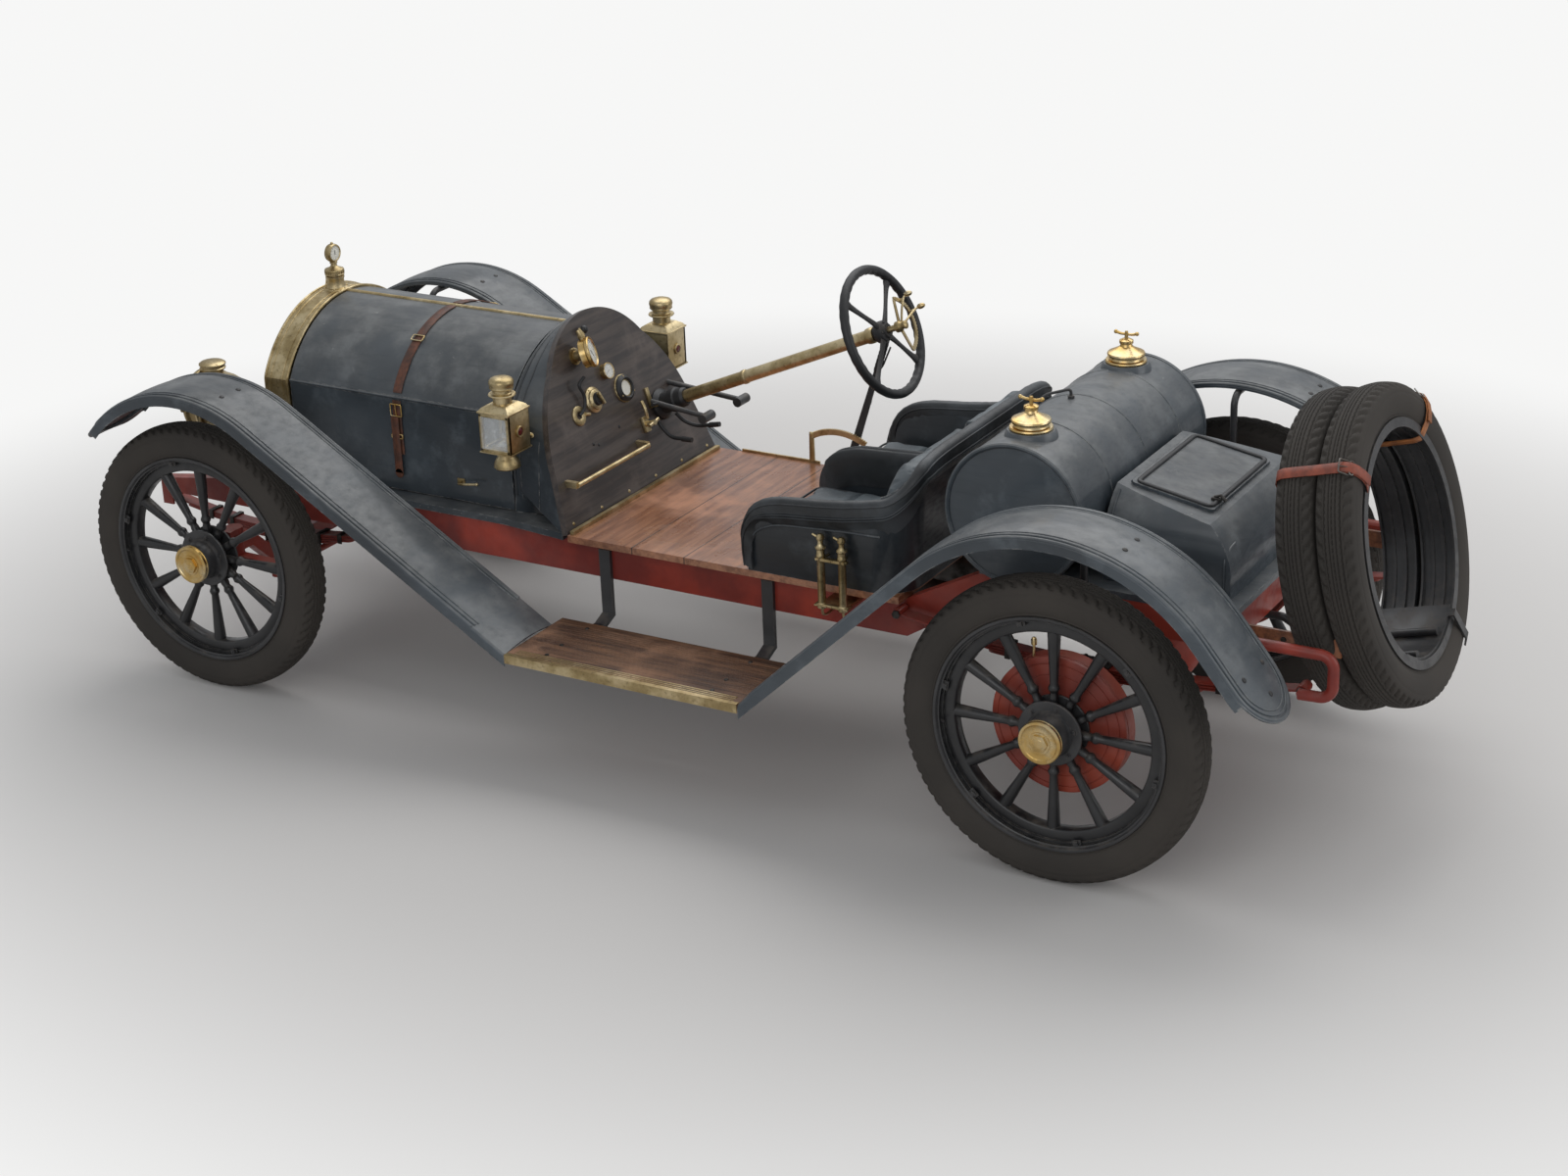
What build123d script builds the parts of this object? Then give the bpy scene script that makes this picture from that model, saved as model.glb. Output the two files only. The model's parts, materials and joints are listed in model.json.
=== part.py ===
# Brass era roadster: two bucket seats, round tank, tool box and two spare tyres on an open frame.
# Millimetres. +X forward, +Y to the car's left, +Z up. The origin lies on the ground, in the
# middle of the whole car's length and width.
from build123d import *
from math import acos, asin, atan2, cos, degrees, hypot, pi, radians, sin, sqrt, tan
import os

os.makedirs("parts", exist_ok=True)

# Tyres and spares, which set how far the car reaches behind its rear axle
tyre_radius = 457.0
tyre_width = 115.0
rim_radius = 343.0
spare_setback = 603.0
spare_pitch = 116.5
spare_z = tyre_radius + 385.0
spare_lean = 14.5
tyre_profile = [
    # share of the tyre's height over the rim, share of its half width
    (0.0, 0.67),
    (0.26, 0.93),
    (0.48, 1.0),
    (0.71, 0.97),
    (0.87, 0.86),
    (0.92, 0.76),
    (0.96, 0.62),
    (1.0, 0.0),
]
tyre_seat = rim_radius + 4.0
tyre_points = [
    (tyre_seat + up * (tyre_radius - tyre_seat), share * tyre_width / 2)
    for up, share in tyre_profile
]
lean_sin = sin(radians(spare_lean))
lean_cos = cos(radians(spare_lean))
spare_reach = max(radius * lean_sin + half * lean_cos for radius, half in tyre_points)

# Main layout
wheelbase = 3048.0
track = 1422.0
front_overhang = 472.0
rear_overhang = spare_setback + spare_pitch * lean_cos + spare_reach
rear_axle_x = (rear_overhang - front_overhang - wheelbase) / 2
front_axle_x = rear_axle_x + wheelbase
axle_z = tyre_radius
running_gap = 0.05
seat_gap = 0.3
panel_gap = 5.0

# Frame
rail_outer_y = 400.0
rail_flange = 45.0
rail_depth = 120.0
rail_top_z = axle_z + 163.0
rail_wall = 6.0
rear_rail_top_z = rail_top_z + 122.0
rear_rail_depth = 95.0
cross_width = 60.0
hanger_thickness = 8.0
beam_drop = 88.0
beam_height = 54.0
rear_seat_height = 52.0

# Wheels
hub_radius = 58.0
hub_flange_radius = 96.0
hub_flange_thickness = 9.0
spoke_count = 12
spoke_root = (46.0, 34.0)
spoke_tip = (34.0, 30.0)
felloe_inner = rim_radius - 47.0
felloe_outer = rim_radius - 13.0
felloe_width = 46.0
rim_width = 102.0
spindle_radius = 21.0
hub_inner_y = 56.0
hub_outer_y = 64.0
cap_reach = 106.0
drum_radius = 205.0
drum_width = 58.0
drum_wall = 6.0

# Steering gear
kingpin_y = track / 2 - 126.0
kingpin_radius = 14.0
boss_radius = 28.0
boss_height = 76.0
ear_thickness = 18.0
knuckle_web = 16.0
arm_length = 170.0
tie_rod_radius = 11.0
tie_pin_radius = 8.0
tie_pin_length = 36.0
tie_eye_radius = 19.0
tie_eye_height = 28.0

# Springs
spring_width = 50.0
leaf_thickness = 8.0
leaf_count = 5
front_spring_y = track / 2 - 351.0
front_spring_half = 450.0
rear_spring_y = 440.0
rear_spring_half = 620.0
front_spring_rise = 48.0
rear_spring_rise = 50.0
spring_pin_radius = 8.0

# Hood, radiator and cowl
floor_thickness = 22.0
floor_top_z = rail_top_z + floor_thickness
dash_bottom_z = floor_top_z
hood_half_width = 345.0
hood_shoulder_z = rail_top_z + 345.0
hood_top_z = rail_top_z + 560.0
hood_wall = 3.0
hood_rear_x = front_axle_x - 990.0
sill_top_z = rail_top_z + 22.0
sill_outer_y = hood_half_width + 65.0
radiator_rear_x = front_axle_x - 98.0
radiator_depth = 100.0
radiator_bottom_z = rail_top_z - 52.0
radiator_frame = 34.0
radiator_margin = 5.0
neck_radius = 27.0
neck_top_z = rail_top_z + 612.0
meter_radius = 29.0
meter_z = rail_top_z + 685.0

# Dashboard
dash_bottom_x = front_axle_x - 1258.0
dash_top_z = rail_top_z + 605.0
dash_lean = 18.8
dash_thickness = 22.0
dash_bottom_half = 446.0
dash_shoulder = (404.0, rail_top_z + 206.0)
dash_bend = (353.0, rail_top_z + 355.0)
dash_crown = (262.0, rail_top_z + 470.0)

# Body
floor_half = 450.0
seat_front_x = rear_axle_x + 1130.0
seat_rear_x = rear_axle_x + 600.0
seat_lean = 60.0
seat_flare = 70.0
seat_wall = 26.0
seat_base_top_z = rail_top_z + 95.0
arm_front_z = rail_top_z + 260.0
arm_rear_z = rail_top_z + 294.0
back_top_z = rail_top_z + 440.0
cushion_top_z = rail_top_z + 170.0
divider_half = 16.0
back_level = 370.0

# Tank and tool box
tank_radius = 212.0
box_front_x = rear_axle_x + 22.0
tank_x = box_front_x + tank_radius + 13.0
tank_z = rail_top_z + 129.0 + tank_radius
tank_half = 454.0
filler_y = 333.0
deck_thickness = 20.0
deck_half = 400.0
deck_top_z = rear_rail_top_z + deck_thickness
box_rear_x = rear_axle_x - 360.0
box_bottom_half = 335.0
box_top_half = 238.0
box_front_z = rail_top_z + 404.0
box_rear_z = rail_top_z + 346.0
box_dome_z = rail_top_z + 240.0
box_top_rear_x = rear_axle_x - 282.0
box_wall = 4.0
lid_half = 226.0
lid_thickness = 10.0

# Fenders and running boards
fender_inner_y = track / 2 - 138.0
fender_outer_y = track / 2 + 127.0
fender_sheet = 4.0
fender_lip = 34.0
inner_lip = 14.0
fender_crown = 9.0
fender_ease = 10.0
front_fender_radius = tyre_radius + 59.0
front_fender_x = front_axle_x - 36.0
front_fender_z = axle_z + 74.0
front_lip_angle = 36.0
rear_fender_x = rear_axle_x - 16.5
rear_fender_z = axle_z + 18.6
rear_fender_radius = tyre_radius + 137.6
rear_tail_angle = 141.7
tail_length = 285.0
end_round = 130.0
nose_round = 75.0
foot_spare = 70.0
board_top_z = rail_top_z - 228.0
board_thickness = 26.0
board_front_x = front_axle_x - 1268.0
board_rear_x = rear_axle_x + 950.0
board_inner_y = rail_outer_y + 120.0
iron_radius = 11.0

# Steering wheel and column
wheel_tilt = 22.9
wheel_x = front_axle_x - 2027.0
wheel_y = -230.0
wheel_z = rail_top_z + 588.0
wheel_rim_radius = 200.0
wheel_rim_section = 14.0
column_radius = 21.0
column_length = 1000.0

sides = (("left", 1), ("right", -1))


def place(x, y, z):
    """A plane at a point, with its own axes along the car's."""
    return Plane(origin=(x, y, z), x_dir=(1, 0, 0), z_dir=(0, 0, 1))


def side_plane(y):
    """A plane whose sketches read (x, z) and whose normal is the car's right."""
    return Plane(origin=(0, y, 0), x_dir=(1, 0, 0), z_dir=(0, -1, 0))


def end_plane(x):
    """A plane whose sketches read (y, z) and whose normal is forward."""
    return Plane(origin=(x, 0, 0), x_dir=(0, 1, 0), z_dir=(1, 0, 0))


def rod(points, radius, bend):
    """A round bar along a line of points, with each corner bent."""
    with BuildPart() as bar:
        with BuildLine() as path:
            if len(points) > 2:
                FilletPolyline(*points, radius=bend)
            else:
                Line(*points)
        with BuildSketch(Plane(origin=path.line @ 0, z_dir=path.line % 0)):
            Circle(radius)
        sweep()
    return bar.part


def save(part, name):
    """Label a finished piece and write it."""
    part.label = name
    export_step(part, f"parts/{name}.step")


# Chassis frame
front_end_x = front_axle_x + front_overhang
rear_end_x = rear_axle_x - 400.0
kick_start_x = rear_axle_x + 620.0
kick_end_x = rear_axle_x + 380.0
horn_eye_z = rail_top_z - 90.0


def rail_outline(inset):
    """One side rail seen from the side, drawn inward from its edge."""
    top = rail_top_z - inset
    low = rail_top_z - rail_depth + inset
    rear_top = rear_rail_top_z - inset
    rear_low = rear_rail_top_z - rear_rail_depth + inset
    nose_top = horn_eye_z + 22 - inset
    nose_low = horn_eye_z - 22 + inset
    taper_x = radiator_rear_x + radiator_depth
    with BuildLine() as outline:
        Polyline(
            (rear_end_x + inset, rear_low),
            (rear_end_x + inset, rear_top),
            (kick_end_x, rear_top),
            (kick_start_x, top),
            (taper_x, top),
            (front_end_x - inset, nose_top),
            (front_end_x - inset, nose_low),
            (taper_x - 120, low),
            (kick_start_x, low),
            (kick_end_x, rear_low),
            close=True,
        )
    return outline.edges()


front_seat_z = axle_z - beam_drop + beam_height / 2
rear_seat_z = axle_z + rear_seat_height
front_eye_z = front_seat_z + (leaf_count - 0.5) * leaf_thickness + front_spring_rise
rear_eye_z = rear_seat_z + (leaf_count - 0.5) * leaf_thickness + rear_spring_rise
rail_middle_y = rail_outer_y - rail_flange / 2
horn_radius = 16.0
horn_y = rear_spring_y + spring_width / 2 + horn_radius + 2
horn_top_z = rear_rail_top_z - 20
horn_back_x = rear_axle_x - rear_spring_half - 95
cross_members = [
    # centre x, lowest z, height
    (front_axle_x + 20.0, rail_top_z - 110.0, 42.0),
    (front_axle_x - 1520.0, rail_top_z - 75.0, 70.0),
    (rear_axle_x + 1000.0, rail_top_z - 75.0, 70.0),
    (rear_end_x + 40.0, rear_rail_top_z - rear_rail_depth, rear_rail_depth),
]
with BuildPart() as frame:
    for name, side in sides:
        outer = side * rail_outer_y
        inner = side * (rail_outer_y - rail_flange)
        with BuildSketch(side_plane(outer)):
            make_face(rail_outline(0))
        extrude(amount=side * rail_flange)
        with BuildSketch(side_plane(inner)):
            make_face(rail_outline(rail_wall))
        extrude(amount=-side * (rail_flange - rail_wall), mode=Mode.SUBTRACT)
    for x, z, height in cross_members:
        with BuildSketch(side_plane(rail_outer_y - rail_wall)):
            with Locations((x, z + height / 2)):
                Rectangle(cross_width, height)
        extrude(amount=2 * (rail_outer_y - rail_wall))
    for name, side in sides:
        # Hangers on the rail's outer face carry the front springs' pins
        for x in (front_axle_x - front_spring_half, front_axle_x + front_spring_half):
            with BuildSketch(side_plane(side * rail_outer_y)):
                with Locations((x, (front_eye_z + horn_eye_z) / 2)):
                    Rectangle(44, horn_eye_z - front_eye_z + 36)
            extrude(amount=-side * hanger_thickness)
            with BuildSketch(side_plane(side * rail_outer_y)):
                with Locations((x, front_eye_z)):
                    Circle(spring_pin_radius)
            extrude(amount=side * (rail_outer_y - front_spring_y + spring_width / 2 + 5))
        # Horns run back from the rear cross member and curl down to the rear springs
        rear_eye_x = rear_axle_x - rear_spring_half
        add(rod(
            [
                (rear_end_x + 20, side * rail_middle_y, horn_top_z - 10),
                (rear_end_x - 50, side * horn_y, horn_top_z),
                (horn_back_x, side * horn_y, horn_top_z),
                (horn_back_x, side * horn_y, rear_eye_z + 4),
                (rear_eye_x, side * horn_y, rear_eye_z),
            ],
            horn_radius,
            38,
        ))
        with BuildSketch(side_plane(side * horn_y)):
            with Locations((rear_eye_x, rear_eye_z)):
                Circle(spring_pin_radius)
        extrude(amount=side * (horn_y - rear_spring_y + spring_width / 2 + 5))
        with BuildSketch(side_plane(side * (rail_outer_y - rail_wall))):
            with Locations((rear_axle_x + rear_spring_half, rear_eye_z)):
                Circle(spring_pin_radius)
        extrude(amount=-side * (rear_spring_y - rail_outer_y + rail_wall + spring_width / 2 + 5))
save(frame.part, "chassis_frame")

# Leaf springs, each a stack of bowed leaves over its axle
def leaf_stack(half_length, rise, y, centre_x, seat_z):
    """Leaves bowed up at their ends, the longest on top, resting on seat_z."""
    bow = (half_length**2 + rise**2) / (2 * rise)
    with BuildPart() as stack:
        for leaf in range(leaf_count):
            low = seat_z + leaf * leaf_thickness
            share = half_length * (leaf + 2) / (leaf_count + 1)
            centre_z = low + bow
            turn = degrees(asin(share / bow))
            inner = bow - leaf_thickness
            with BuildSketch(side_plane(y + spring_width / 2)):
                with BuildLine():
                    right = (centre_x + share, centre_z - bow * cos(radians(turn)))
                    left = (centre_x - share, centre_z - bow * cos(radians(turn)))
                    right_up = (
                        centre_x + inner * sin(radians(turn)),
                        centre_z - inner * cos(radians(turn)),
                    )
                    left_up = (
                        centre_x - inner * sin(radians(turn)),
                        centre_z - inner * cos(radians(turn)),
                    )
                    ThreePointArc(left, (centre_x, low), right)
                    Line(right, right_up)
                    ThreePointArc(right_up, (centre_x, low + leaf_thickness), left_up)
                    Line(left_up, left)
                make_face()
            extrude(amount=spring_width)
        for end in (1, -1):
            eye_x = centre_x + end * half_length
            eye_z = seat_z + (leaf_count - 0.5) * leaf_thickness + rise
            with BuildSketch(side_plane(y + spring_width / 2)):
                with Locations((eye_x, eye_z)):
                    Circle(spring_pin_radius + leaf_thickness)
            extrude(amount=spring_width)
            with BuildSketch(side_plane(y + spring_width / 2)):
                with Locations((eye_x, eye_z)):
                    Circle(spring_pin_radius + running_gap)
            extrude(amount=spring_width, mode=Mode.SUBTRACT)
    return stack.part


spring_table = [
    # half length, rise, distance from the middle, centre x, seat z
    (front_spring_half, front_spring_rise, front_spring_y, front_axle_x, front_seat_z),
    (rear_spring_half, rear_spring_rise, rear_spring_y, rear_axle_x, rear_seat_z),
]
with BuildPart() as leaf_springs:
    for half_length, rise, spring_y, centre_x, seat_z in spring_table:
        for name, side in sides:
            add(leaf_stack(half_length, rise, side * spring_y, centre_x, seat_z))
save(leaf_springs.part, "leaf_springs")

# Front axle: a dropped beam with a boss at each end for the kingpin
beam_width = 44.0
beam_y = (kingpin_y - 150.0, kingpin_y - 60.0)
with BuildPart() as front_axle:
    with BuildSketch(end_plane(front_axle_x - beam_width / 2)):
        with BuildLine():
            Polyline(
                (-kingpin_y, axle_z + beam_height / 2),
                (-beam_y[1], axle_z + beam_height / 2),
                (-beam_y[0], axle_z - beam_drop + beam_height / 2),
                (beam_y[0], axle_z - beam_drop + beam_height / 2),
                (beam_y[1], axle_z + beam_height / 2),
                (kingpin_y, axle_z + beam_height / 2),
                (kingpin_y, axle_z - beam_height / 2),
                (beam_y[1], axle_z - beam_height / 2),
                (beam_y[0], axle_z - beam_drop - beam_height / 2),
                (-beam_y[0], axle_z - beam_drop - beam_height / 2),
                (-beam_y[1], axle_z - beam_height / 2),
                (-kingpin_y, axle_z - beam_height / 2),
                close=True,
            )
        make_face()
    extrude(amount=beam_width)
    for name, side in sides:
        with BuildSketch(place(front_axle_x, side * kingpin_y, axle_z - boss_height / 2)):
            Circle(boss_radius)
        extrude(amount=boss_height)
    for name, side in sides:
        with BuildSketch(place(front_axle_x, side * kingpin_y, axle_z - boss_height / 2)):
            Circle(kingpin_radius + running_gap)
        extrude(amount=boss_height, mode=Mode.SUBTRACT)
save(front_axle.part, "front_axle")

# Steering knuckles: two ears and a pin round the axle boss, a stub for the wheel, an arm behind
stub_end_y = track / 2 + hub_outer_y + 6
for name, side in sides:
    pin_y = side * kingpin_y
    ear_low = axle_z - boss_height / 2 - seat_gap - ear_thickness
    ear_high = axle_z + boss_height / 2 + seat_gap
    web_y = side * (kingpin_y + boss_radius + 6)
    with BuildPart() as knuckle:
        for z in (ear_low, ear_high):
            with BuildSketch(place(front_axle_x, pin_y, z)):
                Circle(boss_radius + 2)
                with Locations((0, side * (boss_radius + 6 + knuckle_web) / 2)):
                    Rectangle(2 * boss_radius, boss_radius + 6 + knuckle_web)
            extrude(amount=ear_thickness)
        with BuildSketch(side_plane(web_y)):
            with Locations((front_axle_x, axle_z)):
                Rectangle(2 * boss_radius, boss_height + 2 * ear_thickness + 2 * seat_gap)
        extrude(amount=-side * knuckle_web)
        with BuildSketch(place(front_axle_x, pin_y, ear_low)):
            Circle(kingpin_radius)
        extrude(amount=boss_height + 2 * ear_thickness + 2 * seat_gap)
        with BuildSketch(side_plane(web_y)):
            with Locations((front_axle_x, axle_z)):
                Circle(spindle_radius)
        extrude(amount=-side * (stub_end_y - abs(web_y)))
        with BuildSketch(place(front_axle_x, 0, ear_low)):
            with BuildLine():
                Polyline(
                    (0, pin_y + 22),
                    (-arm_length, pin_y + 18),
                    (-arm_length, pin_y - 18),
                    (0, pin_y - 22),
                    close=True,
                )
            make_face()
            with Locations((-arm_length, pin_y)):
                Circle(18)
        extrude(amount=ear_thickness)
        with BuildSketch(place(front_axle_x - arm_length, pin_y, ear_low - tie_pin_length)):
            Circle(tie_pin_radius)
        extrude(amount=tie_pin_length)
    save(knuckle.part, f"knuckle_{name}")

# Tie rod between the two arms, its eyes on the arms' pins
tie_eye_low = ear_low - tie_eye_height - 4
tie_z = tie_eye_low + tie_eye_height / 2
with BuildPart() as tie_rod:
    with BuildSketch(side_plane(kingpin_y)):
        with Locations((front_axle_x - arm_length, tie_z)):
            Circle(tie_rod_radius)
    extrude(amount=2 * kingpin_y)
    for name, side in sides:
        with BuildSketch(place(front_axle_x - arm_length, side * kingpin_y, tie_eye_low)):
            Circle(tie_eye_radius)
        extrude(amount=tie_eye_height)
    for name, side in sides:
        with BuildSketch(place(front_axle_x - arm_length, side * kingpin_y, tie_eye_low)):
            Circle(tie_pin_radius + running_gap)
        extrude(amount=tie_eye_height, mode=Mode.SUBTRACT)
save(tie_rod.part, "tie_rod")

# Rear axle: tubes, round differential case and stubs for the wheels
axle_tube_radius = 40.0
case_radius = 150.0
case_half = 95.0
tube_end_y = track / 2 - hub_inner_y - 4
with BuildPart() as rear_axle:
    with BuildSketch(end_plane(rear_axle_x)):
        with BuildLine():
            Line((-stub_end_y, axle_z), (-stub_end_y, axle_z + spindle_radius))
            Line((-stub_end_y, axle_z + spindle_radius), (-tube_end_y, axle_z + spindle_radius))
            Line((-tube_end_y, axle_z + spindle_radius), (-tube_end_y, axle_z + axle_tube_radius))
            Line((-tube_end_y, axle_z + axle_tube_radius), (-case_half, axle_z + axle_tube_radius))
            ThreePointArc(
                (-case_half, axle_z + axle_tube_radius),
                (0, axle_z + case_radius),
                (case_half, axle_z + axle_tube_radius),
            )
            Line((case_half, axle_z + axle_tube_radius), (tube_end_y, axle_z + axle_tube_radius))
            Line((tube_end_y, axle_z + axle_tube_radius), (tube_end_y, axle_z + spindle_radius))
            Line((tube_end_y, axle_z + spindle_radius), (stub_end_y, axle_z + spindle_radius))
            Line((stub_end_y, axle_z + spindle_radius), (stub_end_y, axle_z))
            Line((stub_end_y, axle_z), (-stub_end_y, axle_z))
        make_face()
    revolve(axis=Axis((rear_axle_x, 0, axle_z), (0, 1, 0)))
    for name, side in sides:
        with BuildSketch(place(rear_axle_x, side * rear_spring_y, axle_z)):
            Rectangle(90, spring_width)
        extrude(amount=rear_seat_z - axle_z)
save(rear_axle.part, "rear_axle")

# Engine block, and the gearbox with its torque tube to the rear axle
engine_front_x = front_axle_x - 200.0
engine_length = 720.0
engine_width = 300.0
engine_low_z = rail_top_z - 200.0
engine_high_z = rail_top_z + 420.0
engine_rear_x = engine_front_x - engine_length
foot_z = rail_top_z - rail_depth + rail_wall
with BuildPart() as engine:
    with BuildSketch(place(engine_front_x - engine_length / 2, 0, engine_low_z)):
        Rectangle(engine_length, engine_width)
    extrude(amount=engine_high_z - engine_low_z)
    for x in (engine_front_x - 100, engine_front_x - 440):
        with BuildSketch(place(x, 0, foot_z)):
            Rectangle(60, 2 * (rail_outer_y - rail_wall - 8))
        extrude(amount=22)
save(engine.part, "engine")

gearbox_length = 500.0
gearbox_radius = 115.0
gearbox_z = rail_top_z - 120.0
torque_tube_radius = 36.0
tube_front_x = engine_rear_x - gearbox_length
tube_rear_x = rear_axle_x + case_radius + 0.3
with BuildPart() as driveline:
    with BuildSketch(end_plane(tube_front_x)):
        with Locations((0, gearbox_z)):
            Circle(gearbox_radius)
    extrude(amount=gearbox_length)
    add(rod(
        [(tube_rear_x, 0, axle_z), (tube_front_x + 20, 0, gearbox_z)],
        torque_tube_radius,
        0,
    ))
save(driveline.part, "driveline")

# Exhaust pipe and silencer along the right side
exhaust_y = -300.0
exhaust_port_z = rail_top_z - 45.0
exhaust_z = rail_top_z - 180.0
with BuildPart() as exhaust:
    add(rod(
        [
            (engine_rear_x + 200, -engine_width / 2 - 0.3, exhaust_port_z),
            (engine_rear_x + 200, exhaust_y, exhaust_port_z),
            (engine_rear_x - 120, exhaust_y, exhaust_z),
            (rear_axle_x + 1050, exhaust_y, exhaust_z),
        ],
        24,
        70,
    ))
    with BuildSketch(end_plane(rear_axle_x + 450)):
        with Locations((exhaust_y, exhaust_z)):
            Circle(62)
    extrude(amount=600)
save(exhaust.part, "exhaust")


def hood_arch(half_width, shoulder_z, top_z, bottom_z):
    """An arch with upright sides and a round top, as (y, z) points of its outline."""
    rise = top_z - shoulder_z
    bow = (rise**2 + half_width**2) / (2 * rise)
    crown_y = half_width * 0.76
    crown_z = top_z - bow + sqrt(bow**2 - crown_y**2)
    return {
        "foot": (half_width, bottom_z),
        "shoulder": (half_width, shoulder_z),
        "bend": (half_width * 0.9, top_z - bow + sqrt(bow**2 - (half_width * 0.9) ** 2)),
        "crown": (crown_y, crown_z),
        "apex": (0.0, top_z),
    }


def draw_arch(points):
    """Draw the closed outline of an arch from its points on the left side."""
    def right(name):
        y, z = points[name]
        return (-y, z)

    with BuildLine() as outline:
        Line(points["foot"], points["shoulder"])
        ThreePointArc(points["shoulder"], points["bend"], points["crown"])
        ThreePointArc(points["crown"], points["apex"], right("crown"))
        ThreePointArc(right("crown"), right("bend"), right("shoulder"))
        Line(right("shoulder"), right("foot"))
        Line(right("foot"), points["foot"])
    return outline.edges()


def arch(inset, bottom_z):
    """The hood's cross-section, drawn inward by a wall."""
    return hood_arch(hood_half_width - inset, hood_shoulder_z, hood_top_z - inset, bottom_z)


# Radiator: brass shell with an open face, its neck and round meter, and the core inside
core_depth = 60.0
with BuildPart() as radiator_shell:
    with BuildSketch(end_plane(radiator_rear_x)):
        make_face(draw_arch(arch(-radiator_margin, radiator_bottom_z)))
    extrude(amount=radiator_depth)
    with BuildSketch(end_plane(radiator_rear_x)):
        make_face(draw_arch(arch(radiator_frame, radiator_bottom_z + radiator_frame)))
    extrude(amount=radiator_depth, mode=Mode.SUBTRACT)
    with BuildSketch(place(radiator_rear_x + radiator_depth / 2, 0, hood_top_z - radiator_frame / 2)):
        Circle(neck_radius)
    extrude(amount=neck_top_z - hood_top_z + radiator_frame / 2)
    with BuildSketch(place(radiator_rear_x + radiator_depth / 2, 0, neck_top_z)):
        Circle(neck_radius + 4)
    extrude(amount=14)
    with BuildSketch(place(radiator_rear_x + radiator_depth / 2, 0, neck_top_z)):
        Circle(8)
    extrude(amount=meter_z - neck_top_z)
    with BuildSketch(end_plane(radiator_rear_x + radiator_depth / 2 - 9)):
        with Locations((0, meter_z)):
            Circle(meter_radius)
    extrude(amount=18)
save(radiator_shell.part, "radiator_shell")

with BuildPart() as radiator_core:
    with BuildSketch(end_plane(radiator_rear_x + (radiator_depth - core_depth) / 2)):
        make_face(draw_arch(arch(radiator_frame, radiator_bottom_z + radiator_frame)))
    extrude(amount=core_depth)
save(radiator_core.part, "radiator_core")

# Hood: two top panels on a centre hinge, and a side panel hinged to the edge of each
hinge_radius = 7.0
hood_length = radiator_rear_x - hood_rear_x - 2 * panel_gap
hood_start_x = hood_rear_x + panel_gap
hood_bow = ((hood_top_z - hood_shoulder_z) ** 2 + hood_half_width**2) / (2 * (hood_top_z - hood_shoulder_z))
hood_centre_z = hood_top_z - hood_bow
bead_radius = 4.5
bead_reach = hood_bow - hood_wall / 2
bead_angle = asin((hood_half_width - hood_wall / 2) / bead_reach)
top_start = asin((hinge_radius + seat_gap) / (hood_bow - hood_wall))
top_end = bead_angle - (bead_radius + seat_gap) / (hood_bow - hood_wall)


def on_arc(radius, angle, side):
    """A point of the hood's round top, by its angle from the middle."""
    return (side * radius * sin(angle), hood_centre_z + radius * cos(angle))


for name, side in sides:
    middle = (top_start + top_end) / 2
    inner = hood_bow - hood_wall
    with BuildPart() as hood_top:
        with BuildSketch(end_plane(hood_start_x)):
            with BuildLine():
                ThreePointArc(
                    on_arc(hood_bow, top_start, side),
                    on_arc(hood_bow, middle, side),
                    on_arc(hood_bow, top_end, side),
                )
                Line(on_arc(hood_bow, top_end, side), on_arc(inner, top_end, side))
                ThreePointArc(
                    on_arc(inner, top_end, side),
                    on_arc(inner, middle, side),
                    on_arc(inner, top_start, side),
                )
                Line(on_arc(inner, top_start, side), on_arc(hood_bow, top_start, side))
            make_face()
        extrude(amount=hood_length)
    save(hood_top.part, f"hood_{name}")

    bead_y, bead_z = on_arc(bead_reach, bead_angle, side)
    side_foot_z = sill_top_z + panel_gap
    with BuildPart() as hood_side:
        with BuildSketch(end_plane(hood_start_x)):
            with Locations((bead_y, (bead_z + side_foot_z) / 2)):
                Rectangle(hood_wall, bead_z - side_foot_z)
            with Locations((bead_y, bead_z)):
                Circle(bead_radius)
        extrude(amount=hood_length)
    save(hood_side.part, f"hood_side_{name}")

with BuildPart() as hood_hinge:
    with BuildSketch(end_plane(hood_rear_x)):
        with Locations((0, hood_top_z)):
            Circle(hinge_radius)
    extrude(amount=radiator_rear_x - hood_rear_x)
save(hood_hinge.part, "hood_hinge")

# Cowl: a flared sheet between the hood and the leaning dashboard, with the sills under the hood
dash_plane = Plane(
    origin=(dash_bottom_x, 0, dash_bottom_z),
    x_dir=(0, 1, 0),
    z_dir=(cos(radians(dash_lean)), 0, -sin(radians(dash_lean))),
)
up_slope = 1 / cos(radians(dash_lean))


def dash_arch(inset):
    """The dashboard's outline in its own plane, drawn inward by a wall."""
    def on_board(y, z):
        return (y - inset, (z - dash_bottom_z) * up_slope)

    foot = (dash_bottom_half - inset, 0.0)
    shoulder = on_board(*dash_shoulder)
    crown = on_board(*dash_crown)
    bend = on_board(*dash_bend)
    return {
        "foot": foot,
        "shoulder": shoulder,
        "bend": bend,
        "crown": (crown[0], crown[1] - inset * 0.6),
        "apex": (0.0, (dash_top_z - dash_bottom_z) * up_slope - inset),
    }


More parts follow.
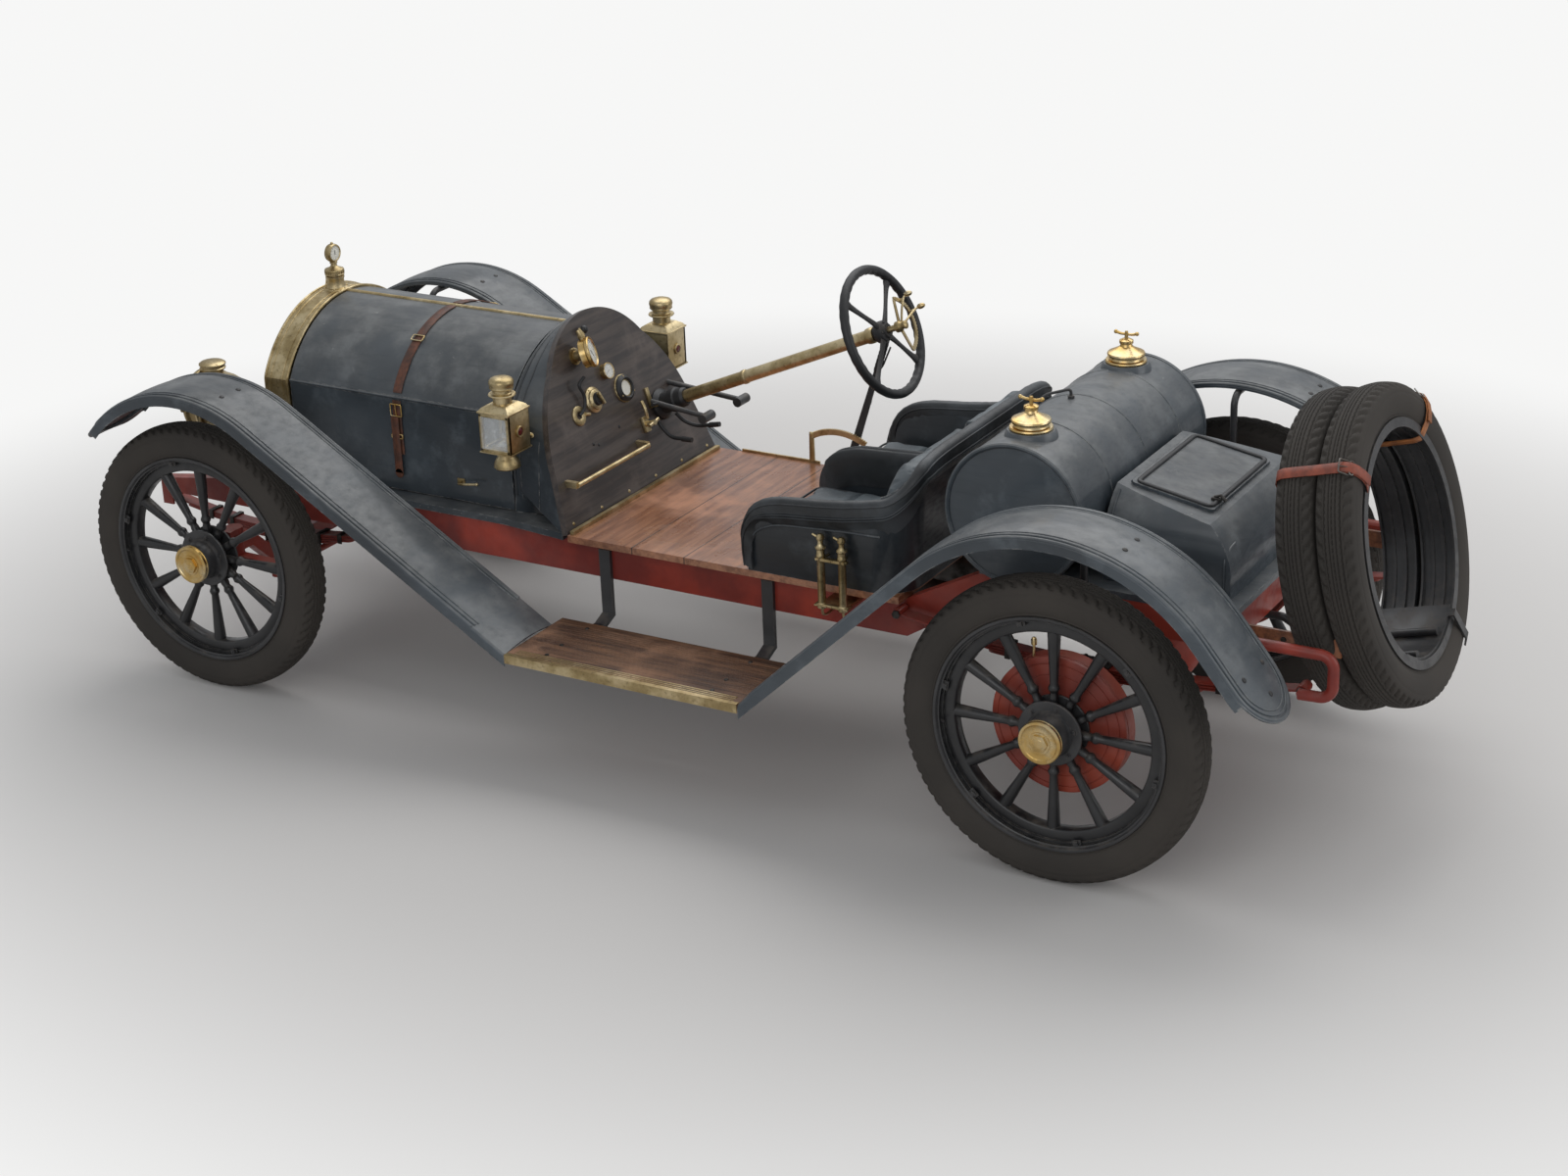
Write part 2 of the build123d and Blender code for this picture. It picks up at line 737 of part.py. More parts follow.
sill_start_x = dash_bottom_x + dash_thickness * up_slope + seat_gap
with BuildPart() as cowl:
    with BuildSketch(dash_plane.offset(dash_thickness)):
        make_face(draw_arch(dash_arch(6.0)))
    with BuildSketch(end_plane(hood_rear_x)):
        make_face(draw_arch(arch(0, dash_bottom_z)))
    loft()
    with BuildSketch(dash_plane.offset(dash_thickness)):
        make_face(draw_arch(dash_arch(6.0 + hood_wall)))
    with BuildSketch(end_plane(hood_rear_x)):
        make_face(draw_arch(arch(hood_wall, dash_bottom_z)))
    loft(mode=Mode.SUBTRACT)
    for name, side in sides:
        with BuildSketch(place(0, 0, rail_top_z)):
            with BuildLine():
                Polyline(
                    (sill_start_x, side * (hood_half_width - 8)),
                    (sill_start_x, side * (dash_bottom_half - 4)),
                    (hood_rear_x, side * sill_outer_y),
                    (radiator_rear_x, side * sill_outer_y),
                    (radiator_rear_x, side * (hood_half_width - 8)),
                    close=True,
                )
            make_face()
        extrude(amount=sill_top_z - rail_top_z)
save(cowl.part, "cowl")

with BuildPart() as dashboard:
    with BuildSketch(dash_plane):
        make_face(draw_arch(dash_arch(0)))
    extrude(amount=dash_thickness)
save(dashboard.part, "dashboard")

# Instruments on the dashboard: (across, up the board, radius, depth)
dials = [
    (60.0, 470.0, 46.0, 60.0),
    (-10.0, 440.0, 26.0, 26.0),
    (60.0, 330.0, 42.0, 30.0),
    (-95.0, 400.0, 44.0, 22.0),
    (170.0, 300.0, 34.0, 20.0),
]
with BuildPart() as instruments:
    for y, up, radius, depth in dials:
        with BuildSketch(dash_plane):
            with Locations((y, up)):
                Circle(radius)
        extrude(amount=-depth)
save(instruments.part, "instruments")

# Side lamps: a square body under a double chimney cap, on a round foot and a bracket
lamp_x = front_axle_x - 1056.0
lamp_y = 460.5
lamp_top_z = rail_top_z + 524.0
lamp_half = 56.0
lamp_body_z = rail_top_z + 285.0
lamp_body_height = 128.0
with BuildPart() as side_lamps:
    for name, side in sides:
        centre_y = side * lamp_y
        with BuildSketch(place(lamp_x, centre_y, lamp_body_z)):
            Rectangle(2 * lamp_half, 2 * lamp_half)
        extrude(amount=lamp_body_height)
        with BuildSketch(end_plane(lamp_x)):
            with BuildLine():
                Polyline(
                    (centre_y, lamp_body_z - 62),
                    (centre_y + 46, lamp_body_z - 62),
                    (centre_y + 36, lamp_body_z - 24),
                    (centre_y + 52, lamp_body_z),
                    (centre_y, lamp_body_z),
                    close=True,
                )
            make_face()
            with BuildLine():
                roof = lamp_body_z + lamp_body_height
                Polyline(
                    (centre_y, roof),
                    (centre_y + 50, roof),
                    (centre_y + 36, roof + 22),
                    (centre_y + 36, roof + 50),
                    (centre_y + 52, roof + 54),
                    (centre_y + 52, roof + 66),
                    (centre_y + 44, roof + 70),
                    (centre_y + 44, roof + 94),
                    (centre_y + 30, lamp_top_z),
                    (centre_y, lamp_top_z),
                    close=True,
                )
            make_face()
        revolve(axis=Axis((lamp_x, centre_y, 0), (0, 0, 1)))
        with BuildSketch(side_plane(side * 300.0)):
            with Locations((lamp_x - 20, lamp_body_z + 20)):
                Rectangle(26, 10)
        extrude(amount=-side * (lamp_y - 300.0))
    with BuildSketch(dash_plane.offset(dash_thickness)):
        make_face(draw_arch(dash_arch(5.7)))
    with BuildSketch(end_plane(hood_rear_x)):
        make_face(draw_arch(arch(-0.3, dash_bottom_z)))
    loft(mode=Mode.SUBTRACT)
save(side_lamps.part, "side_lamps")

with BuildPart() as lamp_glass:
    for name, side in sides:
        with BuildSketch(side_plane(side * (lamp_y + lamp_half))):
            with Locations((lamp_x, lamp_body_z + lamp_body_height / 2)):
                Rectangle(96, 104)
        extrude(amount=-side * 3)
save(lamp_glass.part, "lamp_glass")

# Headlamps: round drums on posts ahead of the radiator, each with a vent cap on top
headlamp_x = front_axle_x + 190.0
headlamp_y = 374.0
headlamp_z = rail_top_z + 238.0
headlamp_radius = 106.0
lamp_drum_front = 60.0
lamp_drum_rear = 20.0
lamp_back_reach = 120.0
bowl_depth = lamp_drum_rear + lamp_back_reach
bowl_radius = (bowl_depth**2 + headlamp_radius**2) / (2 * bowl_depth)
bowl_x = bowl_radius - lamp_back_reach
bowl_turn = (pi + atan2(headlamp_radius, lamp_drum_rear - bowl_x)) / 2
vent_x = headlamp_x + 14.0
vent_radius = 34.0
vent_top_z = rail_top_z + 388.0
vent_low_z = headlamp_z + 0.6 * headlamp_radius
rail_taper_x = radiator_rear_x + radiator_depth
lamp_post_radius = 11.0
rail_taper = (headlamp_x - lamp_post_radius - rail_taper_x) / (front_end_x - rail_taper_x)
rail_at_lamp_z = rail_top_z - rail_taper * (rail_top_z - horn_eye_z - 22)
with BuildPart() as headlamps:
    for name, side in sides:
        centre_y = side * headlamp_y
        with BuildSketch(place(headlamp_x, centre_y, rail_at_lamp_z + seat_gap)):
            Circle(lamp_post_radius)
        extrude(amount=headlamp_z - rail_at_lamp_z - headlamp_radius + 20)
        with BuildSketch(place(headlamp_x, centre_y, headlamp_z)):
            with BuildLine():
                Line((-lamp_back_reach, 0), (lamp_drum_front, 0))
                Line((lamp_drum_front, 0), (lamp_drum_front, headlamp_radius))
                Line((lamp_drum_front, headlamp_radius), (lamp_drum_rear, headlamp_radius))
                ThreePointArc(
                    (lamp_drum_rear, headlamp_radius),
                    (bowl_x + bowl_radius * cos(bowl_turn), bowl_radius * sin(bowl_turn)),
                    (-lamp_back_reach, 0),
                )
            make_face()
        revolve(axis=Axis((0, centre_y, headlamp_z), (1, 0, 0)))
        with BuildSketch(place(vent_x, centre_y, vent_low_z)):
            Circle(vent_radius - 8)
        extrude(amount=vent_top_z - 24 - vent_low_z)
        with BuildSketch(place(vent_x, centre_y, vent_top_z - 24)):
            Circle(vent_radius)
        extrude(amount=10)
        with BuildSketch(place(vent_x, centre_y, vent_top_z - 14)):
            Circle(vent_radius)
        extrude(amount=14, taper=48)
save(headlamps.part, "headlamps")

# Floor boards from the dashboard to the seats
with BuildPart() as floor_boards:
    with BuildSketch(place(0, 0, rail_top_z)):
        with BuildLine():
            Polyline(
                (kick_start_x, -floor_half),
                (kick_start_x, floor_half),
                (dash_bottom_x - 1, floor_half),
                (dash_bottom_x - 1, -floor_half),
                close=True,
            )
        make_face()
    extrude(amount=floor_thickness)
save(floor_boards.part, "floor_boards")

# Seats: one hollow body with two buckets, its arms low in front and its back high
seat_top_z = back_top_z + 40


def seat_plan(z, inset):
    """The seat body's outline at a height, drawn inward by a wall."""
    share = (z - floor_top_z) / (back_top_z - floor_top_z)
    half = floor_half + seat_flare * share - inset
    rear = seat_rear_x - seat_lean * share + inset
    corner = 110.0 - inset * 0.6
    front = seat_front_x + inset * 8
    with BuildLine() as outline:
        Line((front, -half), (rear + corner, -half))
        TangentArc((rear + corner, -half), (rear, -half + corner), tangent=(-1, 0))
        Line((rear, -half + corner), (rear, half - corner))
        TangentArc((rear, half - corner), (rear + corner, half), tangent=(0, 1))
        Line((rear + corner, half), (front, half))
        Line((front, half), (front, -half))
    return outline.edges()


arm_rear_x = seat_rear_x + 57.0


def arm_line(rear_x):
    """The top of an arm or the divider, from its front foot back to a place, as drawn lines."""
    front = seat_front_x - 5
    Line((front, arm_front_z - 115), (front, arm_front_z - 114))
    ThreePointArc((front, arm_front_z - 114), (front - 31, arm_front_z - 31), (front - 73, arm_front_z))
    Line((front - 73, arm_front_z), (front - 141, arm_rear_z - 16))
    Line((front - 141, arm_rear_z - 16), (rear_x, arm_rear_z))


def back_line(drop):
    """The back's top seen from the front: level, then falling round its corners to the arms."""
    top = back_top_z - drop
    corner = arm_rear_z - drop
    far = floor_half + seat_flare + 60
    with BuildLine() as outline:
        for end in (1, -1):
            Line((0, top), (end * back_level, top))
            ThreePointArc((end * back_level, top), (end * 445, top - 56), (end * 480, corner + 36))
            ThreePointArc((end * 480, corner + 36), (end * 497, corner + 12), (end * 513, corner))
            Line((end * 513, corner), (end * far, corner))
            Line((end * far, corner), (end * far, seat_top_z + 20))
        Line((far, seat_top_z + 20), (-far, seat_top_z + 20))
    return outline.edges()


with BuildPart() as seat_body:
    for z in (floor_top_z, seat_top_z):
        with BuildSketch(place(0, 0, z)):
            make_face(seat_plan(z, 0))
    loft()
    for z in (seat_base_top_z, seat_top_z + 1):
        with BuildSketch(place(0, 0, z)):
            make_face(seat_plan(z, seat_wall))
    loft(mode=Mode.SUBTRACT)
    with BuildSketch(side_plane(700)):
        with BuildLine():
            arm_line(arm_rear_x)
            Line((arm_rear_x, arm_rear_z), (arm_rear_x, seat_top_z + 20))
            Line((arm_rear_x, seat_top_z + 20), (seat_front_x + 300, seat_top_z + 20))
            Line((seat_front_x + 300, seat_top_z + 20), (seat_front_x + 300, floor_top_z - 1))
            Line((seat_front_x + 300, floor_top_z - 1), (seat_front_x + 1, floor_top_z - 1))
            Line((seat_front_x + 1, floor_top_z - 1), (seat_front_x + 1, arm_front_z - 115))
            Line((seat_front_x + 1, arm_front_z - 115), (seat_front_x - 5, arm_front_z - 115))
        make_face()
    extrude(amount=1400, mode=Mode.SUBTRACT)
    with BuildSketch(end_plane(seat_rear_x - 200)):
        make_face(back_line(0))
    extrude(amount=arm_rear_x + 1 - seat_rear_x + 200, mode=Mode.SUBTRACT)
    # The divider runs from the back to the front of the cushions
    with BuildSketch(side_plane(divider_half)):
        with BuildLine():
            low = seat_base_top_z - 1
            back_x = seat_rear_x - seat_lean + seat_wall
            arm_line(arm_rear_x + 10)
            ThreePointArc(
                (arm_rear_x + 10, arm_rear_z),
                (arm_rear_x - 45, arm_rear_z + 32),
                (back_x + 8, back_top_z - 30),
            )
            Line((back_x + 8, back_top_z - 30), (back_x - 14, back_top_z - 30))
            Line((back_x - 14, back_top_z - 30), (seat_rear_x + 5, low))
            Line((seat_rear_x + 5, low), (seat_front_x - 5, low))
            Line((seat_front_x - 5, low), (seat_front_x - 5, arm_front_z - 115))
        make_face()
    extrude(amount=2 * divider_half)
save(seat_body.part, "seat_body")

# Cushions and backs, plain shapes for the leather pads
bucket_middle = (divider_half + floor_half) / 2
with BuildPart() as seat_cushions:
    for name, side in sides:
        with BuildSketch(place(0, side * (bucket_middle - 6), seat_base_top_z + seat_gap)):
            with Locations(((seat_front_x + seat_rear_x) / 2 + 40, 0)):
                RectangleRounded(seat_front_x - seat_rear_x - 110, 370, 30)
        extrude(amount=cushion_top_z - seat_base_top_z)
save(seat_cushions.part, "seat_cushions")

back_thickness = 70.0
back_low_z = cushion_top_z + 2 * seat_gap
with BuildPart() as seat_backs:
    for z in (seat_base_top_z, seat_top_z + 1):
        with BuildSketch(place(0, 0, z)):
            make_face(seat_plan(z, seat_wall + seat_gap))
    loft()
    with BuildSketch(side_plane(700)):
        with BuildLine():
            Polyline(
                (seat_rear_x - 200, back_low_z),
                (seat_rear_x + seat_wall + back_thickness, back_low_z),
                (seat_rear_x - seat_lean + seat_wall + back_thickness, back_top_z),
                (seat_rear_x - 200, back_top_z),
                close=True,
            )
        make_face()
    extrude(amount=1400, mode=Mode.INTERSECT)
    with BuildSketch(end_plane(seat_rear_x - 200)):
        make_face(back_line(14))
    extrude(amount=600, mode=Mode.SUBTRACT)
    with BuildSketch(place(seat_rear_x, 0, seat_base_top_z)):
        Rectangle(600, 2 * (divider_half + seat_gap))
    extrude(amount=500, mode=Mode.SUBTRACT)
save(seat_backs.part, "seat_backs")

# Fuel tank across the car, on saddles over a plank deck, with two filler caps
saddle_width = 60.0
with BuildPart() as fuel_tank:
    with BuildSketch(side_plane(tank_half)):
        with Locations((tank_x, tank_z)):
            Circle(tank_radius)
    extrude(amount=2 * tank_half)
save(fuel_tank.part, "fuel_tank")

with BuildPart() as deck:
    with BuildSketch(place(0, 0, rear_rail_top_z)):
        with BuildLine():
            Polyline(
                (rear_end_x, -deck_half),
                (rear_end_x, deck_half),
                (kick_end_x, deck_half),
                (kick_end_x, -deck_half),
                close=True,
            )
        make_face()
    extrude(amount=deck_thickness)
    for name, side in sides:
        with BuildSketch(side_plane(side * 330 + saddle_width / 2)):
            with Locations((tank_x, deck_top_z + 30)):
                Rectangle(200, 60)
        extrude(amount=saddle_width)
    with BuildSketch(side_plane(tank_half)):
        with Locations((tank_x, tank_z)):
            Circle(tank_radius)
    extrude(amount=2 * tank_half, mode=Mode.SUBTRACT)
save(deck.part, "deck")

cap_profile = [
    (0.0, -8.0),
    (34.0, -8.0),
    (34.0, 16.0),
    (48.0, 20.0),
    (48.0, 34.0),
    (16.0, 46.0),
    (12.0, 76.0),
    (0.0, 76.0),
]
tank_top_z = tank_z + tank_radius
with BuildPart() as filler_caps:
    for name, side in sides:
        with BuildSketch(side_plane(side * filler_y)):
            with BuildLine():
                Polyline(*[(tank_x + r, tank_top_z + h) for r, h in cap_profile], close=True)
            make_face()
        revolve(axis=Axis((tank_x, side * filler_y, 0), (0, 0, 1)))
        with BuildSketch(side_plane(side * filler_y + 44)):
            with Locations((tank_x, tank_top_z + 66)):
                Circle(8)
        extrude(amount=88)
    with BuildSketch(side_plane(tank_half)):
        with Locations((tank_x, tank_z)):
            Circle(tank_radius)
    extrude(amount=2 * tank_half, mode=Mode.SUBTRACT)
save(filler_caps.part, "filler_caps")

# Tool box behind the tank, domed at its sides and rear, with a sloping lid
lid_slope = atan2(box_front_z - box_rear_z, box_front_x - box_top_rear_x)
lid_inset = 34.0


def box_side_view(inset):
    """The tool box seen from the side: upright front, sloping top, domed rear."""
    low = deck_top_z + inset
    front = box_front_x - inset
    rear = box_rear_x + inset
    top_rear = (box_top_rear_x + inset * 0.6, box_rear_z - inset)
    with BuildLine() as outline:
        Line((front, low), (front, box_front_z - inset))
        Line((front, box_front_z - inset), top_rear)
        TangentArc((rear, box_dome_z - 30), top_rear, tangent=(0, 1))
        Line((rear, box_dome_z - 30), (rear, low))
        Line((rear, low), (front, low))
    return outline.edges()


def box_end_view(inset):
    """The tool box seen from behind: upright low sides that dome in to the lid."""
    low = deck_top_z + inset
    top = box_front_z + 1
    top_half = box_top_half - inset * 0.6
    half = box_bottom_half - inset
    with BuildLine() as outline:
        Line((-half, low), (half, low))
        Line((half, low), (half, box_dome_z))
        TangentArc((half, box_dome_z), (top_half, top), tangent=(0, 1))
        Line((top_half, top), (-top_half, top))
        TangentArc((-half, box_dome_z), (-top_half, top), tangent=(0, 1))
        Line((-half, box_dome_z), (-half, low))
    return outline.edges()


with BuildPart() as box_space:
    with BuildSketch(side_plane(400)):
        make_face(box_side_view(box_wall))
    extrude(amount=800)
    with BuildSketch(end_plane(box_rear_x - 50)):
        make_face(box_end_view(box_wall))
    extrude(amount=500, mode=Mode.INTERSECT)

lid_plane = Plane(
    origin=(box_front_x - lid_inset, 0, box_front_z - lid_inset * tan(lid_slope)),
    x_dir=(-cos(lid_slope), 0, -sin(lid_slope)),
    z_dir=(-sin(lid_slope), 0, cos(lid_slope)),
)
lid_length = (box_front_x - box_top_rear_x - 2 * lid_inset) / cos(lid_slope) + 12
lid_corner = 12.0
pivot_rise = seat_gap + lid_thickness / 2
lid_pivot_x = box_front_x - lid_inset - pivot_rise * sin(lid_slope)
lid_pivot_z = box_front_z - lid_inset * tan(lid_slope) + pivot_rise * cos(lid_slope)
with BuildPart() as tool_box:
    with BuildSketch(side_plane(400)):
        make_face(box_side_view(0))
    extrude(amount=800)
    with BuildSketch(end_plane(box_rear_x - 50)):
        make_face(box_end_view(0))
    extrude(amount=500, mode=Mode.INTERSECT)
    add(box_space.part, mode=Mode.SUBTRACT)
    with BuildSketch(lid_plane.offset(-40)):
        with Locations((lid_length / 2, 0)):
            Rectangle(lid_length - 30, 2 * lid_half - 30)
    extrude(amount=80, mode=Mode.SUBTRACT)
save(tool_box.part, "tool_box")

with BuildPart() as tool_box_lid:
    with BuildSketch(lid_plane.offset(seat_gap)):
        with Locations((lid_length / 2, 0)):
            RectangleRounded(lid_length, 2 * lid_half, lid_corner)
    extrude(amount=lid_thickness)
    # The barrel of its hinge lies along the front edge
    with BuildSketch(side_plane(lid_half - lid_corner)):
        with Locations((lid_pivot_x, lid_pivot_z)):
            Circle(lid_thickness / 2)
    extrude(amount=2 * (lid_half - lid_corner))
save(tool_box_lid.part, "tool_box_lid")

# Tyre, hub and wheel forms, each about its own axle with the outer side up
with BuildPart() as tyre_form:
    bead, side_low, side_mid, side_high, shoulder, shoulder_mid, tread_edge, tread = tyre_points

    def across(point):
        return (point[0], -point[1])

    with BuildSketch(Plane.XZ):
        with BuildLine():
            Line(across(bead), bead)
            ThreePointArc(bead, side_low, side_mid)
            ThreePointArc(side_mid, side_high, shoulder)
            ThreePointArc(shoulder, shoulder_mid, tread_edge)
            ThreePointArc(tread_edge, tread, across(tread_edge))
            ThreePointArc(across(tread_edge), across(shoulder_mid), across(shoulder))
            ThreePointArc(across(shoulder), across(side_high), across(side_mid))
            ThreePointArc(across(side_mid), across(side_low), across(bead))
        make_face()
    revolve(axis=Axis.Z)

with BuildPart() as spoke_form:
    with BuildSketch(Plane.YZ.offset(hub_radius - 4)):
        Ellipse(spoke_root[0] / 2 - 6, spoke_root[1] / 2)
    with BuildSketch(Plane.YZ.offset(felloe_inner + 2)):
        Ellipse(spoke_tip[0] / 2, spoke_tip[1] / 2)
    loft()

with BuildPart() as wheel_form:
    with BuildSketch(Plane.XZ):
        with BuildLine():
            Polyline(
                (spindle_radius + running_gap, -hub_inner_y),
                (hub_radius, -hub_inner_y),
                (hub_radius, -22 - hub_flange_thickness),
                (hub_flange_radius, -22 - hub_flange_thickness),
                (hub_flange_radius, -22),
                (hub_radius, -22),
                (hub_radius, 22),
                (hub_flange_radius, 22),
                (hub_flange_radius, 22 + hub_flange_thickness),
                (hub_radius, 22 + hub_flange_thickness),
                (hub_radius - 6, hub_outer_y + 14),
                (spindle_radius + running_gap, hub_outer_y + 14),
                close=True,
            )
        make_face()
        with BuildLine():
            Polyline(
                (felloe_inner, -felloe_width / 2),
                (felloe_inner, felloe_width / 2),
                (felloe_outer, felloe_width / 2),
                (felloe_outer, rim_width / 2 - 8),
                (rim_radius, rim_width / 2 - 8),
                (rim_radius, rim_width / 2),
                (rim_radius + 10, rim_width / 2),
                (rim_radius + 10, rim_width / 2 - 6),
                (rim_radius + 3.7, rim_width / 2 - 6),
                (rim_radius + 3.7, 6 - rim_width / 2),
                (rim_radius + 10, 6 - rim_width / 2),
                (rim_radius + 10, -rim_width / 2),
                (rim_radius, -rim_width / 2),
                (rim_radius, -rim_width / 2 + 8),
                (felloe_outer, -rim_width / 2 + 8),
                (felloe_outer, -felloe_width / 2),
                close=True,
            )
        make_face()
    revolve(axis=Axis.Z)
    with PolarLocations(0, spoke_count):
        add(spoke_form.part)

with BuildPart() as cap_form:
    with BuildSketch(Plane.XY.offset(hub_outer_y + 14.0)):
        Circle(hub_radius - 8)
    extrude(amount=cap_reach - hub_outer_y - 24)
    with BuildSketch(Plane.XY.offset(cap_reach - 10)):
        RegularPolygon(20, 6)
    extrude(amount=10)

with BuildPart() as drum_form:
    with BuildSketch(Plane.XZ):
        with BuildLine():
            face = -22 - hub_flange_thickness - 0.3
            Polyline(
                (hub_radius + 0.3, face),
                (drum_radius, face),
                (drum_radius, face - drum_width),
                (drum_radius - drum_wall, face - drum_width),
                (drum_radius - drum_wall, face - drum_wall),
                (hub_radius + 0.3, face - drum_wall),
                close=True,
            )
        make_face()
    revolve(axis=Axis.Z)

for end, axle_x in (("front", front_axle_x), ("rear", rear_axle_x)):
    for name, side in sides:
        hub_plane = Plane(
            origin=(axle_x, side * track / 2, axle_z), x_dir=(1, 0, 0), z_dir=(0, side, 0)
        )
        pieces = [(wheel_form, "wheel"), (tyre_form, "tyre"), (cap_form, "hub_cap")]
        if end == "rear":
            pieces.append((drum_form, "brake_drum"))
        for form, kind in pieces:
            with BuildPart(hub_plane) as piece:
                add(form.part)
            save(piece.part, f"{kind}_{end}_{name}")

# Two spare tyres behind the tool box, leaning forward, on demountable rims and their carrier
spare_x = rear_axle_x - spare_setback


def spare_plane(row):
    """The middle of a spare tyre, its normal along the tyre's axle towards the rear."""
    return Plane(
        origin=(
            spare_x - row * spare_pitch * lean_cos,
            0,
            spare_z + row * spare_pitch * lean_sin,
        ),
        x_dir=(0, 1, 0),
        z_dir=(-lean_cos, 0, lean_sin),
    )


def spare_spot(back, down, y):
    """A point from the front spare's middle: back along its axle, down across it, and sideways."""
    return (
        spare_x - back * lean_cos - down * lean_sin,
        y,
        spare_z + back * lean_sin - down * lean_cos,
    )


with BuildPart() as spare_tyres:
    for row in range(2):
        with Locations(spare_plane(row)):
            add(tyre_form.part)
save(spare_tyres.part, "spare_tyres")

# Each rim is a ribbed band with a flange at both edges, rolled outward and inward
rim_band = tyre_seat - seat_gap
rim_edge = rim_width / 2
rim_lip = 6.0
rim_roll_radius = rim_radius - 17.0
rim_rib_radius = rim_radius - 13.0
rim_inside = rim_radius - 5.0
with BuildPart() as rim_form:
    with BuildSketch(Plane.XZ):
        with BuildLine():
            Polyline(
                (rim_band, rim_lip - rim_edge),
                (rim_radius + 10, rim_lip - rim_edge),
                (rim_radius + 10, -rim_edge),
                (rim_roll_radius, -rim_edge),
                (rim_roll_radius, rim_lip - rim_edge),
                (rim_inside, rim_lip - rim_edge),
                (rim_inside, -20),
                (rim_rib_radius, -20),
                (rim_rib_radius, -12),
                (rim_inside - 4, -12),
                (rim_inside - 4, 12),
                (rim_rib_radius, 12),
                (rim_rib_radius, 20),
                (rim_inside, 20),
                (rim_inside, rim_edge - rim_lip),
                (rim_roll_radius, rim_edge - rim_lip),
                (rim_roll_radius, rim_edge),
                (rim_radius + 10, rim_edge),
                (rim_radius + 10, rim_edge - rim_lip),
                (rim_band, rim_edge - rim_lip),
                close=True,
            )
        make_face()
    revolve(axis=Axis.Z)
with BuildPart() as spare_rims:
    for row in range(2):
        with Locations(spare_plane(row)):
            add(rim_form.part)
save(spare_rims.part, "spare_rims")

# The carrier is a saddle inside the rims, two tubes to the frame, and a hook over the rear tyre
saddle_outer = rim_roll_radius - seat_gap
saddle_wall = 8.0
saddle_half_angle = 37.0
saddle_front = -46.0
saddle_rear = spare_pitch + 46.0
carrier_tube = 12.0
carrier_y = 90.0
carrier_down = sqrt((saddle_outer - saddle_wall - carrier_tube + 4) ** 2 - carrier_y**2)
carrier_start_z = rear_rail_top_z - rear_rail_depth - carrier_tube
hook_angle = 32.0
hook_width = 25.0
hook_wall = 6.0
hook_face = tyre_width / 2 + 1.5


def saddle_point(radius, angle):
    """A point of the saddle's section, by its angle from the bottom."""
    return (radius * sin(radians(angle)), -radius * cos(radians(angle)))


with BuildPart() as spare_carrier:
    for name, side in sides:
        add(rod(
            [
                (rear_end_x + 60, side * carrier_y, carrier_start_z),
                (rear_end_x - 30, side * carrier_y, carrier_start_z),
                spare_spot(-75, carrier_down, side * carrier_y),
                spare_spot(saddle_rear - 12, carrier_down, side * carrier_y),
            ],
            carrier_tube,
            40,
        ))
    saddle_plane = Plane(
        origin=spare_spot(saddle_front, 0, 0),
        x_dir=(0, 1, 0),
        z_dir=(lean_cos, 0, -lean_sin),
    )
    with BuildSketch(saddle_plane):
        with BuildLine():
            low = saddle_point(saddle_outer, 0)
            high = saddle_point(saddle_outer - saddle_wall, 0)
            edges = [
                (saddle_point(saddle_outer, turn), saddle_point(saddle_outer - saddle_wall, turn))
                for turn in (-saddle_half_angle, saddle_half_angle)
            ]
            ThreePointArc(edges[0][0], low, edges[1][0])
            Line(edges[1][0], edges[1][1])
            ThreePointArc(edges[1][1], high, edges[0][1])
            Line(edges[0][1], edges[0][0])
        make_face()
    extrude(amount=saddle_front - saddle_rear)
    hook_out = Vector(
        -cos(radians(hook_angle)) * lean_sin,
        -sin(radians(hook_angle)),
        -cos(radians(hook_angle)) * lean_cos,
    )
    hook_back = Vector(-lean_cos, 0, lean_sin)
    hook_low = saddle_outer - saddle_wall
    rear_middle = spare_spot(spare_pitch, 0, 0)
    with BuildSketch(Plane(origin=rear_middle, x_dir=hook_out, z_dir=hook_out.cross(hook_back))):
        with BuildLine():
            Polyline(
                (hook_low, 36),
                (hook_low + 7, 36),
                (hook_low + 7, hook_face),
                (tyre_radius - 27, hook_face),
                (tyre_radius + 2, hook_face - 12),
                (tyre_radius + 7, hook_face - 8),
                (tyre_radius - 24, hook_face + hook_wall),
                (hook_low, hook_face + hook_wall),
                close=True,
            )
        make_face()
    extrude(amount=hook_width / 2, both=True)
save(spare_carrier.part, "spare_carrier")


# Fenders: one crowned section with a flange at both edges, swept along the line of the top
corner_share = 1 - sqrt(0.5)


def fender_section():
    """The sheet's section: across from the inner edge, and outward from the wheel."""
    width = fender_outer_y - fender_inner_y
    ease = fender_ease
    sheet = fender_sheet
    outer = ease * corner_share
    inner = sheet + (ease - sheet) * corner_share
    with BuildLine() as outline:
        Line((0, -inner_lip), (0, -ease))
        ThreePointArc((0, -ease), (outer, -outer), (ease, 0))
        ThreePointArc((ease, 0), (width / 2, fender_crown), (width - ease, 0))
        ThreePointArc((width - ease, 0), (width - outer, -outer), (width, -ease))
        Line((width, -ease), (width, -fender_lip))
        Line((width, -fender_lip), (width - sheet, -fender_lip))
        Line((width - sheet, -fender_lip), (width - sheet, -ease))
        ThreePointArc((width - sheet, -ease), (width - inner, -inner), (width - ease, -sheet))
        ThreePointArc((width - ease, -sheet), (width / 2, fender_crown - sheet), (ease, -sheet))
        ThreePointArc((ease, -sheet), (inner, -inner), (sheet, -ease))
        Line((sheet, -ease), (sheet, -inner_lip))
        Line((sheet, -inner_lip), (0, -inner_lip))
    return outline.edges()


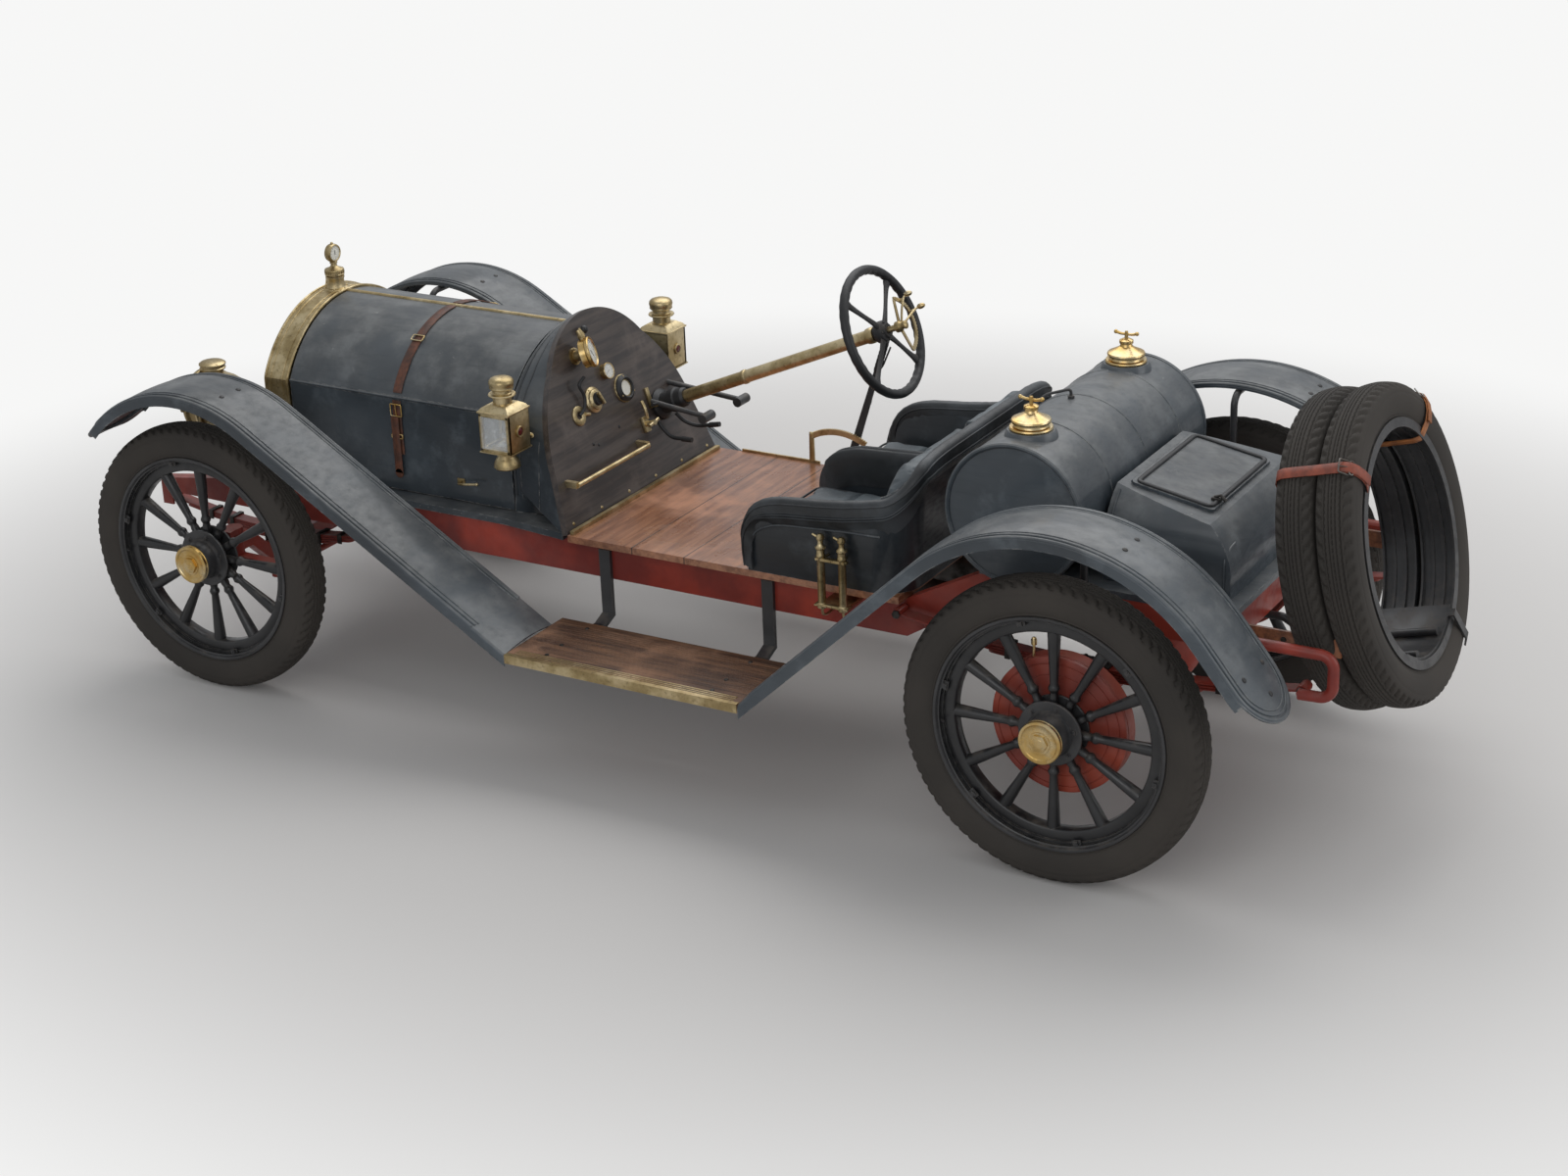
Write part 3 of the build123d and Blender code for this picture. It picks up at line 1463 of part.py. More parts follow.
fender_table = [
    # name, crown's centre x, centre z, radius, angle of its end, straight tail, foot x, facing
    (
        "front_fenders", front_fender_x, front_fender_z, front_fender_radius,
        front_lip_angle, 0.0, board_front_x, -1,
    ),
    (
        "rear_fenders", rear_fender_x, rear_fender_z, rear_fender_radius,
        rear_tail_angle, tail_length, board_rear_x, 1,
    ),
]
fender_middle_y = (fender_outer_y + fender_inner_y) / 2
fender_width = fender_outer_y - fender_inner_y
cut_depth = 70.0
cut_length = 200.0
for name, centre_x, centre_z, radius, end_angle, tail, foot_x, facing in fender_table:
    reach = hypot(foot_x - centre_x, board_top_z - centre_z)
    foot_turn = atan2(board_top_z - centre_z, facing * (foot_x - centre_x)) + acos(radius / reach)
    near = foot_turn if facing == 1 else pi - foot_turn
    far = radians(end_angle)
    run = sqrt(reach**2 - radius**2) + foot_spare
    # The way along the top that leads off its free end
    off_x = -facing * sin(far)
    off_z = facing * cos(far)
    with BuildPart() as fenders:
        for side_name, side in sides:
            y = side * fender_inner_y
            crown = [
                (centre_x + radius * cos(turn), y, centre_z + radius * sin(turn))
                for turn in (far, (far + near) / 2, near)
            ]
            end = (crown[0][0] + tail * off_x, y, crown[0][2] + tail * off_z)
            with BuildLine() as path:
                if tail:
                    Line(end, crown[0])
                ThreePointArc(*crown)
                Line(
                    crown[2],
                    (crown[2][0] + facing * run * sin(near), y, crown[2][2] - run * abs(cos(near))),
                )
            with BuildSketch(Plane(
                origin=end,
                x_dir=(0, side, 0),
                z_dir=(-off_x * side * facing, 0, -off_z * side * facing),
            )):
                make_face(fender_section())
            sweep(path=path.line)
            # The free end is rounded in plan
            with BuildSketch(Plane(
                origin=(end[0], side * fender_middle_y, end[2]),
                x_dir=(off_x, 0, off_z),
                z_dir=(-off_z, 0, off_x),
            )):
                with Locations((cut_length / 2 - end_round, 0)):
                    Rectangle(cut_length, fender_width + 20)
                if tail:
                    with Locations((-end_round, 0)):
                        Ellipse(end_round, fender_width / 2, mode=Mode.SUBTRACT)
                else:
                    with Locations((-cut_length / 2, 0)):
                        RectangleRounded(cut_length, fender_width, nose_round, mode=Mode.SUBTRACT)
            extrude(amount=cut_depth, both=True, mode=Mode.SUBTRACT)
        # The foot is cut upright where it meets the running board
        with BuildSketch(end_plane(foot_x)):
            with Locations((0, board_top_z)):
                Rectangle(2 * fender_outer_y + 20, 2 * cut_length)
        extrude(amount=facing * 2 * foot_spare, mode=Mode.SUBTRACT)
    save(fenders.part, name)

# Running boards between the fenders, and the irons that carry boards and fenders
with BuildPart() as running_boards:
    for name, side in sides:
        with BuildSketch(place(0, 0, board_top_z - board_thickness)):
            with BuildLine():
                Polyline(
                    (board_rear_x, side * board_inner_y),
                    (board_rear_x, side * fender_outer_y),
                    (board_front_x, side * fender_outer_y),
                    (board_front_x, side * board_inner_y),
                    close=True,
                )
            make_face()
        extrude(amount=board_thickness)
save(running_boards.part, "running_boards")

with BuildPart() as fender_irons:
    for name, side in sides:
        for x in (board_rear_x + 120, board_front_x - 120):
            with BuildSketch(end_plane(x)):
                with BuildLine():
                    Polyline(
                        (side * (rail_outer_y + 0.0), rail_top_z - 20),
                        (side * (rail_outer_y + 14), rail_top_z - 20),
                        (side * (rail_outer_y + 14), board_top_z - board_thickness + 20),
                        (side * (rail_outer_y + 60), board_top_z - board_thickness),
                        (side * (fender_outer_y - 40), board_top_z - board_thickness),
                        (side * (fender_outer_y - 40), board_top_z - board_thickness - 12),
                        (side * (rail_outer_y + 54), board_top_z - board_thickness - 12),
                        (side * (rail_outer_y + 0.0), board_top_z - board_thickness + 10),
                        close=True,
                    )
                make_face()
            extrude(amount=40)
        front_iron_z = front_fender_z + front_fender_radius - inner_lip - iron_radius - 1
        rear_iron_z = rear_fender_z + rear_fender_radius - inner_lip - iron_radius - 1
        add(rod(
            [
                (front_fender_x, side * (rail_outer_y + iron_radius), rail_top_z - 90),
                (front_fender_x, side * (rail_outer_y + iron_radius), rail_top_z + 20),
                (front_fender_x, side * (fender_inner_y - 40), front_iron_z),
                (front_fender_x, side * (fender_outer_y - 60), front_iron_z),
            ],
            iron_radius,
            45,
        ))
        add(rod(
            [
                (rear_fender_x, side * (rail_outer_y + iron_radius), rear_rail_top_z - 60),
                (rear_fender_x, side * (fender_inner_y - 20), rear_rail_top_z - 60),
                (rear_fender_x, side * (fender_inner_y - 20), rear_iron_z),
                (rear_fender_x, side * (fender_outer_y - 60), rear_iron_z),
            ],
            iron_radius,
            min(40, (fender_inner_y - rail_outer_y - iron_radius - 20) / 2.2),
        ))
        # A round pad on each iron meets the middle of the fender's underside
        for x, iron_z, sheet_z in (
            (front_fender_x, front_iron_z, front_fender_z + front_fender_radius),
            (rear_fender_x, rear_iron_z, rear_fender_z + rear_fender_radius),
        ):
            with BuildSketch(place(x, side * fender_middle_y, iron_z)):
                Circle(iron_radius + 3)
            extrude(amount=sheet_z + fender_crown - fender_sheet - seat_gap - 0.3 - iron_z)
save(fender_irons.part, "fender_irons")

# Steering column, wheel and the hand controls above it
tilt = radians(wheel_tilt)
column_axis = (-cos(tilt), 0, sin(tilt))
wheel_plane = Plane(
    origin=(wheel_x, wheel_y, wheel_z), x_dir=(0, 1, 0), z_dir=column_axis
)
wheel_hub_half = 22.0
inner_tube_radius = 10.0
with BuildPart() as steering_column:
    with BuildSketch(wheel_plane.offset(-column_length)):
        Circle(column_radius)
    extrude(amount=column_length - wheel_hub_half - 6)
    split(bisect_by=dash_plane, keep=Keep.BOTTOM)
    with BuildSketch(wheel_plane.offset(-60)):
        Circle(inner_tube_radius)
    extrude(amount=150)
    with BuildSketch(wheel_plane.offset(62)):
        with BuildLine():
            Line((-12, 0), (-85, 40))
            ThreePointArc((-85, 40), (0, 95), (85, 40))
            Line((85, 40), (12, 0))
            Line((12, 0), (72, 40))
            ThreePointArc((72, 40), (0, 82), (-72, 40))
            Line((-72, 40), (-12, 0))
        Circle(18)
    extrude(amount=6)
save(steering_column.part, "steering_column")

with BuildPart() as steering_wheel:
    with BuildSketch(Plane(
        origin=(wheel_x, wheel_y, wheel_z),
        x_dir=(0, 1, 0),
        z_dir=(-sin(tilt), 0, -cos(tilt)),
    )):
        with Locations((wheel_rim_radius, 0)):
            Circle(wheel_rim_section)
    revolve(axis=Axis((wheel_x, wheel_y, wheel_z), column_axis))
    with BuildSketch(wheel_plane.offset(-wheel_hub_half)):
        Circle(36)
    extrude(amount=2 * wheel_hub_half)
    for turn in range(4):
        with BuildSketch(wheel_plane.offset(-7)):
            with Locations(Location((0, 0), 90 * turn + 45)):
                with Locations((wheel_rim_radius / 2, 0)):
                    Rectangle(wheel_rim_radius - 4, 24)
        extrude(amount=14)
    with BuildSketch(wheel_plane.offset(-wheel_hub_half)):
        Circle(inner_tube_radius + running_gap)
    extrude(amount=2 * wheel_hub_half, mode=Mode.SUBTRACT)
save(steering_wheel.part, "steering_wheel")

# Hand lever on a pin at the frame's right side, and the sector that it moves along
lever_y = -470.0
pivot_x = rear_axle_x + 1320.0
pivot_z = rail_top_z - 60.0
lever_length = 570.0
lever_lean = 18.4
sector_outer = 212.0
sector_inner = 190.0
sector_start = 61.0
sector_sweep = 60.0
with BuildPart() as hand_lever:
    with BuildSketch(side_plane(lever_y)):
        with Locations(Location((pivot_x, pivot_z), lever_lean)):
            with Locations((0, lever_length / 2)):
                Rectangle(26, lever_length)
            Circle(24)
    extrude(amount=8)
    with BuildSketch(side_plane(-rail_outer_y - seat_gap)):
        with Locations((pivot_x, pivot_z)):
            Circle(13)
    extrude(amount=-lever_y - rail_outer_y + 12)
save(hand_lever.part, "hand_lever")


def sector_spot(radius, angle):
    """A point about the lever's pin, by its angle from level."""
    return (pivot_x + radius * cos(angle), pivot_z + radius * sin(angle))


with BuildPart() as lever_sector:
    post_x = pivot_x + 100.0
    with BuildSketch(side_plane(lever_y + 12)):
        with BuildLine():
            near = radians(sector_start)
            far = radians(sector_start + sector_sweep)
            middle = (near + far) / 2

            outer = [sector_spot(sector_outer, angle) for angle in (near, middle, far)]
            inner = [sector_spot(sector_inner, angle) for angle in (far, middle, near)]
            ThreePointArc(*outer)
            Line(outer[2], inner[0])
            ThreePointArc(*inner)
            Line(inner[2], outer[0])
        make_face()
        with Locations((post_x, pivot_z + 108)):
            Rectangle(22, 160)
    extrude(amount=6)
    with BuildSketch(side_plane(-rail_outer_y - seat_gap)):
        with Locations((post_x, pivot_z + 40)):
            Rectangle(22, 24)
    extrude(amount=-lever_y - rail_outer_y - seat_gap - 7)
save(lever_sector.part, "lever_sector")

# Pedals on arms from the dashboard
pedal_table = [
    # pad x behind the board's foot, y, z, height of the arm's root
    (193.0, -310.0, rail_top_z + 260.0, rail_top_z + 285.0),
    (138.0, -180.0, rail_top_z + 235.0, rail_top_z + 260.0),
]
with BuildPart() as pedals:
    for back, y, z, root_z in pedal_table:
        pad_x = dash_bottom_x - back
        root_x = dash_bottom_x + (root_z - dash_bottom_z) * tan(radians(dash_lean)) + 12
        with BuildSketch(side_plane(y + 30)):
            with Locations((pad_x, z)):
                Circle(16)
        extrude(amount=60)
        add(rod([(pad_x, y, z), (root_x, y, root_z)], 9, 0))
    with BuildSketch(dash_plane):
        Rectangle(2000, 2000)
    extrude(amount=400, mode=Mode.SUBTRACT)
save(pedals.part, "pedals")

# Brass trim: foot rail ahead of the dashboard, strip at its foot, edging along the floor
foot_rail_x = dash_bottom_x + 5.0
foot_rail_z = rail_top_z + 160.0
foot_rail_y = (-44.0, 366.0)
with BuildPart() as floor_trim:
    with BuildSketch(side_plane(foot_rail_y[1])):
        with Locations((foot_rail_x, foot_rail_z)):
            Circle(8)
    extrude(amount=foot_rail_y[1] - foot_rail_y[0])
    for y in foot_rail_y:
        with BuildSketch(side_plane(y + 8)):
            with Locations((foot_rail_x + 30, foot_rail_z)):
                Rectangle(60, 20)
        extrude(amount=16)
    with BuildSketch(place(dash_bottom_x - 12, 0, floor_top_z + seat_gap)):
        Rectangle(14, 2 * floor_half - 20)
    extrude(amount=12)
    with BuildSketch(place(dash_bottom_x - 250, -floor_half - 3 - seat_gap, rail_top_z)):
        Rectangle(300, 6)
    extrude(amount=floor_thickness + 8)
    with BuildSketch(dash_plane):
        Rectangle(2000, 2000)
    extrude(amount=400, mode=Mode.SUBTRACT)
save(floor_trim.part, "floor_trim")

# Pair of upright brass oil pumps beside the left seat, on a bracket from the frame
pump_y = 503.0
pump_radius = 15.0
pump_low_z = rail_top_z - 30.0
pump_high_z = rail_top_z + 205.0
with BuildPart() as oil_pumps:
    for x in (rear_axle_x + 776, rear_axle_x + 847):
        with BuildSketch(place(x, pump_y, pump_low_z)):
            Circle(pump_radius)
        extrude(amount=pump_high_z - pump_low_z)
    with BuildSketch(place(rear_axle_x + 811, (rail_outer_y + seat_gap + pump_y) / 2, pump_low_z)):
        Rectangle(96, pump_y - rail_outer_y - seat_gap)
    extrude(amount=14)
save(oil_pumps.part, "oil_pumps")
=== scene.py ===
# Looks of a brass era roadster: finishes, tyres, lamps, leather seats and fittings over the fixed frame.
import bmesh
import bpy
import json
from math import atan2, cos, pi, radians, sin, sqrt, tau
from mathutils import Matrix, Vector
from mathutils.bvhtree import BVHTree

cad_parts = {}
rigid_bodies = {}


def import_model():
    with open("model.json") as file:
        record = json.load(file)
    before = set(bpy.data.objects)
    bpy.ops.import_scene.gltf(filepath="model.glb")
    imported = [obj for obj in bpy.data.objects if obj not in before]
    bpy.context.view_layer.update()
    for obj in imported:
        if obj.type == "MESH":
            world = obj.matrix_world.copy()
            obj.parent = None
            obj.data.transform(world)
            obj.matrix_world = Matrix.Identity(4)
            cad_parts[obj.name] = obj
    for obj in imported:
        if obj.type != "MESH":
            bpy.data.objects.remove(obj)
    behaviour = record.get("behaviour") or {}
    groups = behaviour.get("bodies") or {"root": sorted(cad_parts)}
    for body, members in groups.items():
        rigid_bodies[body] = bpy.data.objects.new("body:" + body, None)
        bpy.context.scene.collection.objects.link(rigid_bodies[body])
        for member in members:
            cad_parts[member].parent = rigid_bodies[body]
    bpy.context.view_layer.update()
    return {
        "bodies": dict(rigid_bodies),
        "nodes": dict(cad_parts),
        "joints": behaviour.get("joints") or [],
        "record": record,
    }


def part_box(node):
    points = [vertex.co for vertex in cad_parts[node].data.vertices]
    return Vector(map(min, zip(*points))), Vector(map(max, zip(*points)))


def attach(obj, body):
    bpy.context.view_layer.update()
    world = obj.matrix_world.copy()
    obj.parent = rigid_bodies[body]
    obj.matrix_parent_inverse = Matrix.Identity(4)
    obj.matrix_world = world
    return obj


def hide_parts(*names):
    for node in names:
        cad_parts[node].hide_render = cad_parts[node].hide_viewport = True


bl_info = {"name": "Brass Era Roadster", "version": (1, 0, 0), "blender": (4, 5, 0),
    "location": "View3D > Sidebar > Roadster",
    "description": "Dresses the frame of an open two-seat car of the brass era", "category": "Add Mesh"}

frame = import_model()


def middle(node):
    """The centre of a CAD node's box."""
    low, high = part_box(node)
    return (Vector(low) + Vector(high)) / 2


def low_corner(node):
    """The lowest corner of a CAD node's box."""
    return Vector(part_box(node)[0])


def high_corner(node):
    """The highest corner of a CAD node's box."""
    return Vector(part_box(node)[1])


REAR = middle("wheel_rear_left").x
FRONT = middle("wheel_front_left").x
AXLE_Z = middle("tyre_rear_left").z
TYRE_Y = middle("tyre_rear_left").y
SIDES = (("left", 1), ("right", -1))
MM = 1000
WHEEL_AT = Vector((REAR + 1.021, -0.23, 1.208))
TILT = radians(22.9)
WHEELS = [(f"{end}_{side}", x, sign) for end, x in (("front", FRONT), ("rear", REAR))
    for side, sign in SIDES]


def mm(*parts):
    """Pairs in metres from a row of millimetres."""
    return [(a / MM, b / MM) for a, b in zip(parts[::2], parts[1::2])]


def mm3(*parts):
    """Triples in metres from a row of millimetres."""
    return [(a / MM, b / MM, c / MM) for a, b, c in zip(parts[::3], parts[1::3], parts[2::3])]


def shift(x, y, z):
    """A move by three distances."""
    return Matrix.Translation((x, y, z))


# Shader maths
class Field:
    """A value in a shader tree, so that Python arithmetic on it adds Math nodes."""

    def __init__(self, paint, socket):
        self.paint = paint
        self.socket = socket

    def math(self, operation, *values):
        sockets = {index: value for index, value in enumerate(values)}
        return self.paint.node("ShaderNodeMath", {"operation": operation}, sockets)

    def __add__(self, other):
        return self.math("ADD", self, other)

    __radd__ = __add__

    def __sub__(self, other):
        return self.math("SUBTRACT", self, other)

    def __rsub__(self, other):
        return self.math("SUBTRACT", other, self)

    def __mul__(self, other):
        return self.math("MULTIPLY", self, other)

    __rmul__ = __mul__

    def __truediv__(self, other):
        return self.math("DIVIDE", self, other)

    def __abs__(self):
        return self.math("ABSOLUTE", self)

    def wave(self):
        """The sine of the value."""
        return self.math("SINE", self)

    def least(self, other):
        return self.math("MINIMUM", self, other)

    def most(self, other):
        return self.math("MAXIMUM", self, other)

    def power(self, exponent):
        return self.math("POWER", self, exponent)

    def repeat(self, period):
        """Distance to the nearest multiple of a period."""
        return self.math("PINGPONG", self, period / 2)

    def step(self, low, high):
        """0 below low, 1 above high, smooth between them."""
        settings = {"interpolation_type": "SMOOTHSTEP", "clamp": True}
        return self.paint.node("ShaderNodeMapRange", settings,
            {"Value": self, "From Min": low, "From Max": high})

    def band(self, centre, half, soft):
        """1 within half of a centre value, falling to 0 over soft."""
        return abs(self - centre).step(half + soft, half)


class Paint:
    """A material being mixed: its node tree, coordinates and Principled shader."""

    def __init__(self, name, **sockets):
        self.material = bpy.data.materials.new(name)
        self.material.use_nodes = True
        self.tree = self.material.node_tree
        self.tree.nodes.clear()
        self.shader = self.tree.nodes.new("ShaderNodeBsdfPrincipled")
        self.output = self.tree.nodes.new("ShaderNodeOutputMaterial")
        self.tree.links.new(self.shader.outputs[0], self.output.inputs[0])
        self.set(**{key.replace("_", " "): value for key, value in sockets.items()})

    def feed(self, socket, value):
        """Link a field to a socket, or write a plain value on it."""
        if isinstance(value, Field):
            self.tree.links.new(value.socket, socket)
        elif socket.type == "RGBA":
            socket.default_value = (*tuple(value)[:3], 1.0)
        else:
            socket.default_value = value

    def node(self, kind, settings=None, sockets=None, output=0):
        """Add a node: its settings first, then the values or links of its sockets."""
        added = self.tree.nodes.new(kind)
        for key, value in (settings or {}).items():
            if key == "stops":
                ramp = added.color_ramp.elements
                while len(ramp) < len(value):
                    ramp.new(0.5)
                for element, (position, colour) in zip(ramp, value):
                    element.position = position
                    element.color = (*colour, 1.0)
            else:
                setattr(added, key, value)
        for key, value in (sockets or {}).items():
            self.feed(added.inputs[key], value)
        return Field(self, added.outputs[output])

    def set(self, **sockets):
        """Write or link sockets of the main shader."""
        for key, value in sockets.items():
            self.feed(self.shader.inputs[key.replace("_", " ")], value)
        return self

    def place(self):
        """Object coordinates."""
        return self.node("ShaderNodeTexCoord", output=3)

    def axes(self, vector=None):
        """The three parts of a vector, by default the object coordinates."""
        vector = vector or self.place()
        split = self.tree.nodes.new("ShaderNodeSeparateXYZ")
        self.tree.links.new(vector.socket, split.inputs[0])
        return [Field(self, socket) for socket in split.outputs]

    def noise(self, scale, detail=3.0, rough=0.55, vector=None, stretch=None):
        """Noise on object coordinates, with features about 1 / scale metres across."""
        vector = vector or self.place()
        if stretch:
            vector = self.node("ShaderNodeVectorMath", {"operation": "MULTIPLY"}, {0: vector, 1: stretch})
        sockets = {"Vector": vector, "Scale": scale, "Detail": detail, "Roughness": rough}
        return self.node("ShaderNodeTexNoise", None, sockets)

    def cells(self, scale, feature="F1", vector=None, random=1.0):
        """Voronoi distance on object coordinates."""
        sockets = {"Vector": vector or self.place(), "Scale": scale, "Randomness": random}
        return self.node("ShaderNodeTexVoronoi", {"feature": feature}, sockets)

    def mix(self, factor, first, second, blend="MIX"):
        """Colour mix."""
        settings = {"data_type": "RGBA", "blend_type": blend}
        return self.node("ShaderNodeMix", settings, {0: factor, 6: first, 7: second}, output=2)

    def upward(self):
        """How far a surface faces up, from -1 to 1."""
        return self.axes(self.node("ShaderNodeNewGeometry", output=1))[2]

    def cavity(self, radius=0.012):
        """Near 1 on raised edges and 0 in corners, from the bevelled normal."""
        bevel = self.node("ShaderNodeBevel", {"samples": 4}, {"Radius": radius})
        normal = self.node("ShaderNodeNewGeometry", output=1)
        dot = self.node("ShaderNodeVectorMath", {"operation": "DOT_PRODUCT"}, {0: bevel, 1: normal},
            output=1)
        return (1.0 - dot).step(0.02, 0.3)

    def bump(self, height, strength=0.3, distance=0.001, normal=None):
        """Feed the Normal socket from a height in metres times distance."""
        sockets = {"Height": height, "Strength": strength, "Distance": distance}
        if normal:
            sockets["Normal"] = normal
        field = self.node("ShaderNodeBump", None, sockets)
        self.set(Normal=field)
        return field


# Finishes
def slate_paint(name, colours, gloss=0.3, depth=1.0, dust_and_top_light=1.0):
    """Aged slate enamel: cloudy tone, dust and a painted top light where it faces up, painted shade where
    it faces down, rubbed spots, scratches and worn edges.
    """
    paint = Paint(name, Coat_Weight=0.3, Coat_Roughness=0.14)
    cloud = paint.noise(1.5, 4.0)
    blotch = paint.noise(8.0, 6.0, 0.62)
    speck = paint.noise(160.0, 2.0, 0.5)
    tones = (colours.slate_dark, colours.slate, colours.slate_pale)
    dark, main, pale = (tuple(depth * part for part in tone) for tone in tones)
    base = paint.mix(cloud.step(0.36, 0.66), dark, main)
    base = paint.mix(blotch.step(0.5, 0.72) * 0.45, base, pale)
    up = paint.upward()
    # Dust and a painted top light: surfaces that face up are mixed toward the pale dust tone in patches.
    dust = up.step(0.05, 1.0) * (0.3 + 0.7 * blotch.step(0.35, 0.68)) * dust_and_top_light
    base = paint.mix(dust * colours.dust_and_top_light_amount, base, colours.dust)
    # Painted shade: surfaces that face down are darkened toward a deep slate.
    painted_shade_below = up.step(-0.1, -0.7)
    base = paint.mix(painted_shade_below * 0.7, base, tuple(0.35 * part for part in colours.slate_dark))
    flakes = paint.noise(23.0, 6.0, 0.7).step(0.665, 0.7) * up.step(0.2, 0.8)
    chips = paint.cells(70.0).step(0.1, 0.05) * paint.noise(14.0).step(0.62, 0.7)
    worn = (paint.cavity(0.006) * paint.noise(40.0).step(0.45, 0.62)).most(chips * 0.8).most(flakes * 0.55)
    base = paint.mix(worn, base, colours.bare)
    streak = paint.noise(26.0, 4.0, 0.65, stretch=(0.3, 1.0, 3.0))
    base = paint.mix(streak.step(0.55, 0.8) * 0.3, base, dark)
    paint.set(Base_Color=base, Roughness=gloss + 0.24 * streak.step(0.35, 0.7) + 0.22 * dust + 0.2 * worn)
    paint.bump(blotch * 0.6 + speck * 0.12 - worn * 0.3, 0.25, 0.0012)
    return paint.material


def enamel(name, colour, dark, gloss=0.42, chip_tone=(0.05, 0.035, 0.03), dust=(0.2, 0.17, 0.14), wear=0.5):
    """Plain worn enamel for frame, wheels and irons."""
    paint = Paint(name, Coat_Weight=0.15, Coat_Roughness=0.2)
    cloud = paint.noise(4.0, 4.0)
    grime = paint.noise(22.0, 5.0, 0.62)
    base = paint.mix(cloud.step(0.35, 0.7), dark, colour)
    base = paint.mix(paint.upward().step(0.2, 1.0) * grime.step(0.4, 0.72) * 0.4, base, dust)
    worn = paint.cavity(0.004) * paint.noise(55.0).step(0.42, 0.62) * wear
    base = paint.mix(worn, base, chip_tone)
    paint.set(Base_Color=base, Roughness=gloss + 0.25 * grime.step(0.4, 0.7))
    paint.bump(grime, 0.18, 0.0008)
    return paint.material


def brass(name, colours, polish=0.3, patina=0.5, rubbed=None):
    """Aged brass: polished and brown, dull patches placed at random, with spots and fine scratches."""
    paint = Paint(name, Metallic=1.0)
    cloud = paint.noise(11.0, 4.0, 0.6)
    spots = paint.noise(75.0, 4.0, 0.6)
    base = paint.mix(cloud.step(0.38, 0.68), rubbed or colours.brass, colours.brass_pale)
    tarnish = (spots.step(0.52, 0.72) * patina + cloud.step(0.55, 0.3) * patina * 0.5).least(1.0)
    base = paint.mix(tarnish, base, colours.brass_dark)
    scratch = paint.noise(260.0, 2.0, 0.5, stretch=(0.1, 1.0, 1.0))
    paint.set(Base_Color=base, Roughness=polish + 0.22 * tarnish + 0.12 * scratch)
    paint.bump(cloud * 0.5 + scratch * 0.1, 0.2, 0.0006)
    return paint.material


def metal(name, colour, dark, rough=0.42, grain=60.0):
    """Bare or oily metal with stains."""
    paint = Paint(name, Metallic=0.9)
    stain = paint.noise(18.0, 5.0, 0.6)
    fine = paint.noise(grain * 4, 2.0)
    base = paint.mix(stain.step(0.35, 0.7), dark, colour)
    paint.set(Base_Color=base, Roughness=rough + 0.25 * stain.step(0.6, 0.35))
    paint.bump(stain * 0.6 + fine * 0.3, 0.25, 0.0008)
    return paint.material


def cast(name, colour, dark):
    """Rough casting, painted or oily."""
    paint = Paint(name, Metallic=0.35)
    stain = paint.noise(13.0, 5.0, 0.6)
    grit = paint.noise(380.0, 2.0, 0.6)
    base = paint.mix(stain.step(0.35, 0.7), dark, colour)
    paint.set(Base_Color=base, Roughness=0.62 + 0.2 * grit)
    paint.bump(grit * 0.6 + stain * 0.5, 0.45, 0.001)
    return paint.material


def rubber(name, colour, dust, scuff=0.55):
    """Tyre rubber: even dusty sidewalls, darker tread, fine crazing and a few scuffs."""
    paint = Paint(name, Specular_IOR_Level=0.28)
    cloud = paint.noise(2.6, 3.0, 0.5)
    grime = paint.noise(90.0, 4.0, 0.6)
    scrape = paint.noise(11.0, 5.0, 0.6, stretch=(1.0, 1.6, 1.0))
    film = (0.45 + 0.4 * cloud.step(0.3, 0.72)) * (0.75 + 0.25 * grime) * scuff
    base = paint.mix(film, colour, dust)
    base = paint.mix(scrape.step(0.62, 0.78) * 0.35, base, tuple(0.55 * part for part in dust))
    paint.set(Base_Color=base, Roughness=0.72 + 0.15 * grime)
    paint.bump(grime * 0.5 + scrape * 0.4, 0.2, 0.0006)
    return paint.material


def leather(name, colour, worn, grain_scale=420.0, shine=0.36):
    """Upholstery leather: pebbled grain, creases, and a worn sheen in patches placed at random."""
    paint = Paint(name, Coat_Weight=0.1, Coat_Roughness=0.35)
    grain = paint.cells(grain_scale, "DISTANCE_TO_EDGE").step(0.0, 0.35)
    crease = paint.noise(24.0, 6.0, 0.7, stretch=(1.0, 1.0, 1.0))
    wear = paint.noise(6.0, 4.0)
    base = paint.mix(wear.step(0.4, 0.72), colour, worn)
    # Painted shade: the low parts of the creases are darkened in the colour.
    base = paint.mix(crease.step(0.3, 0.12), base, tuple(0.4 * part for part in colour))
    paint.set(Base_Color=base, Roughness=shine + 0.2 * crease.step(0.4, 0.7) + 0.1 * (1.0 - grain))
    paint.bump(grain * 0.35 + crease * 1.2, 0.3, 0.0012)
    return paint.material


def strap_leather(name, colour, dark):
    """Harness leather: smooth, cracked, darker at its edges and holes."""
    paint = Paint(name, Coat_Weight=0.1, Coat_Roughness=0.3)
    stain = paint.noise(28.0, 5.0, 0.65)
    crack = paint.noise(150.0, 4.0, 0.7)
    base = paint.mix(stain.step(0.36, 0.7), dark, colour)
    base = paint.mix(crack.step(0.6, 0.78) * 0.5, base, tuple(0.35 * part for part in dark))
    base = paint.mix(paint.cavity(0.004) * 0.45, base, tuple(0.5 * part for part in dark))
    paint.set(Base_Color=base, Roughness=0.45 + 0.25 * stain)
    paint.bump(crack + stain * 0.5, 0.35, 0.0008)
    return paint.material


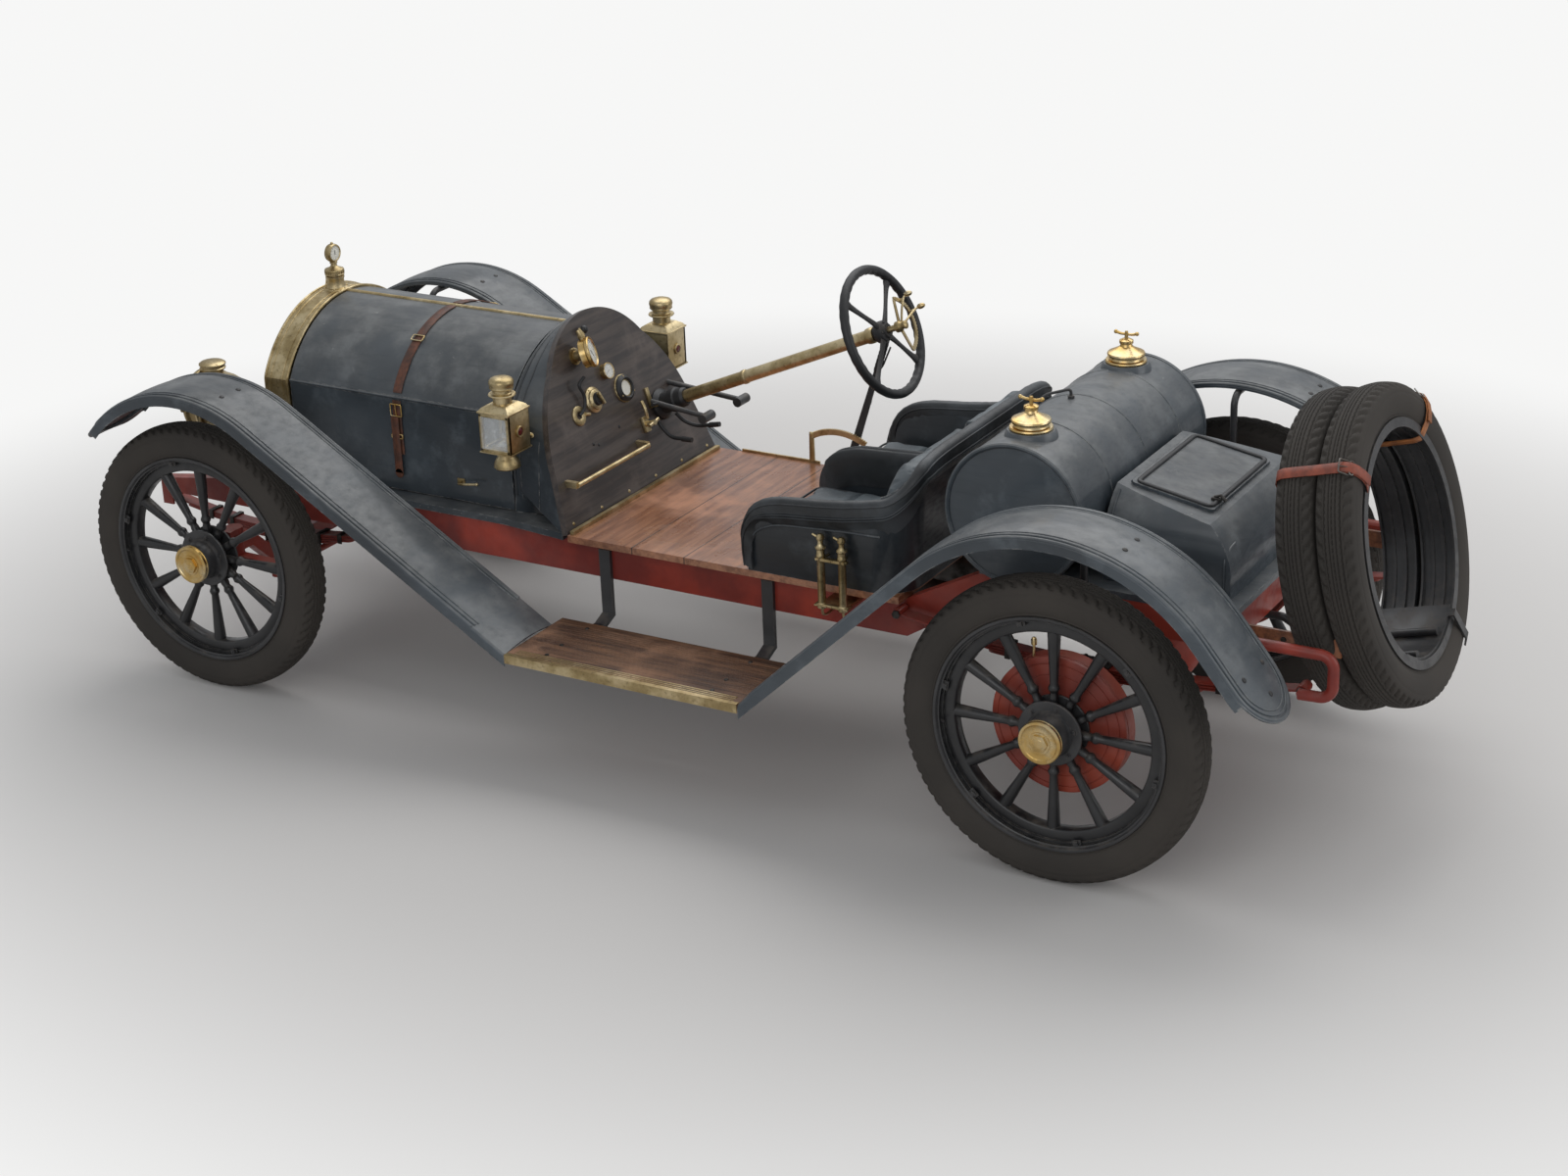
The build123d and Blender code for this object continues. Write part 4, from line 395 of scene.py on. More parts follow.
def boards(name, colour, dark, shine=0.3, along=0, seams=(), plank=0.0):
    """Varnished boards with grain along one axis, seams, scuffs and a worn gloss."""
    paint = Paint(name, Coat_Weight=0.4, Coat_Roughness=0.16)
    stretch = [9.0, 9.0, 9.0]
    stretch[along] = 0.7
    grain = paint.noise(5.0, 6.0, 0.65, stretch=tuple(stretch))
    streak = paint.noise(17.0, 4.0, 0.6, stretch=tuple(stretch))
    wear = paint.noise(4.0, 6.0, 0.62)
    base = paint.mix(grain.step(0.36, 0.66), dark, colour)
    base = paint.mix(streak.step(0.6, 0.78) * 0.4, base, tuple(0.6 * part for part in dark))
    pale = tuple(min(1.0, 1.5 * part + 0.03) for part in colour)
    base = paint.mix(wear.step(0.5, 0.68) * 0.7, base, pale)
    base = paint.mix(paint.noise(2.3, 4.0).step(0.56, 0.72) * 0.45, base,
        tuple(0.5 * part for part in dark))
    across = paint.axes()[1 - along]
    line = across * 0.0
    for seam in seams:
        line = line.most(across.band(seam, 0.0012, 0.0012))
    if plank:
        line = line.most(across.repeat(plank).step(0.0022, 0.001))
    base = paint.mix(line, base, tuple(0.15 * part for part in dark))
    paint.set(Base_Color=base, Roughness=shine + 0.3 * wear.step(0.42, 0.7) + 0.08 * grain)
    paint.bump(grain * 0.4 + streak * 0.3 - line * 3.0, 0.25, 0.0008)
    return paint.material


def glass(name, tint, rough=0.03):
    """Thin clear glass with a trace of dust."""
    paint = Paint(name, IOR=1.45, Coat_Weight=0.0)
    dust = paint.noise(40.0, 4.0, 0.6)
    paint.set(Base_Color=tint, Roughness=rough + 0.05 * dust, Alpha=0.16 + 0.2 * dust.step(0.45, 0.75))
    paint.set(Specular_IOR_Level=0.8)
    return paint.material


def plain(name, colour, rough=0.5, metallic=0.0, mottle=0.25):
    """A small part's finish: one tone with faint mottling."""
    paint = Paint(name)
    cloud = paint.noise(60.0, 3.0)
    base = paint.mix(cloud.step(0.35, 0.7) * mottle, colour, tuple(0.45 * part for part in colour))
    paint.set(Base_Color=base, Roughness=rough + 0.1 * cloud, Metallic=metallic)
    paint.bump(cloud, 0.1, 0.0004)
    return paint.material


# Modelling helpers
def at(origin, normal=(0, 0, 1), across=(1, 0, 0)):
    """A frame at a point: its Z along a normal, its X as near as can be to a second direction."""
    z = Vector(normal).normalized()
    x = Vector(across) - z * z.dot(Vector(across))
    if x.length < 1e-6:
        x = Vector((0, 0, 1))
    x.normalize()
    y = z.cross(x)
    turn = Matrix((x, y, z)).transposed().to_4x4()
    return Matrix.Translation(Vector(origin)) @ turn


def put(frame, points):
    """Points given in a frame's own axes, moved to the car's."""
    return [frame @ Vector(point) for point in points]


class Form:
    """A piece being modelled from shapes that are each drawn in a frame of their own."""

    def __init__(self):
        self.bm = bmesh.new()
        self.solids = bmesh.new()

    def skin(self, rows, loop_rows=False, loop_row=True, caps=False):
        """Quads between rows of points; a one-point row is a pole."""
        rings = [[self.bm.verts.new(point) for point in row] for row in rows]
        pairs = list(zip(rings, rings[1:]))
        if loop_rows:
            pairs.append((rings[-1], rings[0]))
        for first, second in pairs:
            count = max(len(first), len(second))
            for i in range(count if loop_row else count - 1):
                j = (i + 1) % count
                corners = [first[i % len(first)], first[j % len(first)], second[j % len(second)],
                    second[i % len(second)]]
                corners = list(dict.fromkeys(corners))
                if len(corners) > 2:
                    self.bm.faces.new(corners)
        if caps:
            for ring in (rings[0], rings[-1]):
                if len(ring) > 2:
                    self.bm.faces.new(ring)
        return self

    def lathe(self, profile, frame=None, steps=48, closed=True):
        """A profile of (radius, height) turned about a frame's Z."""
        frame = frame or Matrix()
        rows = []
        for radius, height in profile:
            count = steps if radius > 1e-6 else 1
            turns = [tau * i / steps for i in range(count)]
            rows.append([frame @ Vector((radius * cos(a), radius * sin(a), height)) for a in turns])
        return self.skin(rows, loop_rows=closed and profile[0][0] > 1e-6)

    def tube(self, points, radius, sides=14, loop=False, flat=None):
        """A round or oval bar along points; radius may be one number or one for each point."""
        points = [Vector(point) for point in points]
        count = len(points)
        radii = radius if isinstance(radius, (list, tuple)) else [radius] * count
        rows = []
        up = Vector(flat[0]) if flat else None
        for i, point in enumerate(points):
            before = points[i - 1] if i or loop else point
            after = points[(i + 1) % count] if i < count - 1 or loop else point
            along = (after - before).normalized()
            if up is None:
                up = Vector((0, 0, 1)) if abs(along.z) < 0.9 else Vector((1, 0, 0))
            side = along.cross(up).normalized()
            up = side.cross(along).normalized()
            squash = flat[1] if flat else 1.0
            turns = [tau * k / sides for k in range(sides)]
            rows.append([point + radii[i] * (side * cos(a) + up * squash * sin(a)) for a in turns])
            if flat:
                up = Vector(flat[0])
        return self.skin(rows, loop_rows=loop, caps=not loop)

    def ribbon(self, points, normals, width, thickness, loop=False):
        """A flat strap along points, its face towards each normal, its edges rounded."""
        points = [Vector(point) for point in points]
        count = len(points)
        rows = []
        for i, point in enumerate(points):
            before = points[i - 1] if i or loop else point
            after = points[(i + 1) % count] if i < count - 1 or loop else point
            along = (after - before).normalized()
            face = Vector(normals[i])
            face = (face - along * along.dot(face)).normalized()
            side = along.cross(face)
            half, rim = width / 2, thickness / 2
            section = [(-half, 0.3 * rim), (-half + rim * 0.6, rim), (half - rim * 0.6, rim),
                (half, 0.3 * rim), (half, -0.3 * rim), (half - rim * 0.6, -rim),
                (-half + rim * 0.6, -rim), (-half, -0.3 * rim)]
            rows.append([point + side * a + face * (b + rim) for a, b in section])
        return self.skin(rows, loop_rows=loop, caps=not loop)

    def plate(self, outline, depth, frame=None, bevel=0.0, steps=2):
        """A flat outline of (x, y) points, given depth along its frame's Z, with eased edges."""
        frame = frame or Matrix()
        own = bmesh.new()
        low = [own.verts.new(Vector((x, y, 0))) for x, y in outline]
        high = [own.verts.new(Vector((x, y, depth))) for x, y in outline]
        own.faces.new(low)
        own.faces.new(high)
        for i in range(len(low)):
            j = (i + 1) % len(low)
            own.faces.new((low[i], low[j], high[j], high[i]))
        return self.join(own, frame, bevel, steps)

    def block(self, size, frame=None, bevel=0.002, steps=2):
        """A box of three sizes about its frame's origin, with eased edges."""
        x, y, z = (part / 2 for part in size)
        frame = (frame or Matrix()) @ shift(0, 0, -z)
        return self.plate([(-x, -y), (x, -y), (x, y), (-x, y)], 2 * z, frame, bevel, steps)

    def join(self, own, frame, bevel=0.0, steps=2):
        """Ease a small shape's sharp edges and take it in."""
        if bevel:
            bmesh.ops.recalc_face_normals(own, faces=own.faces)
            sharp = [edge for edge in own.edges if edge.is_manifold and edge.calc_face_angle() > 0.5]
            bmesh.ops.bevel(own, geom=sharp, offset=bevel, segments=steps, profile=0.6, affect="EDGES")
        own.transform(frame)
        bmesh.ops.recalc_face_normals(own, faces=own.faces)
        mesh = bpy.data.meshes.new("part")
        own.to_mesh(mesh)
        own.free()
        self.solids.from_mesh(mesh)
        bpy.data.meshes.remove(mesh)
        return self

    def ball(self, radius, frame=None, steps=16, squash=1.0):
        """A round knob, flattened along Z by squash."""
        half = steps // 2
        turns = [pi * i / half for i in range(half + 1)]
        profile = [(radius * sin(a), -radius * squash * cos(a)) for a in turns]
        profile[0] = (0.0, -radius * squash)
        profile[-1] = (0.0, radius * squash)
        return self.lathe(profile, frame, steps, closed=False)

    def take(self, mesh, frame=None):
        """Take in a finished mesh, moved by a frame."""
        if frame:
            mesh.transform(frame)
        self.bm.from_mesh(mesh)
        bpy.data.meshes.remove(mesh)
        return self

    def mesh(self, name):
        """The form so far as a mesh, its faces merged and turned outward."""
        bmesh.ops.remove_doubles(self.bm, verts=self.bm.verts, dist=1e-6)
        bmesh.ops.recalc_face_normals(self.bm, faces=self.bm.faces)
        solids = bpy.data.meshes.new("part")
        self.solids.to_mesh(solids)
        self.bm.from_mesh(solids)
        bpy.data.meshes.remove(solids)
        mesh = bpy.data.meshes.new(name)
        self.bm.to_mesh(mesh)
        self.bm.free()
        self.solids.free()
        return mesh

    def finish(self, name, material, body, slot, sharp=38, replaces=()):
        """Make the object and let it ride on its body."""
        return place_piece(name, self.mesh(name), material, body, sharp, replaces)


def place_piece(name, mesh, material, body, sharp=38, replaces=()):
    """Put a mesh in the scene with its finish, riding on a body."""
    piece = bpy.data.objects.new(name, mesh)
    bpy.context.scene.collection.objects.link(piece)
    if sharp is not None:
        mesh.shade_smooth()
        mesh.set_sharp_from_angle(angle=radians(sharp))
    mesh.materials.clear()
    mesh.materials.append(material)
    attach(piece, body)
    if replaces:
        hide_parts(*replaces)
    return piece


def dress(material, *nodes):
    """Give CAD nodes their finish."""
    for node in nodes:
        item = frame["nodes"][node]
        item.data.materials.clear()
        item.data.materials.append(material)


# Finding places on the CAD surfaces
SURFACES = {}


def surface(node):
    """A search tree of a CAD node's faces."""
    if node not in SURFACES:
        mesh = frame["nodes"][node].data
        faces = [tuple(face.vertices) for face in mesh.polygons]
        SURFACES[node] = BVHTree.FromPolygons([tuple(vertex.co) for vertex in mesh.vertices], faces)
    return SURFACES[node]


def met(node, origin, direction, lift=0.0):
    """Where a ray meets a CAD node, lifted off it, with the normal facing the ray; None for a miss."""
    direction = Vector(direction).normalized()
    point, normal, _, _ = surface(node).ray_cast(Vector(origin), direction)
    if point is None:
        return None
    if normal.dot(direction) > 0:
        normal = -normal
    return point + normal * lift, normal


def draped(node, rays, lift=0.0):
    """The points and normals where rays meet a node, without the misses."""
    return [found for found in (met(node, origin, direction, lift) for origin, direction in rays) if found]


def smoothed(points, rounds=1):
    """Points along a line with their small steps evened out."""
    points = [Vector(point) for point in points]
    for _ in range(rounds):
        inner = [(a + b * 2 + c) / 4 for a, b, c in zip(points, points[1:], points[2:])]
        points = [points[0], *inner, points[-1]]
    return points


def rounded(corners, radius, steps=5):
    """A line through corners, each rounded by an arc of about the given radius."""
    corners = [Vector(corner) for corner in corners]
    line = [corners[0]]
    for before, corner, after in zip(corners, corners[1:], corners[2:]):
        back, on = before - corner, after - corner
        cut = min(radius, back.length * 0.45, on.length * 0.45)
        first, last = corner + back.normalized() * cut, corner + on.normalized() * cut
        for i in range(steps + 1):
            t = i / steps
            line.append(first * (1 - t) ** 2 + corner * 2 * t * (1 - t) + last * t**2)
    line.append(corners[-1])
    return line


# Geometry Nodes
class Tree:
    """A Geometry Nodes tree being built, with named inputs; its values are Fields too."""

    def __init__(self, name, **inputs):
        self.tree = bpy.data.node_groups.new(name, "GeometryNodeTree")
        interface = self.tree.interface
        interface.new_socket("Geometry", in_out="INPUT", socket_type="NodeSocketGeometry")
        interface.new_socket("Geometry", in_out="OUTPUT", socket_type="NodeSocketGeometry")
        kinds = {float: "NodeSocketFloat", int: "NodeSocketInt", tuple: "NodeSocketVector"}
        interface.new_socket("Finish", in_out="INPUT", socket_type="NodeSocketMaterial")
        for key, value in inputs.items():
            socket = interface.new_socket(key.replace("_", " "), in_out="INPUT",
                socket_type=kinds[type(value)])
            socket.default_value = value
        self.source = self.tree.nodes.new("NodeGroupInput")

    def input(self, name):
        """One of the tree's named inputs."""
        return Field(self, self.source.outputs[name.replace("_", " ")])

    def node(self, kind, settings=None, sockets=None, output=0):
        """Add a node: its settings first, then the values or links of its sockets."""
        added = self.tree.nodes.new(kind)
        for key, value in (settings or {}).items():
            setattr(added, key, value)
        for key, value in (sockets or {}).items():
            if isinstance(value, Field):
                self.tree.links.new(value.socket, added.inputs[key])
            else:
                added.inputs[key].default_value = value
        return Field(self, added.outputs[output])

    def math(self, operation, *values):
        """A Math node on numbers or fields."""
        return self.node("ShaderNodeMath", {"operation": operation}, dict(enumerate(values)))

    def vector(self, x=0.0, y=0.0, z=0.0):
        """A vector from three parts."""
        return self.node("ShaderNodeCombineXYZ", None, {0: x, 1: y, 2: z})

    def axes(self, vector):
        """The three parts of a vector."""
        split = self.tree.nodes.new("ShaderNodeSeparateXYZ")
        self.tree.links.new(vector.socket, split.inputs[0])
        return [Field(self, socket) for socket in split.outputs]

    def close(self, geometry):
        """Realize the instances, set the finish and end the tree."""
        real = self.node("GeometryNodeRealizeInstances", None, {0: geometry})
        painted = self.node("GeometryNodeSetMaterial", None, {0: real, 2: self.input("Finish")})
        output = self.tree.nodes.new("NodeGroupOutput")
        self.tree.links.new(painted.socket, output.inputs[0])
        return self

    def grow(self, material, form, **values):
        """Run the tree on a form's mesh and return the plain mesh."""
        host = form.mesh("seed")
        carrier = bpy.data.objects.new("seed", host)
        bpy.context.scene.collection.objects.link(carrier)
        modifier = carrier.modifiers.new("grow", "NODES")
        given = {key.replace("_", " "): value for key, value in values.items()}
        given["Finish"] = material
        modifier.node_group = self.tree
        for item in self.tree.interface.items_tree:
            if item.in_out == "INPUT" and item.name in given:
                modifier[item.identifier] = given[item.name]
        bpy.context.view_layer.update()
        graph = bpy.context.evaluated_depsgraph_get()
        result = bpy.data.meshes.new_from_object(carrier.evaluated_get(graph), depsgraph=graph)
        carrier.modifiers.remove(modifier)
        bpy.data.objects.remove(carrier)
        bpy.data.meshes.remove(host)
        return result


def ring_tree():
    """Copies of a shape in a ring about Z, each turned to face outward along its X."""
    tree = Tree("Ring of copies", Count=6, Radius=0.1, Turn=0.0)
    index = tree.node("GeometryNodeInputIndex")
    angle = tree.input("Turn") + index * tree.math("DIVIDE", tau, tree.input("Count"))
    radius = tree.input("Radius")
    spot = tree.vector(tree.math("COSINE", angle) * radius, tree.math("SINE", angle) * radius)
    spots = tree.node("GeometryNodePoints", None, {"Count": tree.input("Count"), "Position": spot})
    turned = tree.vector(z=angle)
    sockets = {"Points": spots, "Instance": tree.input("Geometry"), "Rotation": turned}
    return tree.close(tree.node("GeometryNodeInstanceOnPoints", None, sockets))


def row_tree():
    """Copies of a shape in a straight row, each set on from the last by one pitch."""
    tree = Tree("Row of copies", Count=6, Pitch=(0.1, 0.0, 0.0))
    index = tree.node("GeometryNodeInputIndex")
    spot = tree.node("ShaderNodeVectorMath", {"operation": "SCALE"},
        {0: tree.input("Pitch"), "Scale": index})
    spots = tree.node("GeometryNodePoints", None, {"Count": tree.input("Count"), "Position": spot})
    sockets = {"Points": spots, "Instance": tree.input("Geometry")}
    return tree.close(tree.node("GeometryNodeInstanceOnPoints", None, sockets))


TREES = {}


def repeated(kind, material, form, **values):
    """A form repeated by one of the two trees, as a plain mesh."""
    if kind not in TREES:
        TREES[kind] = {"ring": ring_tree, "row": row_tree}[kind]()
    return TREES[kind].grow(material, form, **values)


# Settings
def tone(name, description, default):
    """A colour setting."""
    return bpy.props.FloatVectorProperty(name=name, description=description, default=default, size=3,
        min=0.0, max=1.0, subtype="COLOR")


def count(name, description, default):
    """A number of like pieces."""
    return bpy.props.IntProperty(name=name, description=description, default=default, min=1)


class RoadsterColours(bpy.types.PropertyGroup):
    """Colours of the car's finishes."""

    slate: tone("Slate", "Body enamel", (0.066, 0.082, 0.097))
    # Its deepened tone is also the painted shade on the body's downward faces.
    slate_dark: tone("Deep slate", "Body enamel in its darker clouds", (0.03, 0.038, 0.046))
    slate_pale: tone("Faded slate", "Body enamel where it has faded", (0.135, 0.16, 0.18))
    # Mixed onto the body's upward faces as road dust and a painted top light.
    dust: tone("Dust", "Road dust on surfaces that face up", (0.24, 0.235, 0.22))
    bare: tone("Worn edge", "Tone of edges where the enamel has gone", (0.27, 0.27, 0.26))
    # How strongly dust and the painted top light cover the body's upward faces.
    dust_and_top_light_amount: bpy.props.FloatProperty(name="Dustiness", description="How much dust lies on the body",
        default=0.45, min=0.0, max=1.0, subtype="FACTOR")
    red: tone("Red", "Frame, springs and axles", (0.4, 0.045, 0.022))
    red_dark: tone("Deep red", "Frame in its darker clouds", (0.17, 0.018, 0.012))
    black: tone("Black", "Wheels, irons and pedals", (0.02, 0.02, 0.021))
    black_grey: tone("Grey black", "Black enamel in its duller clouds", (0.045, 0.045, 0.047))
    brass: tone("Brass", "Lamps, radiator and fittings", (0.44, 0.335, 0.165))
    brass_pale: tone("Bright brass", "Brass where it is rubbed", (0.68, 0.56, 0.34))
    brass_dark: tone("Tarnish", "Brass where it is brown", (0.13, 0.092, 0.05))
    tyre: tone("Tyre", "Tyre rubber", (0.022, 0.021, 0.02))
    tyre_dust: tone("Tyre dust", "Dust on the tyre walls", (0.115, 0.098, 0.082))
    leather: tone("Leather", "Seat leather", (0.016, 0.018, 0.02))
    leather_worn: tone("Worn leather", "Seat leather on its high spots", (0.06, 0.068, 0.075))
    strap: tone("Strap", "Hood strap leather", (0.15, 0.05, 0.024))
    strap_dark: tone("Old strap", "Strap leather in its stains", (0.055, 0.022, 0.013))
    floor: tone("Floor boards", "Varnished floor boards", (0.37, 0.165, 0.085))
    floor_dark: tone("Floor grain", "Grain of the floor boards", (0.19, 0.075, 0.038))
    board: tone("Dash board", "Painted dash board", (0.075, 0.057, 0.048))
    board_dark: tone("Dash grain", "Grain of the dash board", (0.03, 0.023, 0.021))


class RoadsterStage(bpy.types.PropertyGroup):
    """Camera, light and floor."""

    place: bpy.props.FloatVectorProperty(name="Camera place", description="Where the camera stands",
        default=(REAR - 2.87234, 6.9391, 3.7479), unit="LENGTH")
    heading: bpy.props.FloatProperty(name="Heading", description="Direction of sight about the vertical",
        default=-1.03186, unit="ROTATION")
    dip: bpy.props.FloatProperty(name="Dip", description="Angle of sight below the horizon",
        default=0.39409, unit="ROTATION")
    roll: bpy.props.FloatProperty(name="Roll", description="Turn of the frame about the line of sight",
        default=-0.0382, unit="ROTATION")
    lens: bpy.props.FloatProperty(name="Lens", description="Focal length on a 36 mm wide sensor",
        default=62.746, min=10.0, unit="CAMERA")
    overhead: bpy.props.FloatProperty(name="Overhead lamp",
        description="Power of the wide lamp above the car", default=190.0, min=0.0, unit="POWER")
    fill: bpy.props.FloatProperty(name="Fill lamp",
        description="Power of the soft lamp on the camera's side", default=70.0, min=0.0, unit="POWER")
    sky: bpy.props.FloatProperty(name="Room light", description="Strength of the light from all round",
        default=0.5, min=0.0)
    ground: tone("Floor", "Tone of the studio floor", (0.62, 0.6, 0.58))


FINISH = {}


class ROADSTER_OT_finishes(bpy.types.Operator):
    """Mix the finishes and give every CAD node its own."""

    bl_idname = "roadster.finishes"
    bl_label = "Finishes"

    def execute(self, context):
        c = context.scene.roadster_colours
        FINISH.update(
            slate=slate_paint("Slate enamel", c),
            slate_deep=slate_paint("Deep slate enamel", c, 0.3, 0.55, 0.5),
            red=enamel("Red enamel", c.red, c.red_dark, 0.4, wear=0.7),
            black=enamel("Black enamel", c.black, c.black_grey, 0.36, (0.14, 0.12, 0.1), wear=0.6),
            spoke=enamel("Wheel enamel", (0.028, 0.028, 0.029),
                (0.012, 0.012, 0.013), 0.3, (0.16, 0.15, 0.135), wear=0.8),
            drum=enamel("Drum enamel", (0.36, 0.062, 0.032),
                (0.2, 0.03, 0.018), 0.45, (0.1, 0.03, 0.02), (0.3, 0.13, 0.09)),
            iron=enamel("Black iron", c.black_grey, c.black, 0.55, (0.1, 0.06, 0.04)),
            brass=brass("Old brass", c),
            bright_brass=brass("Rubbed brass", c, 0.22, 0.25, (0.66, 0.43, 0.14)),
            steel=metal("Steel", (0.34, 0.33, 0.31), (0.14, 0.125, 0.11)),
            dark_steel=metal("Dark steel", (0.11, 0.105, 0.1), (0.04, 0.036, 0.032), 0.5),
            aluminium=metal("Aluminium", (0.5, 0.5, 0.49), (0.25, 0.25, 0.245), 0.38),
            cast=cast("Cast iron", (0.09, 0.085, 0.08), (0.03, 0.028, 0.027)),
            tyre=rubber("Tyre rubber", c.tyre, c.tyre_dust),
            leather=leather("Seat leather", c.leather, c.leather_worn),
            cushion=leather("Cushion leather", (0.062, 0.075, 0.084), (0.14, 0.165, 0.18)),
            wood=boards("Rear beam wood", (0.3, 0.11, 0.045), (0.13, 0.045, 0.02), 0.5, along=1),
            mirror=metal("Silvered bowl", (0.75, 0.74, 0.7), (0.5, 0.48, 0.44), 0.14),
            strap=strap_leather("Strap leather", c.strap, c.strap_dark),
            strap_red=strap_leather("Red strap", (0.33, 0.075, 0.038), (0.17, 0.04, 0.022)),
            strap_tan=strap_leather("Tan strap", (0.46, 0.16, 0.04), (0.24, 0.08, 0.022)),
            floor=boards("Floor boards", c.floor, c.floor_dark, 0.22, 1, (REAR + 1.36, REAR + 1.55)),
            board=boards("Dash board", c.board, c.board_dark, 0.4, along=1),
            deck=boards("Running board wood", (0.2, 0.1, 0.05), (0.07, 0.035, 0.02), 0.45),
            core=metal("Radiator core", (0.12, 0.1, 0.08), (0.03, 0.027, 0.025), 0.5),
            glass=glass("Lamp glass", (0.9, 0.93, 0.93)),
            jewel=plain("Red jewel", (0.09, 0.006, 0.005), 0.12, mottle=0.0),
            dial=plain("Dial face", (0.8, 0.78, 0.7), 0.4, mottle=0.1),
            ink=plain("Dial ink", (0.02, 0.02, 0.02), 0.5),
            rubber_black=plain("Grip", (0.018, 0.018, 0.019), 0.42),
            cord=plain("Stitching", (0.12, 0.11, 0.1), 0.75))
        dress(FINISH["slate"], "hood_left", "hood_right", "hood_side_left", "hood_side_right", "cowl",
            "fuel_tank", "tool_box", "tool_box_lid", "front_fenders", "rear_fenders", "deck")
        dress(FINISH["slate_deep"], "seat_body")
        dress(FINISH["red"], "chassis_frame", "leaf_springs", "front_axle", "knuckle_left",
            "knuckle_right", "tie_rod", "rear_axle", "brake_drum_rear_left", "brake_drum_rear_right")
        dress(FINISH["black"], "fender_irons", "pedals", "spare_rims", "spare_carrier",
            *(f"wheel_{name}" for name, _, _ in WHEELS), "steering_wheel")
        dress(FINISH["brass"], "radiator_shell", "hood_hinge", "side_lamps", "headlamps", "filler_caps",
            "floor_trim", "oil_pumps", "steering_column", "instruments", "lever_sector",
            *(f"hub_cap_{name}" for name, _, _ in WHEELS))
        dress(FINISH["cast"], "engine", "driveline")
        dress(FINISH["dark_steel"], "exhaust", "hand_lever")
        dress(FINISH["core"], "radiator_core")
        dress(FINISH["tyre"], "spare_tyres", *(f"tyre_{name}" for name, _, _ in WHEELS))
        dress(FINISH["leather"], "seat_cushions", "seat_backs")
        dress(FINISH["floor"], "floor_boards")
        dress(FINISH["board"], "dashboard")
        dress(FINISH["deck"], "running_boards")
        dress(FINISH["glass"], "lamp_glass")
        return {"FINISHED"}


class ROADSTER_OT_stage(bpy.types.Operator):
    """Set the camera, the studio light and the pale floor."""

    bl_idname = "roadster.stage"
    bl_label = "Stage"

    def execute(self, context):
        s = context.scene.roadster_stage
        scene = context.scene
        scene.view_settings.view_transform = "Standard"
        camera_data = bpy.data.cameras.new("Camera")
        camera_data.sensor_width = 36.0
        camera_data.lens = s.lens
        camera_data.clip_end = 200.0
        camera = bpy.data.objects.new("Camera", camera_data)
        scene.collection.objects.link(camera)
        sight = Vector((cos(s.heading) * cos(s.dip), sin(s.heading) * cos(s.dip), -sin(s.dip)))
        level = sight.cross(Vector((0, 0, 1))).normalized()
        rise = level.cross(sight)
        right = level * cos(s.roll) + rise * sin(s.roll)
        up = rise * cos(s.roll) - level * sin(s.roll)
        turned = Matrix((right, up, -sight)).transposed().to_4x4()
        camera.matrix_world = Matrix.Translation(Vector(s.place)) @ turned
        scene.camera = camera

        lamps = (("Overhead lamp", s.overhead, (7.0, 5.0), (0.4, -2.6, 5.2), (0.0, 0.1, 0.5)),
            ("Fill lamp", s.fill, (5.0, 3.5), (-1.5, 6.2, 3.6), (0.0, 0.0, 0.5)),
            ("Tail lamp", s.fill * 0.6, (3.0, 3.0), (-5.6, -1.2, 2.6), (-0.8, 0.0, 0.6)))
        for name, power, size, place, aim in lamps:
            lamp_data = bpy.data.lights.new(name, "AREA")
            lamp_data.shape = "RECTANGLE"
            lamp_data.size, lamp_data.size_y = size
            lamp_data.energy = power
            lamp = bpy.data.objects.new(name, lamp_data)
            scene.collection.objects.link(lamp)
            lamp.matrix_world = at(place, Vector(place) - Vector(aim), (1, 0, 0))

        world = bpy.data.worlds.new("Room")
        world.use_nodes = True
        scene.world = world
        tree = world.node_tree
        tree.nodes.clear()
        lit = tree.nodes.new("ShaderNodeBackground")
        lit.inputs["Color"].default_value = (0.93, 0.96, 1.0, 1.0)
        lit.inputs["Strength"].default_value = s.sky
        seen = tree.nodes.new("ShaderNodeBackground")
        seen.inputs["Color"].default_value = (0.93, 0.93, 0.925, 1.0)
        path = tree.nodes.new("ShaderNodeLightPath")
        blend = tree.nodes.new("ShaderNodeMixShader")
        output = tree.nodes.new("ShaderNodeOutputWorld")
        tree.links.new(path.outputs["Is Camera Ray"], blend.inputs[0])
        tree.links.new(lit.outputs[0], blend.inputs[1])
        tree.links.new(seen.outputs[0], blend.inputs[2])
        tree.links.new(blend.outputs[0], output.inputs[0])

        ground = bpy.data.meshes.new("Floor")
        reach = 60.0
        corners = [(-reach, -reach, 0), (reach, -reach, 0), (reach, reach, 0), (-reach, reach, 0)]
        ground.from_pydata(corners, [], [(0, 1, 2, 3)])
        paint = Paint("Studio floor", Roughness=0.9, Base_Color=s.ground)
        x, y, _ = paint.axes()
        far = (x * x * 0.75 + (y + 0.4) * (y + 0.4)).step(2.2, 16.0)
        seen_far = far * paint.node("ShaderNodeLightPath")
        glow = paint.node("ShaderNodeEmission", None, {"Color": (0.93, 0.93, 0.925, 1.0), "Strength": 1.0})
        sockets = {0: seen_far, 1: Field(paint, paint.shader.outputs[0]), 2: glow}
        mixed = paint.node("ShaderNodeMixShader", None, sockets)
        paint.tree.links.new(mixed.socket, paint.output.inputs[0])
        ground.materials.append(paint.material)
        floor = bpy.data.objects.new("Floor", ground)
        scene.collection.objects.link(floor)
        return {"FINISHED"}


